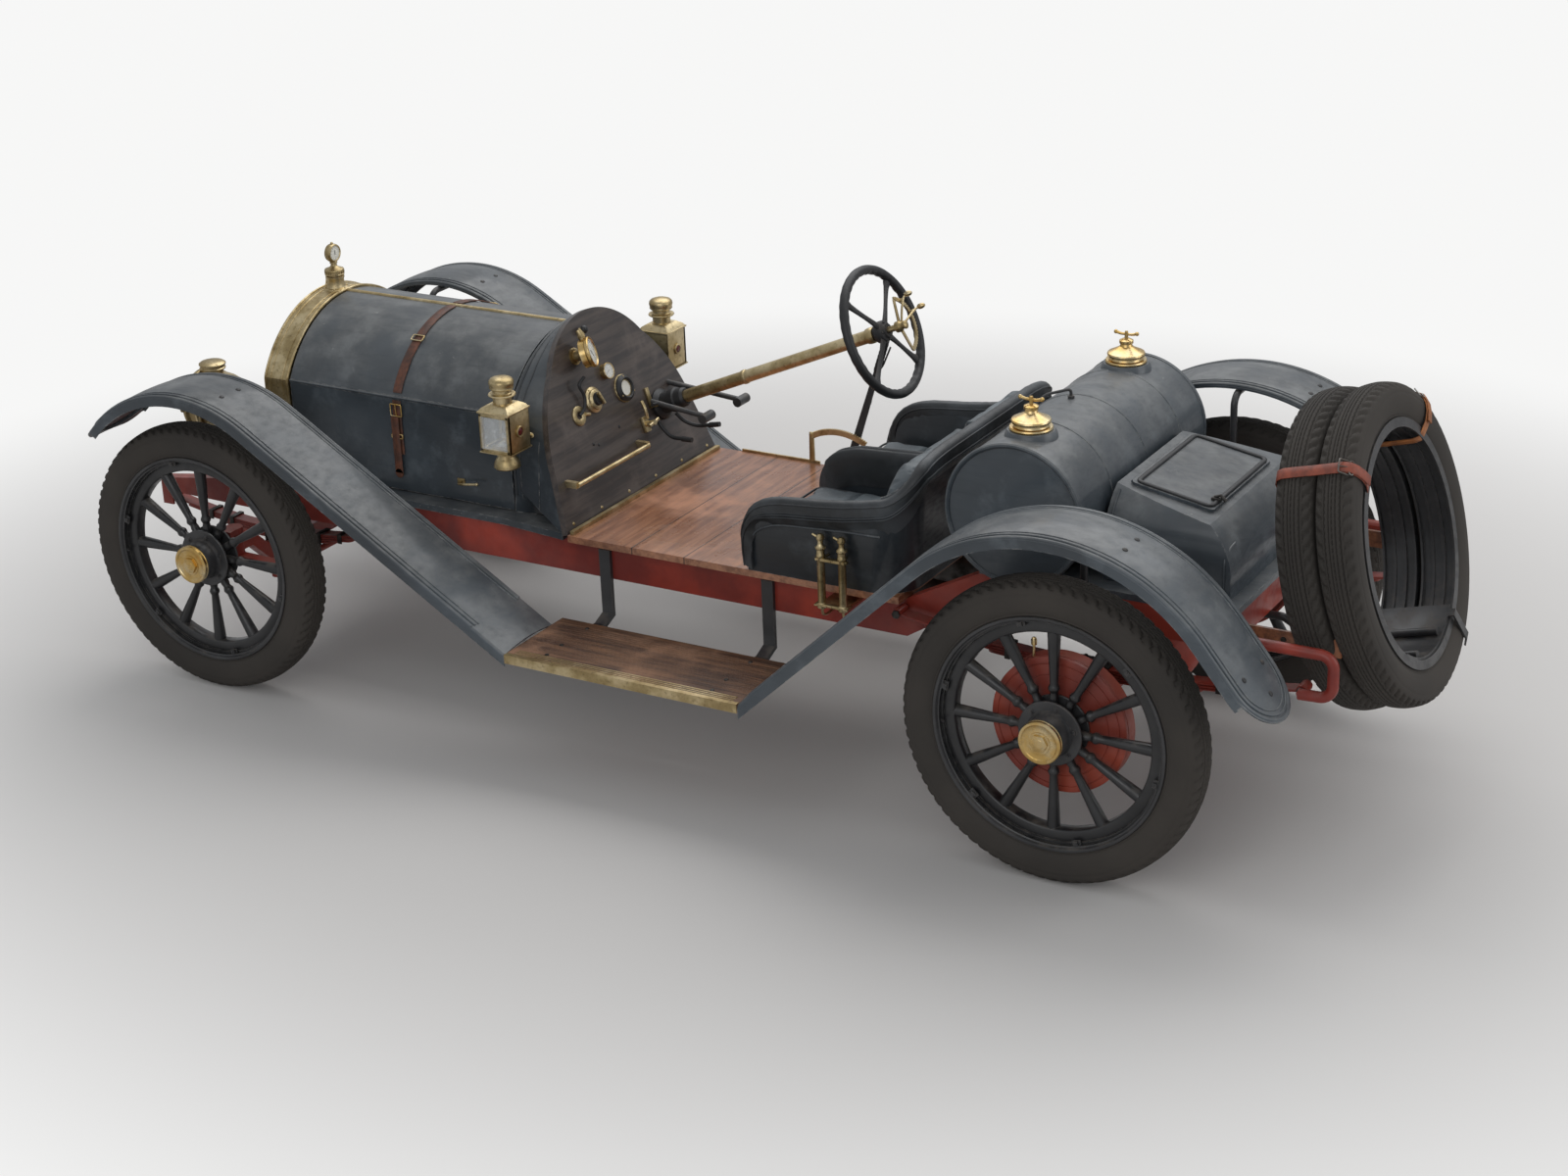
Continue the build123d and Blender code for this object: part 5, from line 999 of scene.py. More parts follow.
# Tyres
TYRE_PROFILE = mm(347, 38.5, 352, 44, 357, 47, 360, 46.2, 364, 49.2, 375.6, 53.5, 388, 56.3, 399.8, 57.3,
    412, 57, 419.5, 56.4, 421.5, 55.3, 424, 55.6, 430, 54.3, 436, 52.5, 441, 50.2, 443.8, 48, 446.2, 45.5,
    448.2, 43, 450, 39.5, 451.5, 36.2, 452.6, 33, 453.4, 29.5, 454, 26.2, 454.5, 24, 454.8, 22.2, 455.1,
    20.5, 455.4, 18, 455.7, 15.2, 456, 13.2, 456.2, 11.5, 456.4, 9.8, 456.6, 7, 456.8, 4.2, 456.9, 2.6,
    457, 0.8)


def tread_tree():
    """Cuts a tread into a smooth tyre: zigzag grooves round its crown and saw teeth on its shoulders."""
    tree = Tree("Tread", Teeth=76, Groove=0.0045, Tooth=0.0055, Sway=0.0011)
    place = tree.node("GeometryNodeInputPosition")
    x, y, z = tree.axes(place)
    radius = tree.math("SQRT", x * x + y * y)
    turn = tree.math("ARCTAN2", y, x) * (1 / tau) * tree.input("Teeth")
    side = abs(z)
    sway = (turn * 2.0).repeat(1.0) * 4.0 - 1.0
    lane = side - sway * tree.input("Sway")
    groove = lane.band(0.0098, 0.0006, 0.0012).most(lane.band(0.0222, 0.0008, 0.0014))
    groove = groove.most(lane.band(0.0, 0.0003, 0.0009))
    hollow = tree.math("FRACT", turn + side * 22.0)
    tooth = hollow.step(0.5, 0.6) * hollow.step(1.0, 0.9)
    shoulder = side.step(0.031, 0.0325) * radius.step(0.4395, 0.4425)
    rim = lane.band(0.031, 0.0004, 0.001)
    crown = radius.step(0.448, 0.45)
    cut = (groove * crown * tree.input("Groove")).most(tooth * shoulder * tree.input("Tooth"))
    cut = cut.most(rim * crown * 0.003)
    share = cut / radius
    push = tree.vector(x * share * -1.0, y * share * -1.0, tree.math("SIGN", z) * tooth * shoulder * -0.002)
    sockets = {"Geometry": tree.input("Geometry"), "Offset": push}
    return tree.close(tree.node("GeometryNodeSetPosition", None, sockets))


def tyre_mesh(tree, teeth=76):
    """One tyre about Z, its tread cut by the tree."""
    profile = TYRE_PROFILE + [(radius, -half) for radius, half in reversed(TYRE_PROFILE)]
    form = Form().lathe(profile, steps=teeth * 6)
    return tree.grow(FINISH["tyre"], form, Teeth=teeth)


class ROADSTER_OT_tyres(bpy.types.Operator):
    """Treaded tyres on the four wheels and the two spares, in place of the plain ones."""

    bl_idname = "roadster.tyres"
    bl_label = "Tyres"

    def execute(self, context):
        tree = tread_tree()
        tyre = tyre_mesh(tree)
        for name, x, sign in WHEELS:
            place = at((x, sign * TYRE_Y, AXLE_Z), (0, sign, 0), (1, 0, 0))
            form = Form().take(tyre.copy(), place)
            form.finish(f"tyre_tread_{name}", FINISH["tyre"], f"{name}_wheel", "tyre",
                replaces=[f"tyre_{name}"])
        form = Form()
        for row in range(2):
            form.take(tyre.copy(), spare_frame(row))
        form.finish("spare_tyre_pair", FINISH["tyre"], "car", "tyre", replaces=["spare_tyres"])
        bpy.data.meshes.remove(tyre)
        return {"FINISHED"}


# Wheels
SPOKE = mm3(60, 12.5, 16.5, 90, 12.5, 16.5, 104, 12, 15, 114, 10.8, 12, 119, 13.5, 14, 124, 16.4, 16.4,
    129, 16.8, 16.8, 134, 14.8, 15, 140, 11.6, 12.4, 160, 12.4, 13.4, 200, 14.6, 15.8, 250, 17, 18.6, 285,
    18.2, 20.4, 300, 18.6, 20.8)
FELLOE = mm(297.5, -17, 297.5, 17, 300, 20.5, 304, 22.5, 324, 23, 329, 21.5, 330, 28.5, 338, 28.5, 338,
    -28.5, 330, -28.5, 329, -21.5, 324, -23, 304, -22.5, 300, -20.5)
RIM_HALF = mm(338.5, 0, 338.5, 33, 336.5, 37, 336.5, 40, 340, 42, 341.5, 46, 344, 49.5, 348, 50.9, 351.5,
    50, 353, 47.5, 351.5, 45.2, 348, 44.4, 346.2, 42, 345.5, 38, 345.5, 0)


def both_ways(half):
    """A closed profile from its upper half, mirrored in height."""
    return half + [(radius, -height) for radius, height in reversed(half) if height]


def hex_outline(radius):
    """Corners of a hexagon."""
    return [(radius * cos(tau * i / 6), radius * sin(tau * i / 6)) for i in range(6)]


def bolt_form(radius, height, square=False):
    """A nut on a washer with the rounded end of its bolt, standing on Z = 0."""
    form = Form()
    form.lathe([(0, 0), (radius * 1.45, 0), (radius * 1.45, height * 0.18), (radius, height * 0.22),
        (0, height * 0.22)], steps=18)
    outline = hex_outline(radius)
    if square:
        outline = [(radius * x, radius * y) for x, y in ((1, 1), (-1, 1), (-1, -1), (1, -1))]
    form.plate(outline, height * 0.6, shift(0, 0, height * 0.2), radius * 0.12, 1)
    form.lathe([(0, height * 0.7), (radius * 0.5, height * 0.7), (radius * 0.5, height * 0.92),
        (0, height)], steps=12)
    return form


SPARE_AT = Vector((REAR - 0.603, 0, 0.842))
SPARE_LEAN = radians(14.5)
SPARE_PITCH = 0.1165


def spare_frame(row):
    """The frame of a leaning spare, 0 in front and 1 behind: Z along its axle to the rear."""
    back = Vector((-cos(SPARE_LEAN), 0, sin(SPARE_LEAN)))
    return at(SPARE_AT + back * SPARE_PITCH * row, back, (sin(SPARE_LEAN), 0, cos(SPARE_LEAN)))


def wheel_forms():
    """The wooden wheel and the hub cap about Z, the outer side up."""
    black = FINISH["black"]
    wood = Form().lathe(FELLOE, steps=96)
    turns = [tau * k / 14 for k in range(14)]
    spoke = Form().skin([[(x, w * cos(a), t * sin(a)) for a in turns] for x, w, t in SPOKE], caps=True)
    wood.take(repeated("ring", black, spoke, Count=12, Radius=0.0, Turn=0.0))
    iron = Form().lathe(both_ways(RIM_HALF), steps=120)
    hub = mm(30, 30, 94, 30, 96, 28, 96, 23.5, 94, 22, 30, 22)
    iron.lathe(hub, steps=64)
    iron.lathe([(radius, -height) for radius, height in hub], steps=64)
    iron.lathe(mm(0, -30, 56, -30, 70, 29.5, 69, 33, 65.5, 37, 64.5, 40, 64.2, 47, 63.5, 56, 61.5, 68, 59,
        75, 57, 78, 0, 78), steps=64, closed=False)
    bolt = Form()
    bolt.take(bolt_form(0.0062, 0.0085).mesh("bolt"), shift(0.078, 0, 0.03))
    iron.take(repeated("ring", black, bolt, Count=6, Radius=0.0, Turn=radians(15)))
    clamp = Form()
    clamp.block((0.024, 0.028, 0.006), shift(0.333, 0, 0.0315), 0.0015)
    clamp.block((0.01, 0.024, 0.012), shift(0.34, 0, 0.0345), 0.0015)
    clamp.take(bolt_form(0.007, 0.011, True).mesh("nut"), shift(0.329, 0, 0.034))
    iron.take(repeated("ring", black, clamp, Count=6, Radius=0.0, Turn=radians(45)))
    iron.tube(mm3(332, 20, 34, 329, 21, 40, 318, 21, 46), 0.0035, 10)
    return wood.mesh("wood"), iron.mesh("iron")


def hub_cap_form():
    """A brass hub cap: turned rim, sunk face and a hexagon with a domed centre."""
    form = Form().lathe(mm(0, 78.4, 58, 78.4, 62.5, 80, 63.5, 83.5, 62, 85, 62, 87, 64, 88.5, 64, 96.5,
        62.2, 99, 58, 100, 54.5, 99.5, 52.8, 97.5, 51, 96.2, 34, 95.8, 32.8, 96.2, 0, 96.2), steps=72,
        closed=False)
    form.lathe(mm(0, 96, 33, 96, 32.2, 98.5, 0, 98.8), steps=48, closed=False)
    form.plate(hex_outline(0.0275), 0.0075, shift(0, 0, 0.0975), 0.0016, 2)
    form.lathe(mm(0, 104.8, 15, 104.8, 14, 105.6, 0, 106), steps=32, closed=False)
    return form


def drum_form():
    """A rear brake drum with turned grooves, its open side inboard."""
    return Form().lathe(mm(60, -31, 150, -31, 151.2, -33, 153, -33, 154.2, -31, 183, -31, 184.2, -33.2,
        186.4, -33.2, 187.6, -31, 201, -31, 204.2, -32.5, 205, -36, 205, -42, 203.4, -43, 203.4, -45, 205,
        -46, 205, -89, 197.5, -89, 197.5, -39, 60, -39), steps=120)


class ROADSTER_OT_wheels(bpy.types.Operator):
    """Spoked wooden wheels with bolted rims and brass caps, and the rear brake drums."""

    bl_idname = "roadster.wheels"
    bl_label = "Wheels"

    def execute(self, context):
        wood, iron = wheel_forms()
        cap = hub_cap_form().mesh("cap")
        drum = drum_form().mesh("drum")
        for name, x, sign in WHEELS:
            body = f"{name}_wheel"
            place = at((x, sign * TYRE_Y, AXLE_Z), (0, sign, 0), (1, 0, 0))
            hold = [f"wheel_{name}"]
            Form().take(wood.copy(), place).finish(f"wheel_spokes_{name}", FINISH["spoke"], body,
                "black_paint", 45, hold)
            Form().take(iron.copy(), place).finish(f"wheel_rim_{name}", FINISH["black"], body,
                "black_paint", 35, hold)
            form = Form().take(cap.copy(), place)
            form.finish(f"hub_cap_turned_{name}", FINISH["bright_brass"], body, "brass", 35,
                [f"hub_cap_{name}"])
            if x == REAR:
                form = Form().take(drum.copy(), place)
                form.finish(f"drum_{name}", FINISH["drum"], body, "red_paint", 35, [f"brake_drum_{name}"])
        for mesh in (wood, iron, cap, drum):
            bpy.data.meshes.remove(mesh)
        cup = Form()
        for side, sign in SIDES:
            root = Vector((REAR + 0.085, sign * (TYRE_Y - 0.052), AXLE_Z + 0.215))
            cup.lathe(mm(4, -30, 4, 4, 8, 6, 8.5, 20, 6, 27, 0, 30), at(root), 16, False)
        cup.finish("grease_cups", FINISH["bright_brass"], "car", "brass")
        return {"FINISHED"}


# Fender beads
FENDERS = {"front": ("front_fenders", FRONT - 0.036, 0.531, 36.5, 184.0),
    "rear": ("rear_fenders", REAR - 0.0165, 0.4756, 169.0, -4.0)}
FENDER_INNER = 0.573
FENDER_OUTER = 0.838


class FenderMap:
    """Places on a fender's top by the distance from its free end and the distance across."""

    def __init__(self, end, sign):
        self.node, self.x, self.z, tip, foot = FENDERS[end]
        self.sign = sign
        self.angles, self.lengths = [], []
        middle_y = sign * (FENDER_INNER + FENDER_OUTER) / 2
        last = None
        for i in range(161):
            angle = radians(tip + (foot - tip) * i / 160)
            found = self.cast(angle, middle_y)
            if found:
                step = (found[0] - last).length if last else 0.0
                self.lengths.append(self.lengths[-1] + step if self.lengths else 0.0)
                self.angles.append(angle)
                last = found[0]

    def cast(self, angle, y, lift=0.0):
        out = Vector((cos(angle), 0, sin(angle)))
        return met(self.node, Vector((self.x, y, self.z)) + out * 1.7, -out, lift)

    def spot(self, distance, y, lift=0.0):
        """The point and normal at a distance from the free end, y across the car."""
        distance = min(max(distance, 0.0), self.lengths[-1])
        for i, length_ in enumerate(self.lengths[1:]):
            if distance <= length_:
                share = (distance - self.lengths[i]) / max(length_ - self.lengths[i], 1e-9)
                angle = self.angles[i] + (self.angles[i + 1] - self.angles[i]) * share
                return self.cast(angle, self.sign * y, lift)
        return self.cast(self.angles[-1], self.sign * y, lift)

    def edge_line(self, inset, lift):
        """Points along one edge, round the free end and back along the other edge."""
        half = (FENDER_OUTER - FENDER_INNER) / 2
        centre = (FENDER_OUTER + FENDER_INNER) / 2
        end = self.lengths[-1] - 0.02
        plan = [(end - (end - half) * i / 90, FENDER_OUTER - inset) for i in range(91)]
        arc = half - inset
        turns = [pi * i / 24 for i in range(1, 24)]
        plan += [(half - arc * sin(a), centre + arc * cos(a)) for a in turns]
        plan += [(half + (end - half) * i / 90, FENDER_INNER + inset) for i in range(91)]
        found = [self.spot(distance, y, lift) for distance, y in plan]
        return smoothed([spot[0] for spot in found if spot], 2)


class ROADSTER_OT_fenders(bpy.types.Operator):
    """Rolled beads and bolts on the fenders."""

    bl_idname = "roadster.fenders"
    bl_label = "Fender beads"

    def execute(self, context):
        for end in FENDERS:
            form = Form()
            bolts = Form()
            for _, sign in SIDES:
                place = FenderMap(end, sign)
                form.tube(place.edge_line(0.006, -0.003), 0.0065, 10)
                form.tube(place.edge_line(0.019, 0.0005), 0.004, 8)
                form.tube(place.edge_line(0.033, 0.0003), 0.0026, 8)
                for distance, y in mm(75, 700, 150, 640, 150, 770, 620, 665, 620, 745):
                    found = place.spot(distance, y)
                    if found:
                        bolts.ball(0.0085, at(found[0], found[1]), 14, 0.5)
            form.finish(f"fender_beads_{end}", FINISH["slate"], "car", "slate_paint", 60)
            bolts.finish(f"fender_bolts_{end}", FINISH["iron"], "car", "black_paint")
        return {"FINISHED"}


# Fuel tank
TANK = Vector((REAR + 0.247, 0, 0.961))
TANK_RADIUS = 0.212
TANK_HALF = 0.454


class ROADSTER_OT_tank(bpy.types.Operator):
    """Fuel tank seams, end rims, saddles and fillers."""

    bl_idname = "roadster.tank"
    bl_label = "Fuel tank fittings"

    def execute(self, context):
        form = Form()
        seam = [(TANK_RADIUS + rise, along) for rise, along in mm(-1, -8, 2.2, -4, 2.2, 4, -1, 8)]
        for y in (-0.27, -0.02, 0.235):
            form.lathe(seam, at(TANK + Vector((0, y, 0)), (0, 1, 0)), 96)
        for _, sign in SIDES:
            end = at(TANK + Vector((0, sign * TANK_HALF, 0)), (0, sign, 0))
            rim = mm(-14, -2, -12, 4, -6, 7, -1, 6, 2.5, 1, 2.5, -12, -1, -14)
            form.lathe([(TANK_RADIUS + rise, along) for rise, along in rim], end, 96)
            pad = at(TANK + Vector((0, sign * 0.333, TANK_RADIUS)), (0, 0, 1))
            form.lathe(mm(0, 10.5, 68, 9.5, 74, 0, 80, -24, 0, -24), pad, 40, False)
        form.finish("tank_seams", FINISH["slate"], "car", "slate_paint", 32)

        brass_form = Form()
        for _, sign in SIDES:
            base = at(TANK + Vector((0, sign * 0.333, TANK_RADIUS + 0.01)),
                (0, 0, 1)) @ Matrix.Scale(1.42, 4)
            brass_form.lathe(mm(0, 0, 43, 0, 44.5, 3, 43, 6, 36, 7, 34.5, 10, 34.5, 13, 39.5, 14, 40.5,
                18, 39, 21, 30, 25, 20, 30, 14, 34, 12, 39, 15, 41, 15, 47, 9.5, 50, 0, 51), base, 40,
                False)
            handle = base @ shift(0, 0, 0.06)
            bar = [handle @ Vector((x, 0, z)) for x, z in mm(-24, 3, -12, 0, 12, 0, 24, 3)]
            brass_form.tube(bar, [0.005, 0.0042, 0.0042, 0.005], 12)
            for corner in (bar[0], bar[-1]):
                brass_form.ball(0.0064, at(corner), 14)
            brass_form.tube(put(base, [(0, 0, 0.046), (0, 0, 0.0665)]), [0.0062, 0.005], 12)
        brass_form.finish("tank_fillers", FINISH["bright_brass"], "car", "brass", 30, ["filler_caps"])

        pipe = Form()
        top = TANK + Vector((0, 0, TANK_RADIUS))
        line = rounded([top + Vector(v) for v in mm3(20, 20, -4, 20, 20, 28, 75, 85, 22, 110, 115, -30)],
            0.02)
        pipe.tube(line, 0.0045, 12)
        pipe.plate(hex_outline(0.011), 0.01, at(top + Vector((0.02, 0.02, -0.002))), 0.0015)
        pipe.finish("tank_vent_pipe", FINISH["iron"], "car", "black_paint")
        return {"FINISHED"}


# Tool box
class ROADSTER_OT_tools(bpy.types.Operator):
    """Tool box lid frame, latch and beads."""

    bl_idname = "roadster.tools"
    bl_label = "Tool box trim"

    def execute(self, context):
        down = Vector((0, 0, -1))
        low, high = low_corner("tool_box_lid"), high_corner("tool_box_lid")
        x0, x1, half = low.x + 0.012, high.x - 0.02, high.y - 0.012

        def on_lid(x, y, lift=0.0):
            return met("tool_box_lid", (x, y, high.z + 0.2), down, lift)[0]

        corners = [(x0, -half), (x1, -half), (x1, half), (x0, half)]
        border = Form()
        loop = [on_lid(x, y, 0.003) for x, y in corners]
        start = loop[0].lerp(loop[1], 0.5)
        sides = rounded([start, *loop[1:], loop[0], start], 0.02)
        border.tube(sides[:-1], 0.0075, 10, loop=True, flat=((0, 0, 1), 0.55))
        border.finish("tool_lid_border", FINISH["rubber_black"], "tool_lid", "black_paint", 60)
        latch = Form()
        foot = on_lid(x0 + 0.004, half - 0.055)
        latch.block((0.03, 0.02, 0.008), at(foot + Vector((0, 0, 0.006)), (0, 0, 1)), 0.002)
        latch.tube([foot + Vector(v) for v in mm3(6, 0, 10, -12, 4, 18, -30, 6, 4)],
            [0.005, 0.0045, 0.006], 12)
        latch.finish("tool_lid_latch", FINISH["dark_steel"], "tool_lid", "steel")

        beads = Form()
        box_low, box_high = low_corner("tool_box"), high_corner("tool_box")
        for _, sign in SIDES:
            for x in (box_low.x + 0.02, box_high.x - 0.016):
                rays = []
                for i in range(33):
                    angle = radians(-2 + 100 * i / 32)
                    out = Vector((0, sign * cos(angle), sin(angle)))
                    rays.append((Vector((x, 0, 0.78)) + out * 0.8, -out))
                found = draped("tool_box", rays, 0.001)
                line = [point for point, _ in found if abs(point.y) > half + 0.03]
                if len(line) > 4:
                    beads.tube(smoothed(line, 2), 0.0042, 8)
        beads.finish("tool_box_beads", FINISH["slate"], "car", "slate_paint", 60)
        return {"FINISHED"}


# Spare tyre straps
def buckle_line(place, a, b, corner):
    """The centre line of a buckle's frame, a and b its half width and half length."""
    spots = [(0, -b, 0), (a, -b, 0), (a, b, 0), (-a, b, 0), (-a, -b, 0), (0, -b, 0)]
    return rounded(put(place, spots), corner, 3)[:-1]


STRAP_MIDDLE = (0.39, 0.058)


def spare_spot(out, radius, back):
    """A place by the spares: a direction and distance from their axle, and how far to the rear."""
    return spare_frame(0) @ (out * radius + Vector((0, 0, back)))


def strap_loop(out):
    """A strap round both spares in one direction from their axle: its points and outward normals."""
    path = mm(-52, 345, -61, 375, -62, 405, -56.5, 430, -44.5, 451.5, -27, 459, 0, 460, 58, 459, 116.5,
        460, 143.5, 459, 161, 451.5, 173, 430, 178.5, 405, 177.5, 375, 168.5, 345, 160, 325, 140, 320, 60,
        319.5, -20, 320, -44, 326)
    points = [spare_spot(out, radius, back) for back, radius in path]
    centre = spare_spot(out, *STRAP_MIDDLE)
    return points, [point - centre for point in points]


def spare_angle(turn):
    """The direction in a spare's frame at an angle from the car's left side toward its top."""
    base = spare_frame(0)
    left = base.to_3x3().transposed() @ Vector((0, 1, 0))
    top = base.to_3x3().transposed() @ Vector((sin(SPARE_LEAN), 0, cos(SPARE_LEAN)))
    spot = left * cos(radians(turn)) + top * sin(radians(turn))
    return atan2(spot.y, spot.x)


class ROADSTER_OT_straps(bpy.types.Operator):
    """Leather straps and buckles that hold the spare tyres."""

    bl_idname = "roadster.straps"
    bl_label = "Spare tyre straps"

    def execute(self, context):
        for name, finish, angle, width in (("red", FINISH["strap_red"], 46.0, 0.032),
                ("tan", FINISH["strap_tan"], 133.0, 0.026)):
            phi = spare_angle(angle)
            out = Vector((cos(phi), sin(phi), 0))
            across = spare_frame(0).to_3x3() @ Vector((-sin(phi), cos(phi), 0))
            strap = Form().ribbon(*strap_loop(out), width, 0.0038, loop=True)
            end_path = mm(130, 464, 145, 463.5, 164, 456, 177, 433, 183, 405, 185, 372)
            tail = [spare_spot(out, radius, back) for back, radius in end_path]
            centre = spare_spot(out, *STRAP_MIDDLE)
            strap.ribbon(tail, [point - centre for point in tail], width * 0.94, 0.0036)
            strap.finish(f"spare_strap_{name}", finish, "car", "leather", 50)
            buckle = Form()
            for back, radius, size in ((0.15, 0.46, 0.034), (0.166, 0.449, 0.012)):
                spot = spare_spot(out, radius + 0.0035, back)
                place = at(spot, (spot - centre).normalized(), across)
                buckle.tube(buckle_line(place, width / 2 + 0.004, size / 2, 0.005), 0.0022, 8, loop=True)
            spot = spare_spot(out, 0.464, 0.15)
            normal = (spot - centre).normalized()
            along = (spare_spot(out, 0.456, 0.164) - spot).normalized()
            buckle.tube([spot - along * 0.016, spot + normal * 0.002, spot + along * 0.019], 0.0017, 8)
            buckle.finish(f"spare_buckle_{name}", FINISH["steel"], "car", "steel", 50)
        return {"FINISHED"}


# Seats
WALL_HALF = 0.013
SEAT_FOOT = 0.642
SEAT_TOP = 1.06
BACK_PROFILE = mm(0, 1060, 150, 1060, 300, 1060, 370, 1059, 405, 1046, 430, 1024, 450, 998, 466, 973, 480,
    950, 491, 934, 500, 922, 513, 914)
ARM_PROFILE = mm(580, 914, 657, 914, 760, 912.5, 860, 906.5, 940, 901.5, 984, 898, 1020, 891.5, 1052, 880,
    1076, 866, 1094, 849, 1108, 823, 1117, 795, 1122, 770, 1123.5, 730, 1124, 660)


def between(table, key):
    """A value read off a table of pairs, straight between its rows."""
    for (a, first), (b, second) in zip(table, table[1:]):
        if key <= b:
            return first + (second - first) * max(key - a, 0.0) / (b - a)
    return table[-1][1]


def seat_share(z):
    """How far up the seat body a level is, 0 at its foot and 1 at its top."""
    return (z - SEAT_FOOT) / (SEAT_TOP - SEAT_FOOT)


def seat_wall(z):
    """The middle of the seat wall at a level: its half width, its rear and its corner's radius."""
    share = seat_share(z)
    return 0.45 + 0.07 * share - WALL_HALF, REAR + 0.6 - 0.06 * share + WALL_HALF, 0.11 - WALL_HALF


def rim_line():
    """The seat body's top edge from the left arm's front, round the back, to the right arm's front."""
    half_line = []
    for x, z in reversed(ARM_PROFILE[2:]):
        half_line.append(Vector((REAR + x, seat_wall(z)[0], z)))
    for i in range(25):
        angle = pi / 2 * i / 24
        z = 0.914
        for _ in range(12):
            half, rear, corner = seat_wall(z)
            y = half - corner + corner * cos(angle)
            z = between(BACK_PROFILE, y)
        half_line.append(Vector((rear + corner - corner * sin(angle), y, z)))
    for y in (0.36, 0.3, 0.24, 0.18, 0.12, 0.06, 0.0):
        half_line.append(Vector((seat_wall(SEAT_TOP)[1], y, SEAT_TOP)))
    half_line = smoothed(half_line, 2)
    return half_line + [Vector((point.x, -point.y, point.z)) for point in reversed(half_line[:-1])]


ROLL = mm(14, -50, 16.5, -47, 17.5, -36, 20, -22, 21, -4, 18, 7, 9, 13, -3, 14, -13, 9.5, -17.5, -2, -18,
    -30, -17, -65, -16.2, -98, -13.8, -105)


def rim_frames(line):
    """For each point of a line round the seat: outward, upward, and the share of the roll's depth."""
    frames = []
    for i, point in enumerate(line):
        along = (line[min(i + 1, len(line) - 1)] - line[max(i - 1, 0)]).normalized()
        level = Vector((along.x, along.y, 0)).normalized()
        if level.length < 0.5:
            level = Vector((-1, 0, 0))
        out = Vector((-level.y, level.x, 0))
        if out.dot(Vector((point.x - (REAR + 0.93), point.y, 0))) < 0:
            out = -out
        up = along.cross(out)
        if up.z < 0:
            up = -up
        up.normalize()
        frames.append((out, up, 0.28 + 0.72 * up.z**2))
    return frames


def rim_spot(point, rim, a, b):
    """A place on the seat's rim: outward and upward of its line, less deep round the arms' fronts."""
    out, up, depth = rim
    return point + out * a + up * b * (depth if b < 0 else 1.0)


def swept(line, frames, section, wrinkle=0.0):
    """A closed section of (outward, upward) pairs swept along a line."""
    rows = []
    for i, (point, rim) in enumerate(zip(line, frames)):
        row = []
        for k, (a, b) in enumerate(section):
            pucker = wrinkle * sin(i * 1.9 + sin(i * 0.7) * 2.0) * (0.4 + 0.6 * sin(k * 1.3) ** 2)
            row.append(rim_spot(point, rim, a + (pucker if a > 0 else -pucker), b))
        rows.append(row)
    return rows


def dense(line, step):
    """A line with points added so that none is much further than a step from the next."""
    points = [line[0]]
    for a, b in zip(line, line[1:]):
        pieces = max(1, round((b - a).length / step))
        points += [a.lerp(b, (k + 1) / pieces) for k in range(pieces)]
    return points


def pad_start(node, sign, shrink=0.009):
    """A smaller copy of one of a node's two CAD pads, and its corners."""
    form = Form()
    form.bm.from_mesh(frame["nodes"][node].data)
    bmesh.ops.delete(form.bm,
        geom=[face for face in form.bm.faces if face.calc_center_median().y * sign < 0], context="FACES")
    points = [vertex.co.copy() for vertex in form.bm.verts]
    low = Vector(min(point[i] for point in points) for i in range(3))
    high = Vector(max(point[i] for point in points) for i in range(3))
    centre = (low + high) / 2
    scale = [1 - 2 * shrink / (high[i] - low[i]) for i in range(3)]
    for vertex in form.bm.verts:
        offset = vertex.co - centre
        vertex.co = centre + Vector(offset[i] * scale[i] for i in range(3))
    return form, low, high


def stitched(point, low, high, seams):
    """Whether a point of a pad lies on a seam: each seam is (axis, share of the width)."""
    for axis, share in seams:
        if abs(point[axis] - (low[axis] + (high[axis] - low[axis]) * share)) < 0.0042:
            return True
    return False


PAD_CLOTH = {"quality": 6, "mass": 0.3, "tension_stiffness": 12, "compression_stiffness": 12,
    "bending_stiffness": 0.6, "use_pressure": True, "uniform_pressure_force": 4.0,
    "vertex_group_mass": "held"}
PAD_FRAMES = 20
PAD_VOXEL = 0.0058
PAD_MOVE = 0.018
PAD_CLEAR = Vector((0.001, 0.001, 0.001))


def frozen(thing):
    """An object's mesh as its modifiers leave it, which it then loses."""
    graph = bpy.context.evaluated_depsgraph_get()
    mesh = bpy.data.meshes.new_from_object(thing.evaluated_get(graph), depsgraph=graph)
    thing.modifiers.clear()
    return mesh


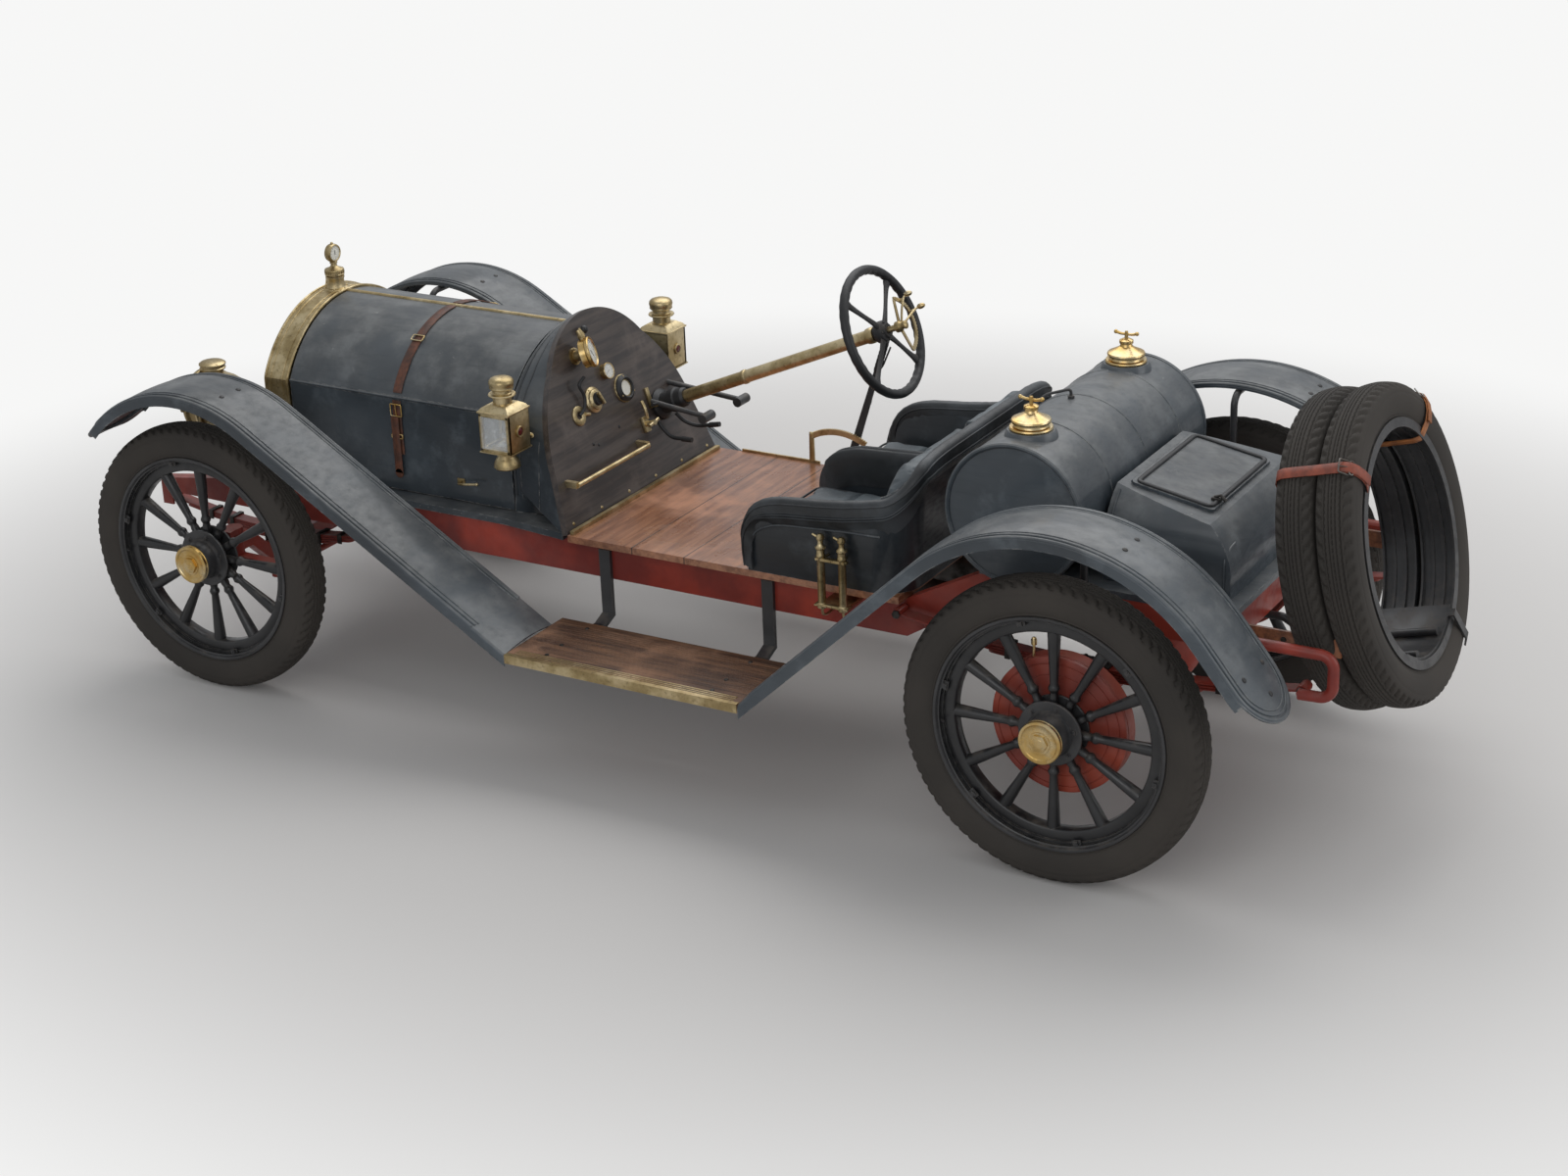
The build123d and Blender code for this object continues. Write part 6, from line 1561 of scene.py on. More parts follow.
def soft_pad(node, sign, seams, name, face_axis, face_sign):
    """A cushion blown up as cloth inside its CAD solid, held down along its seams."""
    form, low, high = pad_start(node, sign)
    mesh = form.mesh(name)
    pad = bpy.data.objects.new(name, mesh)
    bpy.context.scene.collection.objects.link(pad)
    remesh = pad.modifiers.new("remesh", "REMESH")
    remesh.mode = "VOXEL"
    remesh.voxel_size = PAD_VOXEL
    fine = frozen(pad)
    pad.data = fine
    bpy.data.meshes.remove(mesh)
    centre = (low + high) / 2
    face = high[face_axis] if face_sign > 0 else low[face_axis]
    held = []
    for vertex in fine.vertices:
        depth = abs(vertex.co[face_axis] - face)
        if depth < 0.03 and stitched(vertex.co, low, high, seams):
            held.append(vertex.index)
            vertex.co[face_axis] += (centre[face_axis] - face) * 0.16
    group = pad.vertex_groups.new(name="held")
    group.add(held, 1.0, "REPLACE")
    start = [vertex.co.copy() for vertex in fine.vertices]
    cloth = pad.modifiers.new("cloth", "CLOTH")
    for key, value in PAD_CLOTH.items():
        setattr(cloth.settings, key, value)
    cloth.settings.effector_weights.gravity = 0.0
    cloth.point_cache.frame_start = 1
    cloth.point_cache.frame_end = PAD_FRAMES
    scene = bpy.context.scene
    for number in range(1, PAD_FRAMES + 1):
        scene.frame_set(number)
    pad.data = frozen(pad)
    bpy.data.meshes.remove(fine)
    scene.frame_set(1)
    inner_low, inner_high = low + PAD_CLEAR, high - PAD_CLEAR
    for vertex, first in zip(pad.data.vertices, start):
        move = vertex.co - first
        if move.length > PAD_MOVE:
            vertex.co = first + move * (PAD_MOVE / move.length)
        for i in range(3):
            vertex.co[i] = min(max(vertex.co[i], inner_low[i]), inner_high[i])
    smooth = pad.modifiers.new("round", "SUBSURF")
    smooth.levels = 1
    smooth.render_levels = 1
    final = frozen(pad)
    bpy.data.objects.remove(pad)
    piece = place_piece(name, final, FINISH["cushion"], "car", None, [node])
    final.shade_smooth()
    return low, high


def seam_cord(form, low, high, axis, share, face_axis, face_sign, radius=0.0026):
    """Stitched piping along one seam of a pad's face."""
    other = 3 - axis - face_axis
    face = (high if face_sign > 0 else low)[face_axis]
    depth = (high[face_axis] - low[face_axis]) * 0.5
    points = []
    for i in range(41):
        point = Vector()
        point[axis] = low[axis] + (high[axis] - low[axis]) * share
        point[other] = low[other] + 0.016 + (high[other] - low[other] - 0.032) * i / 40
        point[face_axis] = face - face_sign * (0.0115 + depth * 0.16)
        points.append(point)
    form.tube(points, radius, 8)


def edge_piping(form, low, high, face_axis, face_sign, radius=0.0036):
    """Piping round the edge of a pad's face."""
    first, second = [i for i in range(3) if i != face_axis]
    face = (high if face_sign > 0 else low)[face_axis] - face_sign * 0.0165
    corners = []
    for a, b in ((0, 0), (1, 0), (1, 1), (0, 1), (0, 0)):
        point = Vector()
        point[first] = (low[first] + 0.006) if a == 0 else (high[first] - 0.006)
        point[second] = (low[second] + 0.006) if b == 0 else (high[second] - 0.006)
        point[face_axis] = face
        corners.append(point)
    start = corners[0].lerp(corners[1], 0.5)
    line = rounded([start, corners[1], corners[2], corners[3], corners[0], start], 0.03, 6)
    form.tube(dense(line[:-1], 0.02), radius, 8, loop=True)


class ROADSTER_OT_seats(bpy.types.Operator):
    """Leather seats: blown-up cushions and backs, a padded roll round the body, and piping."""

    bl_idname = "roadster.seats"
    bl_label = "Seats"

    def execute(self, context):
        piping = Form()
        for side, sign in SIDES:
            box = soft_pad("seat_cushions", sign, [(0, 0.6)], f"seat_cushion_{side}", 2, 1)
            edge_piping(piping, *box, 2, 1)
            seam_cord(piping, *box, 0, 0.6, 2, 1)
            seams = [(1, share) for share in (0.2, 0.4, 0.6, 0.8)]
            soft_pad("seat_backs", sign, seams, f"seat_back_{side}", 0, 1)
        piping.finish("seat_piping", FINISH["leather"], "car", "leather", 60)

        line = dense(rim_line(), 0.014)
        frames = rim_frames(line)
        roll = Form().skin(swept(line, frames, ROLL, 0.0011), caps=True)
        roll.finish("seat_roll", FINISH["leather"], "car", "leather", 75)
        cords = Form()
        for out, up in mm(21.5, -2, 17.5, -45.5, 19, -37.5, -18, -6):
            cords.tube([rim_spot(point, rim, out, up) for point, rim in zip(line, frames)], 0.003, 8)
        cords.finish("seat_roll_piping", FINISH["leather"], "car", "leather", 60)

        top = []
        node = "seat_body"
        for i in range(40):
            x = REAR + 0.6 + 0.5 * i / 39
            found = met(node, (x, 0.0, 1.3), (0, 0, -1))
            if found and found[0].z > 0.72:
                top.append(found[0])
        if len(top) > 4:
            line = dense(smoothed(top, 2), 0.012)
            frames = [(Vector((0, 1, 0)), Vector((0, 0, 1)), 1.0) for _ in line]
            half = mm(18, -110, 20.5, -60, 23.5, -20, 23, 2, 18.5, 9.5, 12, 12, 6, 9, 2.5, 3.5)
            section = half + [(-a, b) for a, b in reversed(half)]
            Form().skin(swept(line, frames, section, 0.0008), caps=True).finish("seat_divider_pad",
                FINISH["leather"], "car", "leather", 75)

        bead = Form()
        for _, sign in SIDES:
            rays = []
            for i in range(60):
                x = REAR + 0.66 + 0.45 * i / 59
                z = between(ARM_PROFILE, x - REAR) - 0.078
                if z > 0.66:
                    rays.append(((x, sign * 0.8, z), (0, -sign, 0)))
            line = [point for point, _ in draped("seat_body", rays, 0.001)]
            if len(line) > 4:
                bead.tube(smoothed(line, 2), 0.0036, 8)
        bead.finish("seat_panel_bead", FINISH["slate"], "car", "slate_paint", 60)
        return {"FINISHED"}


# Hood and cowl
def fan(first, last, steps):
    """Directions across the car at even angles in degrees, from its left side over its top."""
    for i in range(steps + 1):
        angle = radians(first + (last - first) * i / steps)
        yield Vector((0, cos(angle), sin(angle)))


STRAP_X = FRONT - 0.545


class ROADSTER_OT_hood(bpy.types.Operator):
    """Hood strap with its buckles, hood latches, and the raised bands of the cowl."""

    bl_idname = "roadster.hood"
    bl_label = "Hood fittings"

    def execute(self, context):
        centre = Vector((STRAP_X, 0, 0.86))
        points, normals = [], []
        for out in fan(-14, 194, 56):
            for node in ("hood_left", "hood_right", "hood_side_left", "hood_side_right", "cowl"):
                found = met(node, centre + out * 0.8, -out, 0.0025)
                if found and (not points or (found[0] - points[-1]).length < 0.12):
                    points.append(found[0])
                    normals.append(out)
                    break
        points = smoothed(points, 2)
        for side, sign in SIDES:
            mine = [(point, out) for point, out in zip(points, normals) if point.y * sign > -0.01]
            top = [pair for pair in mine if pair[0].z > 0.96]
            flank = [pair for pair in mine if pair[0].z < 0.972]
            over = Form().ribbon([point for point, _ in top], [out for _, out in top], 0.034, 0.004)
            over.finish(f"hood_strap_top_{side}", FINISH["strap"], f"hood_half_{side}", "leather", 50)
            down = Form().ribbon([point for point, _ in flank], [out for _, out in flank], 0.034, 0.004)
            line = [Vector((STRAP_X + 0.004, sign * 0.358, z)) for z in (0.905, 0.85, 0.78, 0.735, 0.712)]
            down.ribbon(line, [Vector((0, sign, 0))] * len(line), 0.031, 0.0036)
            tail = at(line[-1] + Vector((0, 0, -0.002)), (0, sign, 0))
            down.lathe(mm(0, 0, 15.5, 0, 15.5, 3.6, 0, 3.6), tail, 20, False)
            down.finish(f"hood_strap_side_{side}", FINISH["strap"], f"hood_panel_{side}", "leather", 50)
            angle = radians(52)
            out = Vector((0, sign * cos(angle), sin(angle)))
            found = met(f"hood_{side}", centre + out * 0.8, -out, 0.0085)
            spots = [(Vector((STRAP_X, sign * 0.355, 0.925)), Vector((0, sign, 0)), 0.04, "panel"),
                (Vector((STRAP_X, sign * 0.359, 0.838)), Vector((0, sign, 0)), 0.014, "panel"),
                (found[0], found[1], 0.022, "half")]
            for share in ("panel", "half"):
                buckles = Form()
                for spot, normal, size, on in spots:
                    if on != share:
                        continue
                    place = at(spot, normal, (1, 0, 0))
                    b = size / 2
                    buckles.tube(buckle_line(place, 0.0215, b, 0.004), 0.0024, 8, loop=True)
                    if size > 0.03:
                        buckles.tube(put(place, [(0, b, 0), (0, -b - 0.004, 0.003)]), 0.0018, 8)
                buckles.finish(f"hood_buckles_{share}_{side}", FINISH["bright_brass"],
                    f"hood_{share}_{side}", "brass", 50)

        for side, sign in SIDES:
            form = Form()
            for x in (FRONT - 0.235, FRONT - 0.78):
                spot = Vector((x, sign * 0.3455, 0.712))
                form.block((0.03, 0.024, 0.004), at(spot, (0, sign, 0)), 0.001)
                bar = [spot + Vector(v) for v in ((0, sign * 0.004, 0), (0, sign * 0.02, 0),
                    (-0.03, sign * 0.024, 0.003), (-0.078, sign * 0.022, 0.01))]
                form.tube(rounded(bar, 0.012), 0.0042, 10)
                form.ball(0.0062, at(bar[-1]), 12)
            form.finish(f"hood_latch_{side}", FINISH["brass"], f"hood_panel_{side}", "brass")

        bands = Form()
        for x, radius in ((FRONT - 1.0, 0.0055), (FRONT - 1.03, 0.0028), (FRONT - 1.12, 0.0022),
                (FRONT - 1.236, 0.006)):
            line = []
            for out in fan(-16, 196, 60):
                found = met("cowl", Vector((x, 0, 0.8)) + out * 0.9, -out, 0.0003)
                if found and found[0].z > 0.655:
                    line.append(found[0])
            if len(line) > 6:
                bands.tube(smoothed(line, 3), radius, 8)
        bands.finish("cowl_bands", FINISH["slate_deep"], "car", "slate_paint", 60)

        rivets = Form()
        for _, sign in SIDES:
            mesh = repeated("row", FINISH["slate"], Form().ball(0.003, None, 8, 0.6), Count=28,
                Pitch=(-0.033, 0.0, 0.0))
            rivets.take(mesh, shift(FRONT - 0.06, sign * 0.4085, 0.632))
        rivets.finish("sill_rivets", FINISH["slate"], "car", "slate_paint")
        return {"FINISHED"}


# Dash board instruments
DASH_LEAN = radians(18.8)
DASH_FOOT = Vector((FRONT - 1.258, 0, 0.642))
DASH_UP = Vector((sin(DASH_LEAN), 0, cos(DASH_LEAN)))
DASH_OUT = Vector((-cos(DASH_LEAN), 0, sin(DASH_LEAN)))


def on_dash(y, up, out=0.0):
    """A frame on the dash board's rear face: Z out of the board, X toward the car's left."""
    return at(DASH_FOOT + Vector((0, y, 0)) + DASH_UP * up + DASH_OUT * out, DASH_OUT, (0, 1, 0))


def dial(case, face, ink, glass_form, place, radius, depth, ticks=24, hand=0.7):
    """A round instrument: turned case, pale face with ticks and a hand, and its glass."""
    r, d = radius, depth
    case.lathe([(0, 0), (r * 0.92, 0), (r * 0.92, d * 0.55), (r * 0.97, d * 0.6), (r, d * 0.68),
        (r, d * 0.92), (r * 0.965, d), (r * 0.9, d), (r * 0.87, d * 0.92), (r * 0.86, d * 0.8),
        (0, d * 0.8)], place, 48, False)
    face.lathe([(0, d * 0.805), (r * 0.855, d * 0.805), (r * 0.855, d * 0.83), (0, d * 0.83)], place, 48,
        False)
    tick = Form().block((r * 0.1, r * 0.022, 0.0006), shift(r * 0.74, 0, d * 0.835), 0)
    ink.take(repeated("ring", FINISH["ink"], tick, Count=ticks, Radius=0.0, Turn=0.0), place)
    strong = Form().block((r * 0.17, r * 0.045, 0.0006), shift(r * 0.71, 0, d * 0.836), 0)
    ink.take(repeated("ring", FINISH["ink"], strong, Count=6, Radius=0.0, Turn=0.0), place)
    needle = [place @ Vector((x * cos(hand), x * sin(hand), d * 0.86)) for x in (-r * 0.16, r * 0.62)]
    ink.tube(needle, [r * 0.03, r * 0.008], 6)
    ink.lathe([(0, d * 0.83), (r * 0.08, d * 0.83), (r * 0.06, d * 0.89), (0, d * 0.89)], place, 16, False)
    glass_form.lathe([(0, d * 0.935), (r * 0.88, d * 0.925), (r * 0.88, d * 0.905), (0, d * 0.915)],
        place, 40, False)


class ROADSTER_OT_dash(bpy.types.Operator):
    """Gauges, valves, knobs and the column's socket on the dash board."""

    bl_idname = "roadster.dash"
    bl_label = "Dash board instruments"

    def execute(self, context):
        case, face, ink, clear = Form(), Form(), Form(), Form()
        dark, gold = Form(), Form()
        turned = Matrix.Rotation(radians(-24), 4, "Y")
        large = on_dash(0.12, 0.495, 0.036) @ turned
        gold.tube([on_dash(0.12, 0.495) @ Vector((0, 0, -0.002)), large @ Vector((0, 0, 0.004))], 0.018, 20)
        gold.lathe(mm(0, 0, 28, 0, 28, 4, 20, 7, 0, 7), on_dash(0.12, 0.495), 32, False)
        dial(case, face, ink, clear, large, 0.05, 0.034, 36, 2.2)
        stem = put(large, mm3(0, -40, 14, 0, -62, 14, 0, -78, 10))
        gold.tube(stem, [0.01, 0.012, 0.009], 16)
        gold.plate(hex_outline(0.0135), 0.01, at(stem[1], stem[0] - stem[1]), 0.001)
        dial(case, face, ink, clear, on_dash(-0.002, 0.407), 0.027, 0.02, 12, 0.5)

        ring = on_dash(-0.065, 0.33)
        dark.lathe(mm(0, 0, 44, 0, 44, 10, 40, 16, 33, 20, 29, 18, 27, 10, 0, 10), ring, 48, False)
        gold.lathe(mm(27.5, 10, 27.5, 13, 24.5, 13, 24.5, 10), ring, 40)
        gold.lathe(mm(44, 0, 47, 0, 46.5, 4, 44, 5), ring, 48)
        face.lathe(mm(0, 10.1, 24.3, 10.1, 24.3, 11.2, 0, 11.2), ring, 32, False)
        screw = Form().ball(0.003, shift(0.0385, 0, 0.017), 8, 0.5)
        gold.take(repeated("ring", FINISH["brass"], screw, Count=3, Radius=0.0, Turn=0.5), ring)

        switch = on_dash(0.105, 0.343)
        gold.lathe(mm(0, 0, 42, 0, 42, 6, 34, 10, 32, 16, 24, 20, 0, 20), switch, 48, False)
        dark.lathe(mm(0, 20, 22, 20, 20, 30, 0, 31), switch, 32, False)
        gold.block((0.044, 0.009, 0.012), switch @ shift(0, 0, 0.036) @ Matrix.Rotation(1.9, 4, "Z"), 0.003)
        gold.take(repeated("ring", FINISH["brass"], Form().ball(0.0032, shift(0.037, 0, 0.0085), 8, 0.6),
            Count=4, Radius=0.0, Turn=0.4), switch)

        hook = on_dash(0.2, 0.318)
        gold.lathe(mm(12, 0, 32, 0, 32, 4, 28, 6, 16, 6, 12, 4), hook, 40)
        gold.tube(put(hook, [(-0.03, 0.004, 0.003), (-0.052, 0.01, 0.004)]), 0.006, 12)
        pipe = [on_dash(0.15, 0.428, 0.034).translation, on_dash(0.178, 0.412, 0.022).translation,
            on_dash(0.158, 0.37, 0.018).translation, on_dash(0.168, 0.335, 0.012).translation,
            hook.translation + DASH_OUT * 0.006]
        dark.tube(rounded(pipe, 0.03), 0.0055, 12)
        knob = on_dash(0.05, 0.562)
        gold.lathe(mm(0, 0, 9, 0, 7, 6, 0, 6), knob, 20, False)
        dark.ball(0.0135, knob @ shift(0, 0, 0.018), 20, 0.9)

        for y, up in mm(-225, 255, 20, 225, 175, 215, 150, 205):
            dark.ball(0.0055, on_dash(y, up), 12, 0.7)
        for y in (-0.4, -0.24, -0.08, 0.08, 0.24, 0.4):
            gold.ball(0.0058, on_dash(y, 0.022), 12, 0.5)

        axis = Vector((-cos(TILT), 0, sin(TILT)))
        foot = WHEEL_AT - axis * (WHEEL_AT - DASH_FOOT).dot(DASH_OUT) / axis.dot(DASH_OUT)
        collar = at(foot, axis, (0, 1, 0))
        dark.lathe(mm(22, -12, 52, -10, 52, 10, 44, 18, 36, 22, 34, 50, 40, 54, 40, 76, 34, 80, 32, 104,
            26, 112, 22, 112), collar, 48)
        levers = [mm3(75, 30, 20, 75, 60, 24, 80, 105, 50, 82, 120, 92),
            mm3(-20, 45, 30, -30, 80, 40, -40, 110, 75, -42, 120, 125)]
        for lever in levers:
            points = rounded([collar @ Vector((y, x, z)) for y, x, z in lever], 0.02)
            dark.tube(points, 0.0065, 12)
            dark.tube([points[-1], points[-1] + (points[-1] - points[-3]).normalized() * 0.038],
                [0.0095, 0.0085], 14)
        valve = on_dash(-0.11, 0.19)
        gold.block((0.03, 0.052, 0.012), valve @ shift(0, 0, 0.006), 0.003)
        gold.tube(put(valve, [(0, 0, 0.01), (0, 0, 0.046)]), 0.009, 16)
        gold.tube(put(valve, [(0.028, 0.004, 0.04), (-0.028, -0.004, 0.04)]), [0.006, 0.006], 12)
        gold.tube(rounded(put(valve, mm3(0, -18, 20, 4, -48, 28, 0, -78, 20)), 0.02), 0.006, 12)
        bracket = on_dash(-0.175, 0.262)
        gold.block((0.018, 0.07, 0.008), bracket @ shift(0, 0, 0.004), 0.002)
        gold.block((0.018, 0.01, 0.034), bracket @ shift(0, 0.028, 0.016), 0.002)
        dark.tube(put(bracket, [(-0.02, 0.028, 0.026), (0.03, 0.02, 0.03)]), 0.006, 12)

        case.finish("dial_cases", FINISH["bright_brass"], "car", "brass", 32, ["instruments"])
        face.finish("dial_faces", FINISH["dial"], "car", "brass")
        ink.finish("dial_marks", FINISH["ink"], "car", "black_paint")
        clear.finish("dial_glasses", FINISH["glass"], "car", "glass")
        gold.finish("dash_brass", FINISH["brass"], "car", "brass", 32)
        dark.finish("dash_controls", FINISH["rubber_black"], "car", "black_paint", 32)
        return {"FINISHED"}


# Side lamps
class ROADSTER_OT_lamps(bpy.types.Operator):
    """Square brass side lamps: panelled body, hooded chimney, jewel and glass."""

    bl_idname = "roadster.lamps"
    bl_label = "Side lamps"

    def execute(self, context):
        body, clear, jewel, inside = Form(), Form(), Form(), Form()
        for _, sign in SIDES:
            centre = Vector((FRONT - 1.056, sign * 0.4605, 0))
            place = Matrix.Translation(centre) @ Matrix.Scale(sign, 4, (0, 1, 0))
            low, high, half = 0.905, 1.033, 0.056

            def panel(size, spot, bevel=0.002):
                body.block(size, place @ Matrix.Translation(spot), bevel)

            middle_z = (low + high) / 2
            tall = high - low
            panel((2 * half, 2 * half, 0.006), (0, 0, low + 0.003))
            panel((2 * half, 2 * half, 0.006), (0, 0, high - 0.003))
            panel((0.005, 2 * half, tall), (-half + 0.0025, 0, middle_z))
            panel((2 * half, 0.005, tall), (0, -half + 0.0025, middle_z))
            for x in (-half + 0.006, half - 0.006):
                panel((0.012, 0.012, tall), (x, half - 0.006, middle_z))
            panel((0.012, 0.012, tall), (half - 0.006, -half + 0.006, middle_z))
            for z in (low + 0.008, high - 0.008):
                panel((2 * half, 0.01, 0.01), (0, half - 0.005, z))
                panel((0.01, 2 * half, 0.01), (half - 0.005, 0, z))
            wide = 2 * half + 0.006
            panel((wide, wide, 0.005), (0, 0, low - 0.001), 0.0015)
            panel((wide + 0.002, wide + 0.002, 0.006), (0, 0, high + 0.001), 0.002)
            rows = []
            around = ((1, 1), (-1, 1), (-1, -1), (1, -1))
            for reach, rise in ((half + 0.001, 0.0), (half - 0.006, 0.01), (0.034, 0.02)):
                level = high + 0.003 + rise
                rows.append([place @ Vector((a * reach, b * reach, level)) for a, b in around])
            body.skin(rows, caps=True)
            top = at(place @ Vector((0, 0, high + 0.018)))
            body.lathe(mm(0, 0, 30, 0, 30, 26, 42, 30, 44, 33, 42, 36, 31, 38, 29, 40, 29, 50, 36, 52,
                38.5, 55, 37.5, 60, 38.5, 64, 40, 70, 38.5, 78, 33, 84, 20, 88.5, 0, 90), top, 48, False)
            foot = at(place @ Vector((0, 0, low)), (0, 0, -1))
            body.lathe(mm(0, 0, 28, 0, 28, 10, 24, 14, 26, 20, 33, 30, 39, 42, 42, 52, 42.5, 58, 39, 62,
                0, 62), foot, 48, False)
            rear = at(place @ Vector((-half, 0.0, middle_z)), (-1, 0, 0))
            body.lathe(mm(12.5, 0, 19, 0, 19, 4, 16.5, 6, 12.5, 5), rear, 32)
            jewel.ball(0.013, rear @ shift(0, 0, 0.001), 20, 0.45)
            clear.block((2 * half - 0.022, 0.003, tall - 0.022), place @ shift(0, half - 0.006, middle_z),
                0.0008)
            clear.block((0.003, 2 * half - 0.022, tall - 0.022), place @ shift(half - 0.006, 0, middle_z),
                0.0008)
            burner = at(place @ Vector((0, 0, low + 0.006)))
            inside.lathe(mm(0, 0, 22, 0, 22, 14, 12, 20, 9, 34, 12, 38, 0, 40), burner, 28, False)
            mirror = at(place @ Vector((-half + 0.006, -0.01, middle_z)), (0.9, 0.3, 0))
            inside.lathe(mm(0, 0, 18, 3, 32, 12, 34, 12, 20, 1, 0, -2), mirror, 32, False)
            arm = put(place, [(0, -half, 0.925), (0, -0.075, 0.925), (-0.012, -0.092, 0.923),
                (-0.03, -0.104, 0.92)])
            body.tube(rounded(arm, 0.012), 0.01, 14)
            body.ball(0.013, at(place @ Vector((-0.03, -0.104, 0.92))), 16, 0.8)
        body.finish("side_lamp_bodies", FINISH["brass"], "car", "brass", 32, ["side_lamps"])
        clear.finish("side_lamp_glass", FINISH["glass"], "car", "glass")
        jewel.finish("side_lamp_jewels", FINISH["jewel"], "car", "glass")
        inside.finish("side_lamp_burners", FINISH["bright_brass"], "car", "brass")
        return {"FINISHED"}


# Radiator and headlamps
def ring_of(form, frame, count, radius, lift, shape, finish, turn=0.0):
    """Take copies of a small shape set in a ring about a frame's Z."""
    small = Form()
    shape(small)
    form.take(repeated("ring", finish, small, Count=count, Radius=radius, Turn=turn),
        frame @ shift(0, 0, lift))


def hex_head(size=0.006, height=0.004):
    """A drawing of a hexagon bolt head with a domed top, at its own origin."""
    def draw(form):
        form.plate(hex_outline(size), height, None, 0.0007, 1)
        form.lathe([(size * 0.72, height - 0.0002), (size * 0.4, height + 0.001), (0, height + 0.0013)],
            None, 12, False)
    return draw


def chip(x, y, z, bevel):
    """A drawing of a small block with eased edges, about its own origin."""
    return lambda form: form.block((x, y, z), None, bevel, 1)


def core_cell(width):
    """One recessed six-sided cell of the radiator's comb, seen from ahead."""
    cell = Form()
    rows = []
    for reach, depth in ((0.577, 0), (0.43, 0), (0.4, -0.004), (0.37, -0.009)):
        turns = [tau * (i + 0.5) / 6 for i in range(6)]
        rows.append([Vector((depth, reach * width * cos(a), reach * width * sin(a))) for a in turns])
    cell.skin(rows)
    cell.bm.faces.new(cell.bm.verts[-6:])
    return cell


class ROADSTER_OT_radiator(bpy.types.Operator):
    """Honeycomb core, beaded brass shell, filler neck and the round meter on its cap."""

    bl_idname = "roadster.radiator"
    bl_label = "Radiator"

    def execute(self, context):
        width = 0.0136
        comb = Form()
        front = FRONT - 0.016
        for row in range(52):
            z = 0.608 + row * width * 0.866
            reach = 0.0
            for i in range(90):
                if not met("radiator_core", (FRONT + 0.5, i * 0.0035, z), (-1, 0, 0)):
                    break
                reach = i * 0.0035
            places = int((reach - 0.006) * 2 / width)
            if places < 3:
                continue
            places -= (row + places) % 2
            made = repeated("row", FINISH["core"], core_cell(width), Count=places, Pitch=(0.0, width, 0.0))
            comb.take(made, shift(front, -width * (places - 1) / 2, z))
        comb.finish("radiator_comb", FINISH["core"], "car", "core", 20)

        body = Form()
        for x, radius in ((FRONT - 0.002, 0.0045), (FRONT - 0.094, 0.0045), (FRONT - 0.024, 0.0022),
                (FRONT - 0.072, 0.0022)):
            rays = []
            for i in range(-10, 191):
                angle = radians(i)
                rays.append(((x, 0.6 * cos(angle), 0.8 + 0.6 * sin(angle)), (0, -cos(angle), -sin(angle))))
            line = [point for point, _ in draped("radiator_shell", rays)]
            line = [point for point in line if abs(point.y) > 0.035 or x > FRONT - 0.03]
            if len(line) > 8:
                body.tube(smoothed(line, 2), radius, 8)
        neck = at((FRONT - 0.048, 0, 0))
        low = 1.176
        body.lathe(mm(27.5, 0, 46, 0, 47, 6, 43, 10, 33, 12, 30, 18, 29.5, 40, 32, 44, 32, 50, 27.5, 52),
            neck @ shift(0, 0, low), 48)
        ring_of(body, neck, 6, 0.039, low + 0.01, hex_head(0.0042, 0.003), FINISH["brass"])
        cap = 1.231
        body.lathe(mm(0, 0, 33, 0, 33.5, 3, 31.5, 5, 31.5, 13, 33.5, 15, 32, 19, 18, 24, 11, 30, 9.5, 40,
            0, 41), neck @ shift(0, 0, cap), 48, False)
        ring_of(body, neck, 24, 0.0322, cap + 0.009, chip(0.003, 0.0035, 0.007, 0.0006), FINISH["brass"])
        middle = Vector((FRONT - 0.048, 0, 1.305))
        for toward in (1, -1):
            face = at(middle, (toward, 0, 0), (0, 0, 1))
            body.lathe(mm(23.5, 9, 25.5, 12.5, 29, 11.8, 31.2, 6, 31.2, 0, 23.5, 0), face, 48)
            pane = Form().lathe(mm(0, 10.2, 23.8, 9.6, 23.8, 8.5, 0, 8.5), face, 40, False)
            pane.finish(f"meter_face_{'front' if toward > 0 else 'rear'}", FINISH["dial"], "car", "glass",
                40)
            ink = Form()
            small = Form().block((0.003, 0.0007, 0.0003), None, 0.0, 1)
            ink.take(repeated("ring", FINISH["ink"], small, Count=12, Radius=0.0195),
                face @ shift(0, 0, 0.0102))
            ink.block((0.015, 0.0026, 0.0003), face @ shift(0.002, 0, 0.0105), 0.0, 1)
            ink.finish(f"meter_scale_{'front' if toward > 0 else 'rear'}", FINISH["ink"], "car", "glass",
                40)
        body.lathe(mm(9.5, 266, 13, 268, 13, 274, 9, 277), at(middle - Vector((0, 0, 0.305 - 0.001))), 24)
        body.ball(0.0052, at(middle + Vector((0, 0, 0.0325))), 14)
        body.finish("radiator_fittings", FINISH["brass"], "car", "brass", 34)
        return {"FINISHED"}


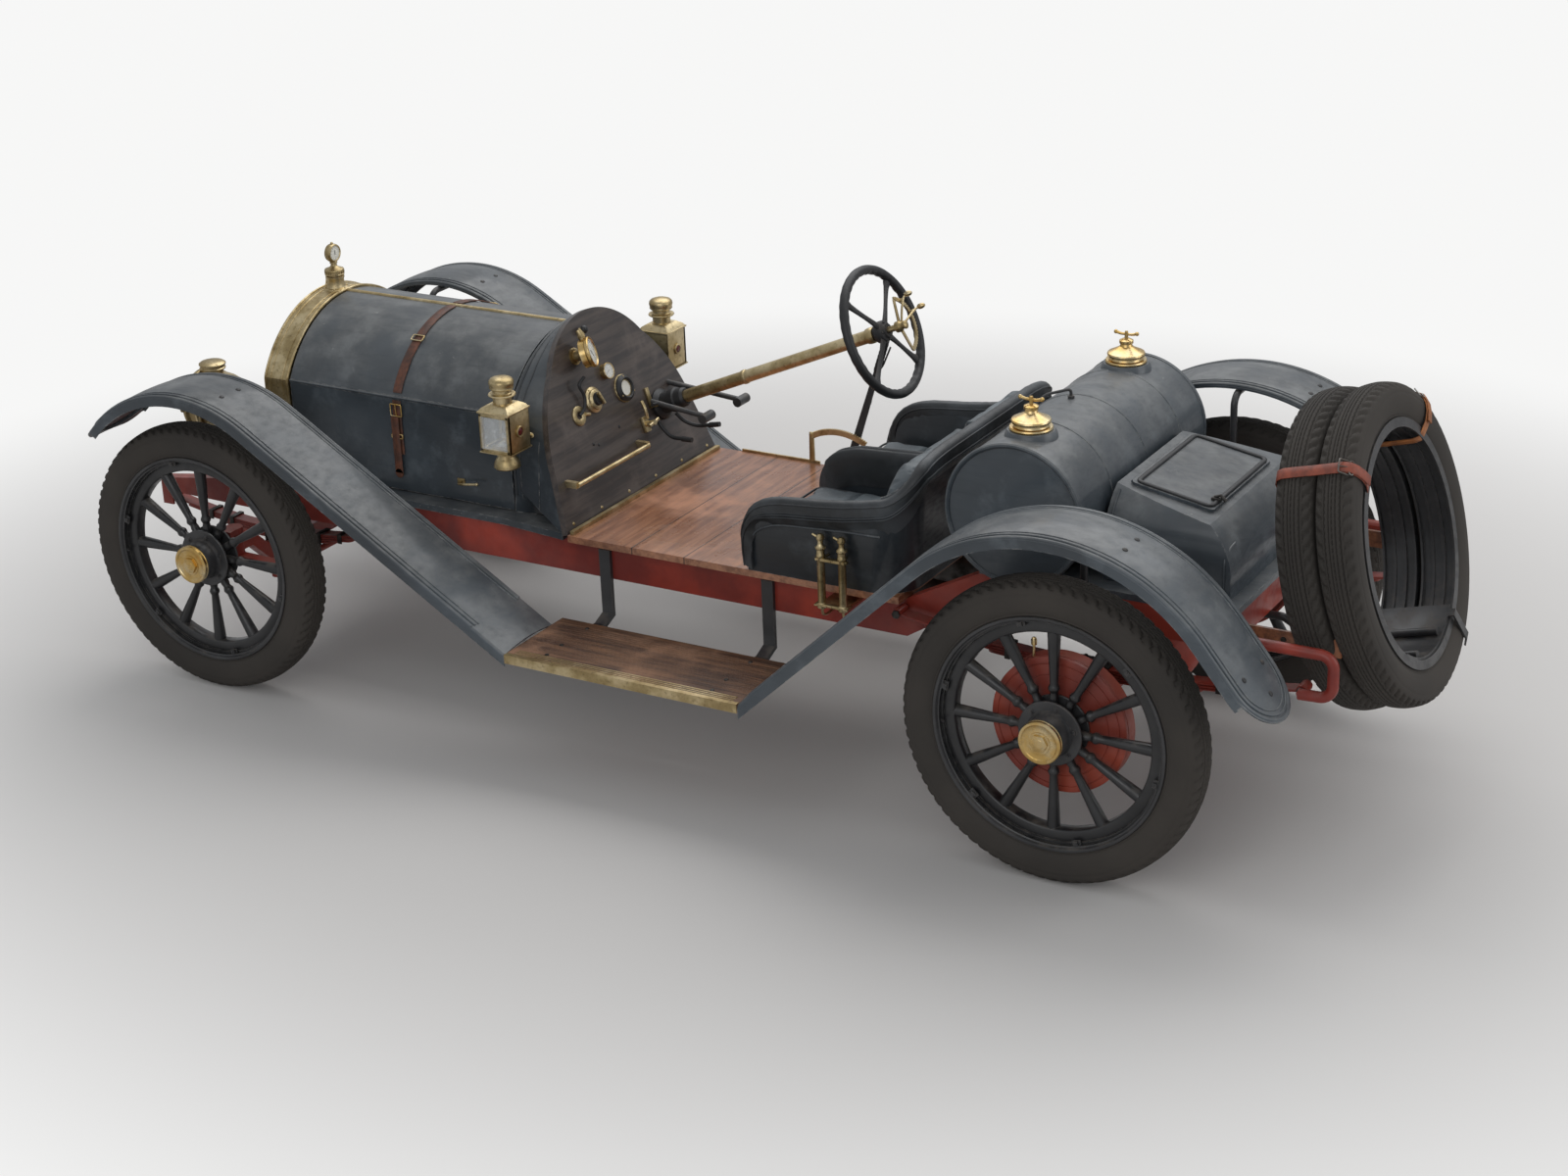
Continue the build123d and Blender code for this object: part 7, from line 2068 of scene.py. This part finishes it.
class ROADSTER_OT_headlamps(bpy.types.Operator):
    """Large brass headlamps: hinged bezel, domed lens, silvered bowl, burner, vent and post."""

    bl_idname = "roadster.headlamps"
    bl_label = "Headlamps"

    def execute(self, context):
        body, bowl, lens = Form(), Form(), Form()
        for _, sign in SIDES:
            centre = Vector((FRONT + 0.19, sign * 0.374, 0.858))
            ahead = at(centre, (1, 0, 0), (0, 0, 1))
            body.lathe(mm(0, -120, 12, -119.5, 36, -114.5, 60, -102, 80, -82, 94.5, -56, 102, -28, 105, 0,
                105.5, 14, 108.5, 16, 108.5, 21, 105.8, 23, 105.8, 47, 108.5, 49, 111, 53, 112, 60, 110,
                68, 105, 72, 99, 72, 96, 69, 94.5, 64, 95, 40, 94, 0, 83, -45, 60, -85, 30, -105, 0,
                -109), ahead, 72, False)
            bowl.lathe(mm(0, -56, 20, -53, 45, -33, 66, -2, 83, 35, 92.5, 60, 92.5, 56, 85, 35, 68, -4,
                47, -36, 21, -56.5, 0, -60), ahead, 64, False)
            bowl.lathe(mm(0, -56, 8, -56, 8, -20, 11, -16, 9, -4, 4, 4, 0, 5), ahead, 24, False)
            lens.lathe(mm(0, 79, 40, 77.5, 75, 72.5, 95, 66, 95, 64, 75, 70, 40, 75, 0, 76.5), ahead, 64,
                False)
            top = at(centre + Vector((0.014, 0, -0.858)))
            body.lathe(mm(0, 940, 38, 940, 38, 956, 35, 958, 35, 972, 43, 975, 44, 979, 40, 983, 40, 987,
                45, 990, 45, 994, 38, 999, 20, 1002, 0, 1003), top, 48, False)
            ring_of(body, top, 10, 0.031, 0.966, chip(0.003, 0.009, 0.006, 0.001), FINISH["brass"])
            latch = at(centre + Vector((0.058, sign * 0.112, 0)), (0, sign, 0))
            body.block((0.026, 0.02, 0.01), latch, 0.003)
            body.ball(0.0075, latch @ shift(0, 0, 0.01), 14)
            hinge = at(centre + Vector((0.058, -sign * 0.112, 0)), (0, 0, 1))
            body.lathe(mm(0, -22, 6.2, -22, 6.2, 22, 0, 22), hinge, 16, False)
            yoke = []
            for i in range(25):
                angle = radians(180 + 180 * i / 24)
                yoke.append(centre + Vector((0.002, 0.1135 * cos(angle), 0.1135 * sin(angle))))
            body.tube(yoke, 0.0062, 10, flat=((1, 0, 0), 1.7))
            for end in (1, -1):
                pivot = at(centre + Vector((0.002, end * 0.108, 0)), (0, end, 0))
                body.lathe(mm(0, 0, 15, 0, 15, 8, 10, 14, 0, 15), pivot, 24, False)
            post = at(centre + Vector((0, 0, -0.858)))
            body.lathe(mm(0, 595.5, 24, 595.5, 24.5, 600, 16, 604, 11, 612, 10.5, 700, 14, 716, 19, 728,
                20, 742, 16, 752, 0, 754), post, 28, False)
        body.finish("headlamp_bodies", FINISH["brass"], "car", "brass", 34, ["headlamps"])
        bowl.finish("headlamp_bowls", FINISH["mirror"], "car", "aluminium", 34)
        lens.finish("headlamp_lenses", FINISH["glass"], "car", "glass", 34)
        return {"FINISHED"}


# Steering wheel, hand levers and oil pumps
def toothed_arc(first, sweep, steps, inside, root, tip):
    """The outline of an arc in degrees, smooth inside and toothed outside."""
    outer, inner = [], []
    for i in range(steps + 1):
        angle = radians(first + sweep * i / steps)
        reach = tip if (i // 2) % 2 else root
        outer.append((reach * cos(angle), reach * sin(angle)))
        inner.append((inside * cos(angle), inside * sin(angle)))
    return outer + inner[::-1]


class ROADSTER_OT_steering(bpy.types.Operator):
    """Steering wheel with finger notches, brass column, toothed quadrant and its two levers."""

    bl_idname = "roadster.steering"
    bl_label = "Steering"

    def execute(self, context):
        helm = at(WHEEL_AT, (-cos(TILT), 0, sin(TILT)), (0, 1, 0))
        rim = Form()
        points = []
        radii = []
        for i in range(216):
            angle = tau * i / 216
            wave = cos(36 * angle)
            reach = 0.2 - 0.0005 * wave
            points.append(helm @ Vector((reach * cos(angle), reach * sin(angle), -0.0003 * wave)))
            radii.append(0.015 + 0.0005 * wave)
        rim.tube(points, radii, 14, loop=True)
        rim.finish("steering_rim", FINISH["rubber_black"], "helm", "black_paint", 60, ["steering_wheel"])
        spider = Form()
        normal = (helm.to_3x3() @ Vector((0, 0, 1)))[:]
        for k in range(4):
            angle = radians(45 + 90 * k)
            points = []
            radii = []
            for i in range(13):
                reach = 0.026 + 0.166 * i / 12
                lift = 0.004 * cos(pi * i / 12)
                points.append(helm @ Vector((reach * cos(angle), reach * sin(angle), lift)))
                radii.append(0.0125 - 0.0035 * sin(pi * min(i / 11, 1.0)) + (0.003 if i > 10 else 0.0))
            spider.tube(points, radii, 14, flat=(normal, 0.5))
        spider.lathe(mm(10.6, -22, 27, -22, 33, -17, 35.5, -8, 35.5, 6, 32, 13, 24, 16, 22, 22, 10.6, 22),
            helm, 40)
        ring_of(spider, helm, 4, 0.0275, 0.0145, hex_head(0.0038, 0.0025), FINISH["iron"])
        spider.finish("steering_spider", FINISH["iron"], "helm", "black_paint", 40)

        column = Form()
        column.lathe(mm(0, -915, 21, -915, 21, -560, 23.5, -558, 24, -552, 23.5, -546, 21, -544, 21, -60,
            24.5, -57, 26, -50, 26, -36, 24, -29, 10.4, -28, 10, -28, 10, 50, 17.5, 54, 18, 62, 18, 68,
            15, 72, 11, 76, 11, 82, 13.5, 84, 13.5, 89, 6, 93.5, 0, 94), helm, 40, False)
        column.plate(toothed_arc(104, 152, 96, 0.0815, 0.092, 0.0945), 0.0055, helm @ shift(0, 0, 0.0625),
            0.0)
        for angle in (105, 255):
            arm = helm @ Matrix.Rotation(radians(angle), 4, "Z")
            column.plate(mm(10, -5.5, 86, -4.5, 86, 4.5, 10, 5.5), 0.0055, arm @ shift(0, 0, 0.0625),
                0.0012)
        grips = Form()
        for angle, level in ((232, 0.0715), (196, 0.0775)):
            turned = helm @ Matrix.Rotation(radians(angle), 4, "Z") @ shift(0, 0, level)
            lever = put(turned, mm3(8, 0, 0, 60, 0, 1, 94, 0, 6, 104, 0, 16))
            column.tube(rounded(lever, 0.012), 0.0036, 10)
            column.block((0.008, 0.006, 0.01), turned @ shift(0.089, 0, -0.002), 0.0012)
            grips.lathe(mm(0, 0, 5.5, 0, 8.5, 5, 9.2, 13, 7.5, 21, 4, 26, 0, 27),
                turned @ shift(0.104, 0, 0.012), 24, False)
        column.finish("steering_mast", FINISH["brass"], "car", "brass", 34, ["steering_column"])
        grips.finish("quadrant_grips", FINISH["bright_brass"], "car", "brass", 40)
        return {"FINISHED"}


class ROADSTER_OT_levers(bpy.types.Operator):
    """Hand lever with its grip and pawl, the toothed brass sector, and the pair of oil pumps."""

    bl_idname = "roadster.levers"
    bl_label = "Levers and pumps"

    def execute(self, context):
        pivot = Vector((REAR + 1.32, 0, 0.56))
        lean = radians(18.4)
        bar = Form()
        lever = at(pivot + Vector((0, -0.47, 0)), (0, -1, 0), (-sin(lean), 0, cos(lean)))
        outline = [(0.024 * cos(radians(a)), 0.024 * sin(radians(a))) for a in range(60, 301, 15)]
        outline += mm(60, -15, 300, -12, 455, -9.5, 455, 9.5, 300, 12, 60, 15)
        bar.plate(outline, 0.008, lever, 0.0018)
        bar.lathe(mm(0, -69, 13, -69, 13, 0, 19, 0, 19, 9.5, 0, 10), lever, 28, False)
        bar.plate(hex_outline(0.0105), 0.012, lever, 0.001)
        rod = put(lever, mm3(205, -2, 11, 440, -2, 11, 470, 12, 10.5, 545, 19, 10))
        bar.tube(rounded(rod, 0.02), 0.0032, 8)
        for place in (0.23, 0.33, 0.43):
            bar.block((0.012, 0.02, 0.007), lever @ shift(place, 0, 0.0105), 0.0015)
        bar.block((0.04, 0.014, 0.008), lever @ shift(0.2, 0.0, 0.0115), 0.0015)
        bar.finish("hand_lever_bar", FINISH["iron"], "car", "steel", 34, ["hand_lever"])
        grip = Form()
        hold = lever @ shift(0.445, 0, 0.004) @ Matrix.Rotation(pi / 2, 4, "Y")
        profile = [(0, 0), (0.01, 0), (0.0115, 0.004)]
        for i in range(7):
            profile += [(0.0125, 0.012 + i * 0.015), (0.0115, 0.019 + i * 0.015)]
        grip.lathe([*profile, (0.0115, 0.119), (0.006, 0.125), (0, 0.1255)], hold, 24, False)
        grip.finish("hand_lever_grip", FINISH["rubber_black"], "car", "black_paint", 50)

        sector = Form()
        plane = at(pivot + Vector((0, -0.458, 0)), (0, -1, 0), (1, 0, 0))
        upright = plane if (plane @ Vector((0, -1, 0))).z > pivot.z else plane @ Matrix.Rotation(pi, 4, "X")
        sector.plate(toothed_arc(-61, -60, 120, 0.1905, 0.209, 0.212), 0.006, upright, 0.0)
        post = mm(89, -28, 111, -28, 108, -188, 92, -188)
        sector.plate(post, 0.006, upright @ shift(0, 0, 0.0002), 0.001)
        for v in (-0.04, -0.056, -0.18):
            head = upright @ shift(0.1, v, 0.006)
            sector.plate(hex_outline(0.007), 0.004, head, 0.0008)
        sector.block((0.024, 0.026, 0.056), upright @ shift(0.1, -0.04, -0.029), 0.003)
        sector.finish("lever_quadrant", FINISH["brass"], "car", "brass", 34, ["lever_sector"])

        pumps = Form()
        pump_x = REAR + 0.8115
        for x in (REAR + 0.776, REAR + 0.847):
            foot = at((x, 0.503, 0.59))
            pumps.lathe(mm(0, 0, 12.5, 0, 15, 3, 15, 14, 12, 18, 12, 160, 14, 163, 14, 170, 12.5, 173,
                12.5, 186, 15, 189, 15, 194, 10.5, 199, 8.5, 205, 8.5, 214, 11.5, 217, 12.5, 223, 11.5,
                230, 6, 234.5, 0, 235), foot, 32, False)
            ring_of(pumps, foot, 18, 0.0148, 0.1915, chip(0.0016, 0.0022, 0.005, 0.0004), FINISH["brass"])
            spout = put(foot, mm3(0, 0, 222, 12, 2, 226, 24, 4, 232))
            pumps.tube(spout, (0.005, 0.0042, 0.0036), 10)
            pipe = put(foot, mm3(0, 0, 4, 0, 0, -20, 4, -30, -34, 6, -88, -34))
            pumps.tube(rounded(pipe, 0.016), 0.0042, 8)
            pumps.block((0.042, 0.034, 0.006), at((x, 0.5, 0.6)), 0.002)
        for z in (0.597, 0.742):
            outline = mm(-54, 0, 54, 0, 54, 10, 46, 17, -46, 17, -54, 10)
            pumps.plate(outline, 0.009, at((pump_x, 0.4975, z)), 0.0015)
            for x in (-0.045, 0.0, 0.045):
                stub = at((pump_x + x, 0.514, z + 0.0045), (0, 1, 0))
                pumps.lathe(mm(0, 0, 4.5, 0, 4, 2, 0, 3), stub, 12, False)
        pumps.block((0.092, 0.098, 0.01), at((pump_x, 0.45, 0.597)), 0.002)
        for x in (-0.03, 0.03):
            pumps.tube([(pump_x + x, 0.46, 0.7465), (pump_x + x, 0.5, 0.7465)], 0.0045, 12)
        pumps.finish("oil_pump_pair", FINISH["brass"], "car", "brass", 34, ["oil_pumps"])
        return {"FINISHED"}


# Running boards, springs and engine
class ROADSTER_OT_boards(bpy.types.Operator):
    """Edging, ribbed treads and bolts of the running boards, and the wood beams beside the tool box."""

    bl_idname = "roadster.boards"
    bl_label = "Running boards"

    def execute(self, context):
        edge, tread, bolts, beam = Form(), Form(), Form(), Form()
        rear, front = REAR + 0.95, FRONT - 1.268
        middle = (rear + front) / 2
        span = front - rear
        for _, sign in SIDES:
            lip = mm(-14, 28, 3.4, 28, 3.4, -1, 1.8, -1, 1.8, 26.4, -14, 26.4)
            rows = []
            for x in (rear + 0.002, front - 0.002):
                rows.append([Vector((x, sign * (0.8365 + a), 0.366 + b)) for a, b in lip])
            edge.skin(rows, caps=True)
            small = Form().block((span - 0.05, 0.0045, 0.0022), None, 0.0008, 1)
            made = repeated("row", FINISH["brass"], small, Count=3, Pitch=(0.0, sign * 0.011, 0.0))
            edge.take(made, shift(middle, sign * 0.792, 0.3925))
            x = span / 2 - 0.02
            strip = [(-x, -0.002), (x, -0.002), (x, 0.002), (-x, 0.002)]
            small = Form().plate(strip, 0.0014, None, 0.0005, 1)
            made = repeated("row", FINISH["deck"], small, Count=18, Pitch=(0.0, sign * 0.0125, 0.0))
            tread.take(made, shift(middle, sign * 0.552, 0.3915))
            for x in (rear + 0.12, front - 0.12):
                for y in (0.56, 0.7, 0.78):
                    bolts.lathe(mm(0, 0, 7.5, 0, 6.5, 2.2, 3, 3.2, 0, 3.4), at((x, sign * y, 0.392)), 16,
                        False)
                bolts.block((0.05, 0.07, 0.006), at((x, sign * 0.575, 0.3625)), 0.002)
            plank = at((REAR - 0.545, sign * 0.4045, 0.712))
            beam.block((0.33, 0.01, 0.052), plank, 0.002)
            for x in (-0.13, 0.0, 0.13):
                head = at(plank @ Vector((x, sign * 0.005, 0)), (0, sign, 0))
                bolts.lathe(mm(0, 0, 8.5, 0, 7.5, 3, 0, 4.5), head, 16, False)
        edge.finish("board_edging", FINISH["brass"], "car", "brass", 30)
        tread.finish("board_treads", FINISH["deck"], "car", "board", 30)
        bolts.finish("board_bolts", FINISH["dark_steel"], "car", "steel", 30)
        beam.finish("rear_beams", FINISH["wood"], "car", "deck_wood", 30)
        return {"FINISHED"}


def leaf_height(half, rise, seat, leaf, x):
    """The underside of a spring leaf at a distance from the stack's middle."""
    bow = (half * half + rise * rise) / (2 * rise)
    return seat + leaf * 0.008 + bow - sqrt(bow * bow - x * x)


class ROADSTER_OT_springs(bpy.types.Operator):
    """Separate spring leaves with eyes, clips, U bolts and shackle bolts."""

    bl_idname = "roadster.springs"
    bl_label = "Leaf springs"

    def execute(self, context):
        leaves, irons = Form(), Form()
        for half, rise, out, centre, seat in ((0.45, 0.048, 0.36, FRONT, 0.396),
                (0.62, 0.05, 0.44, REAR, 0.509)):
            for _, sign in SIDES:
                for leaf in range(5):
                    reach = half * (leaf + 2) / 6 - (0.012 if leaf == 4 else 0.0)
                    points = []
                    for i in range(33):
                        x = -reach + 2 * reach * i / 32
                        z = leaf_height(half, rise, seat, leaf, x) + 0.0003
                        points.append(Vector((centre + x, sign * out, z)))
                    leaves.ribbon(points, [(0, 0, 1)] * 33, 0.0485, 0.0072)
                    if leaf < 4:
                        for end in (-1, 1):
                            x = end * (reach + 0.004)
                            z = leaf_height(half, rise, seat, leaf, reach) + 0.0039
                            tip = at((centre + x - end * 0.006, sign * out, z))
                            leaves.lathe(mm(0, -3.4, 22.5, -3.4, 23.2, 0, 22.5, 3.4, 0, 3.4), tip, 28,
                                False)
                for end in (-1, 1):
                    eye = at((centre + end * half, sign * out, seat + 0.036 + rise), (0, 1, 0))
                    leaves.lathe(mm(8.5, -24.5, 15.5, -24.5, 16.2, -22, 16.2, 22, 15.5, 24.5, 8.5, 24.5),
                        eye, 28)
                    for turn in (1, -1):
                        head = at(eye @ Vector((0, 0, turn * 0.0245)), (0, turn, 0))
                        irons.plate(hex_outline(0.0135), 0.007, head, 0.0012)
                    for share in (0.42, 0.62):
                        x = end * half * share
                        low = leaf_height(half, rise, seat, 1 if share < 0.5 else 2, abs(x))
                        top = leaf_height(half, rise, seat, 4, abs(x)) + 0.008
                        clip = at((centre + x, sign * out, (low + top) / 2), (0, 0, 1))
                        for side in (-1, 1):
                            irons.block((0.018, 0.003, top - low + 0.008),
                                clip @ shift(0, side * 0.0265, 0), 0.001)
                        irons.block((0.018, 0.056, 0.003), clip @ shift(0, 0, (top - low) / 2 + 0.0035),
                            0.001)
                for x in (-0.036, 0.036):
                    hoop = [Vector((centre + x, sign * out + a, seat + b))
                        for a, b in mm(-31, -52, -31, 50, 31, 50, 31, -52)]
                    irons.tube(rounded(hoop, 0.018), 0.0056, 10)
                    for a in (-0.031, 0.031):
                        nut = at((centre + x, sign * out + a, seat - 0.05))
                        irons.plate(hex_outline(0.0105), 0.009, nut, 0.001)
                irons.block((0.11, 0.058, 0.006), at((centre, sign * out, seat + 0.0445)), 0.002)
        leaves.finish("spring_leaves", FINISH["red"], "car", "red_paint", 34, ["leaf_springs"])
        irons.finish("spring_irons", FINISH["dark_steel"], "car", "steel", 34)
        return {"FINISHED"}


class ROADSTER_OT_engine(bpy.types.Operator):
    """Engine seen with the hood open: paired cylinders, crankcase, manifolds, plugs, leads and fan."""

    bl_idname = "roadster.engine"
    bl_label = "Engine"

    def execute(self, context):
        case, iron, brassy, leads = Form(), Form(), Form(), Form()
        rear, front = FRONT - 0.92, FRONT - 0.2
        half = mm(60, 420, 105, 432, 125, 470, 128, 560, 150, 566, 150, 592, 135, 600, 120, 650, 110, 664)
        outline = half + [(-y, z) for y, z in reversed(half)]
        case.plate(outline, front - rear - 0.05, at((rear + 0.01, 0, 0), (1, 0, 0), (0, 1, 0)), 0.006)
        small = Form().block((0.007, 0.262, 0.12), None, 0.003)
        case.take(repeated("row", FINISH["aluminium"], small, Count=9, Pitch=(0.074, 0.0, 0.0)),
            shift(rear + 0.04, 0, 0.5))
        for sign in (1, -1):
            small = Form()
            hex_head(0.0065, 0.006)(small)
            made = repeated("row", FINISH["aluminium"], small, Count=14, Pitch=(0.0485, 0.0, 0.0))
            case.take(made, shift(rear + 0.025, sign * 0.141, 0.592))
        for x in (FRONT - 0.3, FRONT - 0.64):
            for sign in (1, -1):
                arm = [Vector((x, sign * a, b)) for a, b in mm(120, 560, 190, 590, 300, 588, 384, 586)]
                case.tube(rounded(arm, 0.04), 0.03, 16, flat=((0, 0, 1), 0.6))
                case.block((0.07, 0.05, 0.012), at((x, sign * 0.36, 0.596)), 0.004)
        for pair in (0, 1):
            base = front - 0.205 - pair * 0.3
            for k in (0, 1):
                spot = at((base + 0.075 - k * 0.122, 0.0, 0))
                iron.lathe(mm(0, 660, 74, 660, 76, 668, 66, 676, 62, 690, 62, 770, 65, 790, 66, 930, 60,
                    952, 46, 964, 26, 970, 18, 982, 18, 990, 0, 990), spot, 40, False)
                for z in (0.7, 0.716, 0.732, 0.748):
                    iron.lathe(mm(60, -2, 70, -1.2, 70, 1.2, 60, 2), spot @ shift(0, 0, z), 40)
                brassy.lathe(mm(0, 986, 13, 986, 13, 996, 7.5, 999, 7.5, 1014, 10, 1017, 7, 1026, 0,
                    1030), spot, 20, False)
                for side, y in ((1, 0.092), (-1, -0.092)):
                    port = at((base + 0.075 - k * 0.122, y, 0))
                    iron.lathe(mm(0, 780, 36, 780, 38, 786, 38, 866, 34, 872, 0, 874), port, 28, False)
                    brassy.lathe(mm(0, 872, 24, 872, 24, 884, 12, 888, 12, 900, 0, 902), port, 24, False)
                    iron.lathe(mm(0, 592, 12, 592, 12, 640, 7, 644, 7, 780, 0, 780), port, 16, False)
                    if side > 0:
                        plug = port @ shift(0, 0, 0.9)
                        leads.lathe(mm(0, 0, 6, 0, 4.5, 20, 3, 26, 0, 27), plug, 14, False)
                        wire = [plug @ Vector((0, 0, 0.024)), plug @ Vector((0, 0.012, 0.05)),
                            Vector((base, 0.118, 0.968)), Vector((rear + 0.06, 0.118, 0.968)),
                            Vector((rear + 0.05, 0.1, 0.7))]
                        leads.tube(rounded(wire, 0.03), 0.003, 8)
            iron.block((0.2, 0.15, 0.15), at((base + 0.014, 0, 0.85)), 0.022, 3)
            brassy.tube(rounded([(base + 0.014, 0.0, 0.96), (base + 0.014, 0.0, 1.0),
                (front - 0.08, 0.0, 1.004)], 0.03), 0.017, 18)
        water = [Vector(v) for v in ((rear + 0.19, 0, 1.004), (front - 0.06, 0, 1.004),
            (front + 0.01, 0, 1.01), (front + 0.06, 0, 1.02))]
        brassy.tube(rounded(water, 0.04), 0.019, 20)
        for side, radius in ((1, 0.02), (-1, 0.026)):
            main = [Vector(v) for v in ((front - 0.1, side * 0.132, 0.835),
                (front - 0.58, side * 0.132, 0.835), (front - 0.64, side * 0.132, 0.72))]
            form = brassy if side > 0 else iron
            form.tube(rounded(main, 0.06), radius, 18)
            for k in range(4):
                x = front - 0.13 - k * 0.122 - (0.056 if k > 1 else 0.0)
                form.tube([(x, side * 0.08, 0.835), (x, side * 0.132, 0.835)], radius * 0.85, 16)
        hub = at((front + 0.018, 0, 0.8), (1, 0, 0), (0, 0, 1))
        case.lathe(mm(0, -50, 40, -50, 44, -36, 38, -28, 44, -20, 40, -10, 22, 0, 0, 4), hub, 36, False)
        blade = Form().plate(mm(24, -10, 110, -22, 125, -10, 125, 16, 24, 12), 0.0025,
            Matrix.Rotation(0.45, 4, "X"), 0.0008)
        case.take(repeated("ring", FINISH["aluminium"], blade, Count=6, Radius=0.0),
            hub @ shift(0, 0, 0.012))
        carb = at((front - 0.33, 0.16, 0.76))
        brassy.lathe(mm(0, -60, 18, -60, 26, -52, 28, -10, 20, -4, 14, 4, 14, 20, 22, 24, 22, 32, 14, 36,
            14, 60, 0, 60), carb, 28, False)
        case.finish("engine_crankcase", FINISH["aluminium"], "car", "aluminium", 34, ["engine"])
        iron.finish("engine_cylinders", FINISH["cast"], "car", "iron", 34)
        brassy.finish("engine_brass", FINISH["brass"], "car", "brass", 34)
        leads.finish("engine_leads", FINISH["rubber_black"], "car", "black_paint", 40)
        return {"FINISHED"}


PIECES = (ROADSTER_OT_finishes, ROADSTER_OT_stage, ROADSTER_OT_tyres, ROADSTER_OT_wheels,
    ROADSTER_OT_fenders, ROADSTER_OT_tank, ROADSTER_OT_tools, ROADSTER_OT_straps, ROADSTER_OT_seats,
    ROADSTER_OT_hood, ROADSTER_OT_dash, ROADSTER_OT_lamps, ROADSTER_OT_radiator, ROADSTER_OT_headlamps,
    ROADSTER_OT_steering, ROADSTER_OT_levers, ROADSTER_OT_boards, ROADSTER_OT_springs, ROADSTER_OT_engine)


class ROADSTER_PT_side(bpy.types.Panel):
    """The car's settings and pieces in the sidebar."""

    bl_idname = "ROADSTER_PT_side"
    bl_label = "Brass era roadster"
    bl_space_type = "VIEW_3D"
    bl_region_type = "UI"
    bl_category = "Roadster"

    def draw(self, context):
        for piece in PIECES:
            self.layout.operator(piece.bl_idname)
        for group in ("roadster_colours", "roadster_stage"):
            settings = getattr(context.scene, group)
            column = self.layout.column()
            for name in settings.bl_rna.properties.keys():
                if name not in {"rna_type", "name"}:
                    column.prop(settings, name)


GROUPS = {"roadster_colours": RoadsterColours, "roadster_stage": RoadsterStage}


def register():
    for cls in (*GROUPS.values(), *PIECES, ROADSTER_PT_side):
        bpy.utils.register_class(cls)
    for name, group in GROUPS.items():
        setattr(bpy.types.Scene, name, bpy.props.PointerProperty(type=group))


def unregister():
    for name in GROUPS:
        delattr(bpy.types.Scene, name)
    for cls in reversed((*GROUPS.values(), *PIECES, ROADSTER_PT_side)):
        bpy.utils.unregister_class(cls)


def main():
    register()
    for piece in PIECES:
        family, name = piece.bl_idname.split(".")
        getattr(getattr(bpy.ops, family), name)()
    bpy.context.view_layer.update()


if __name__ == "__main__":
    main()
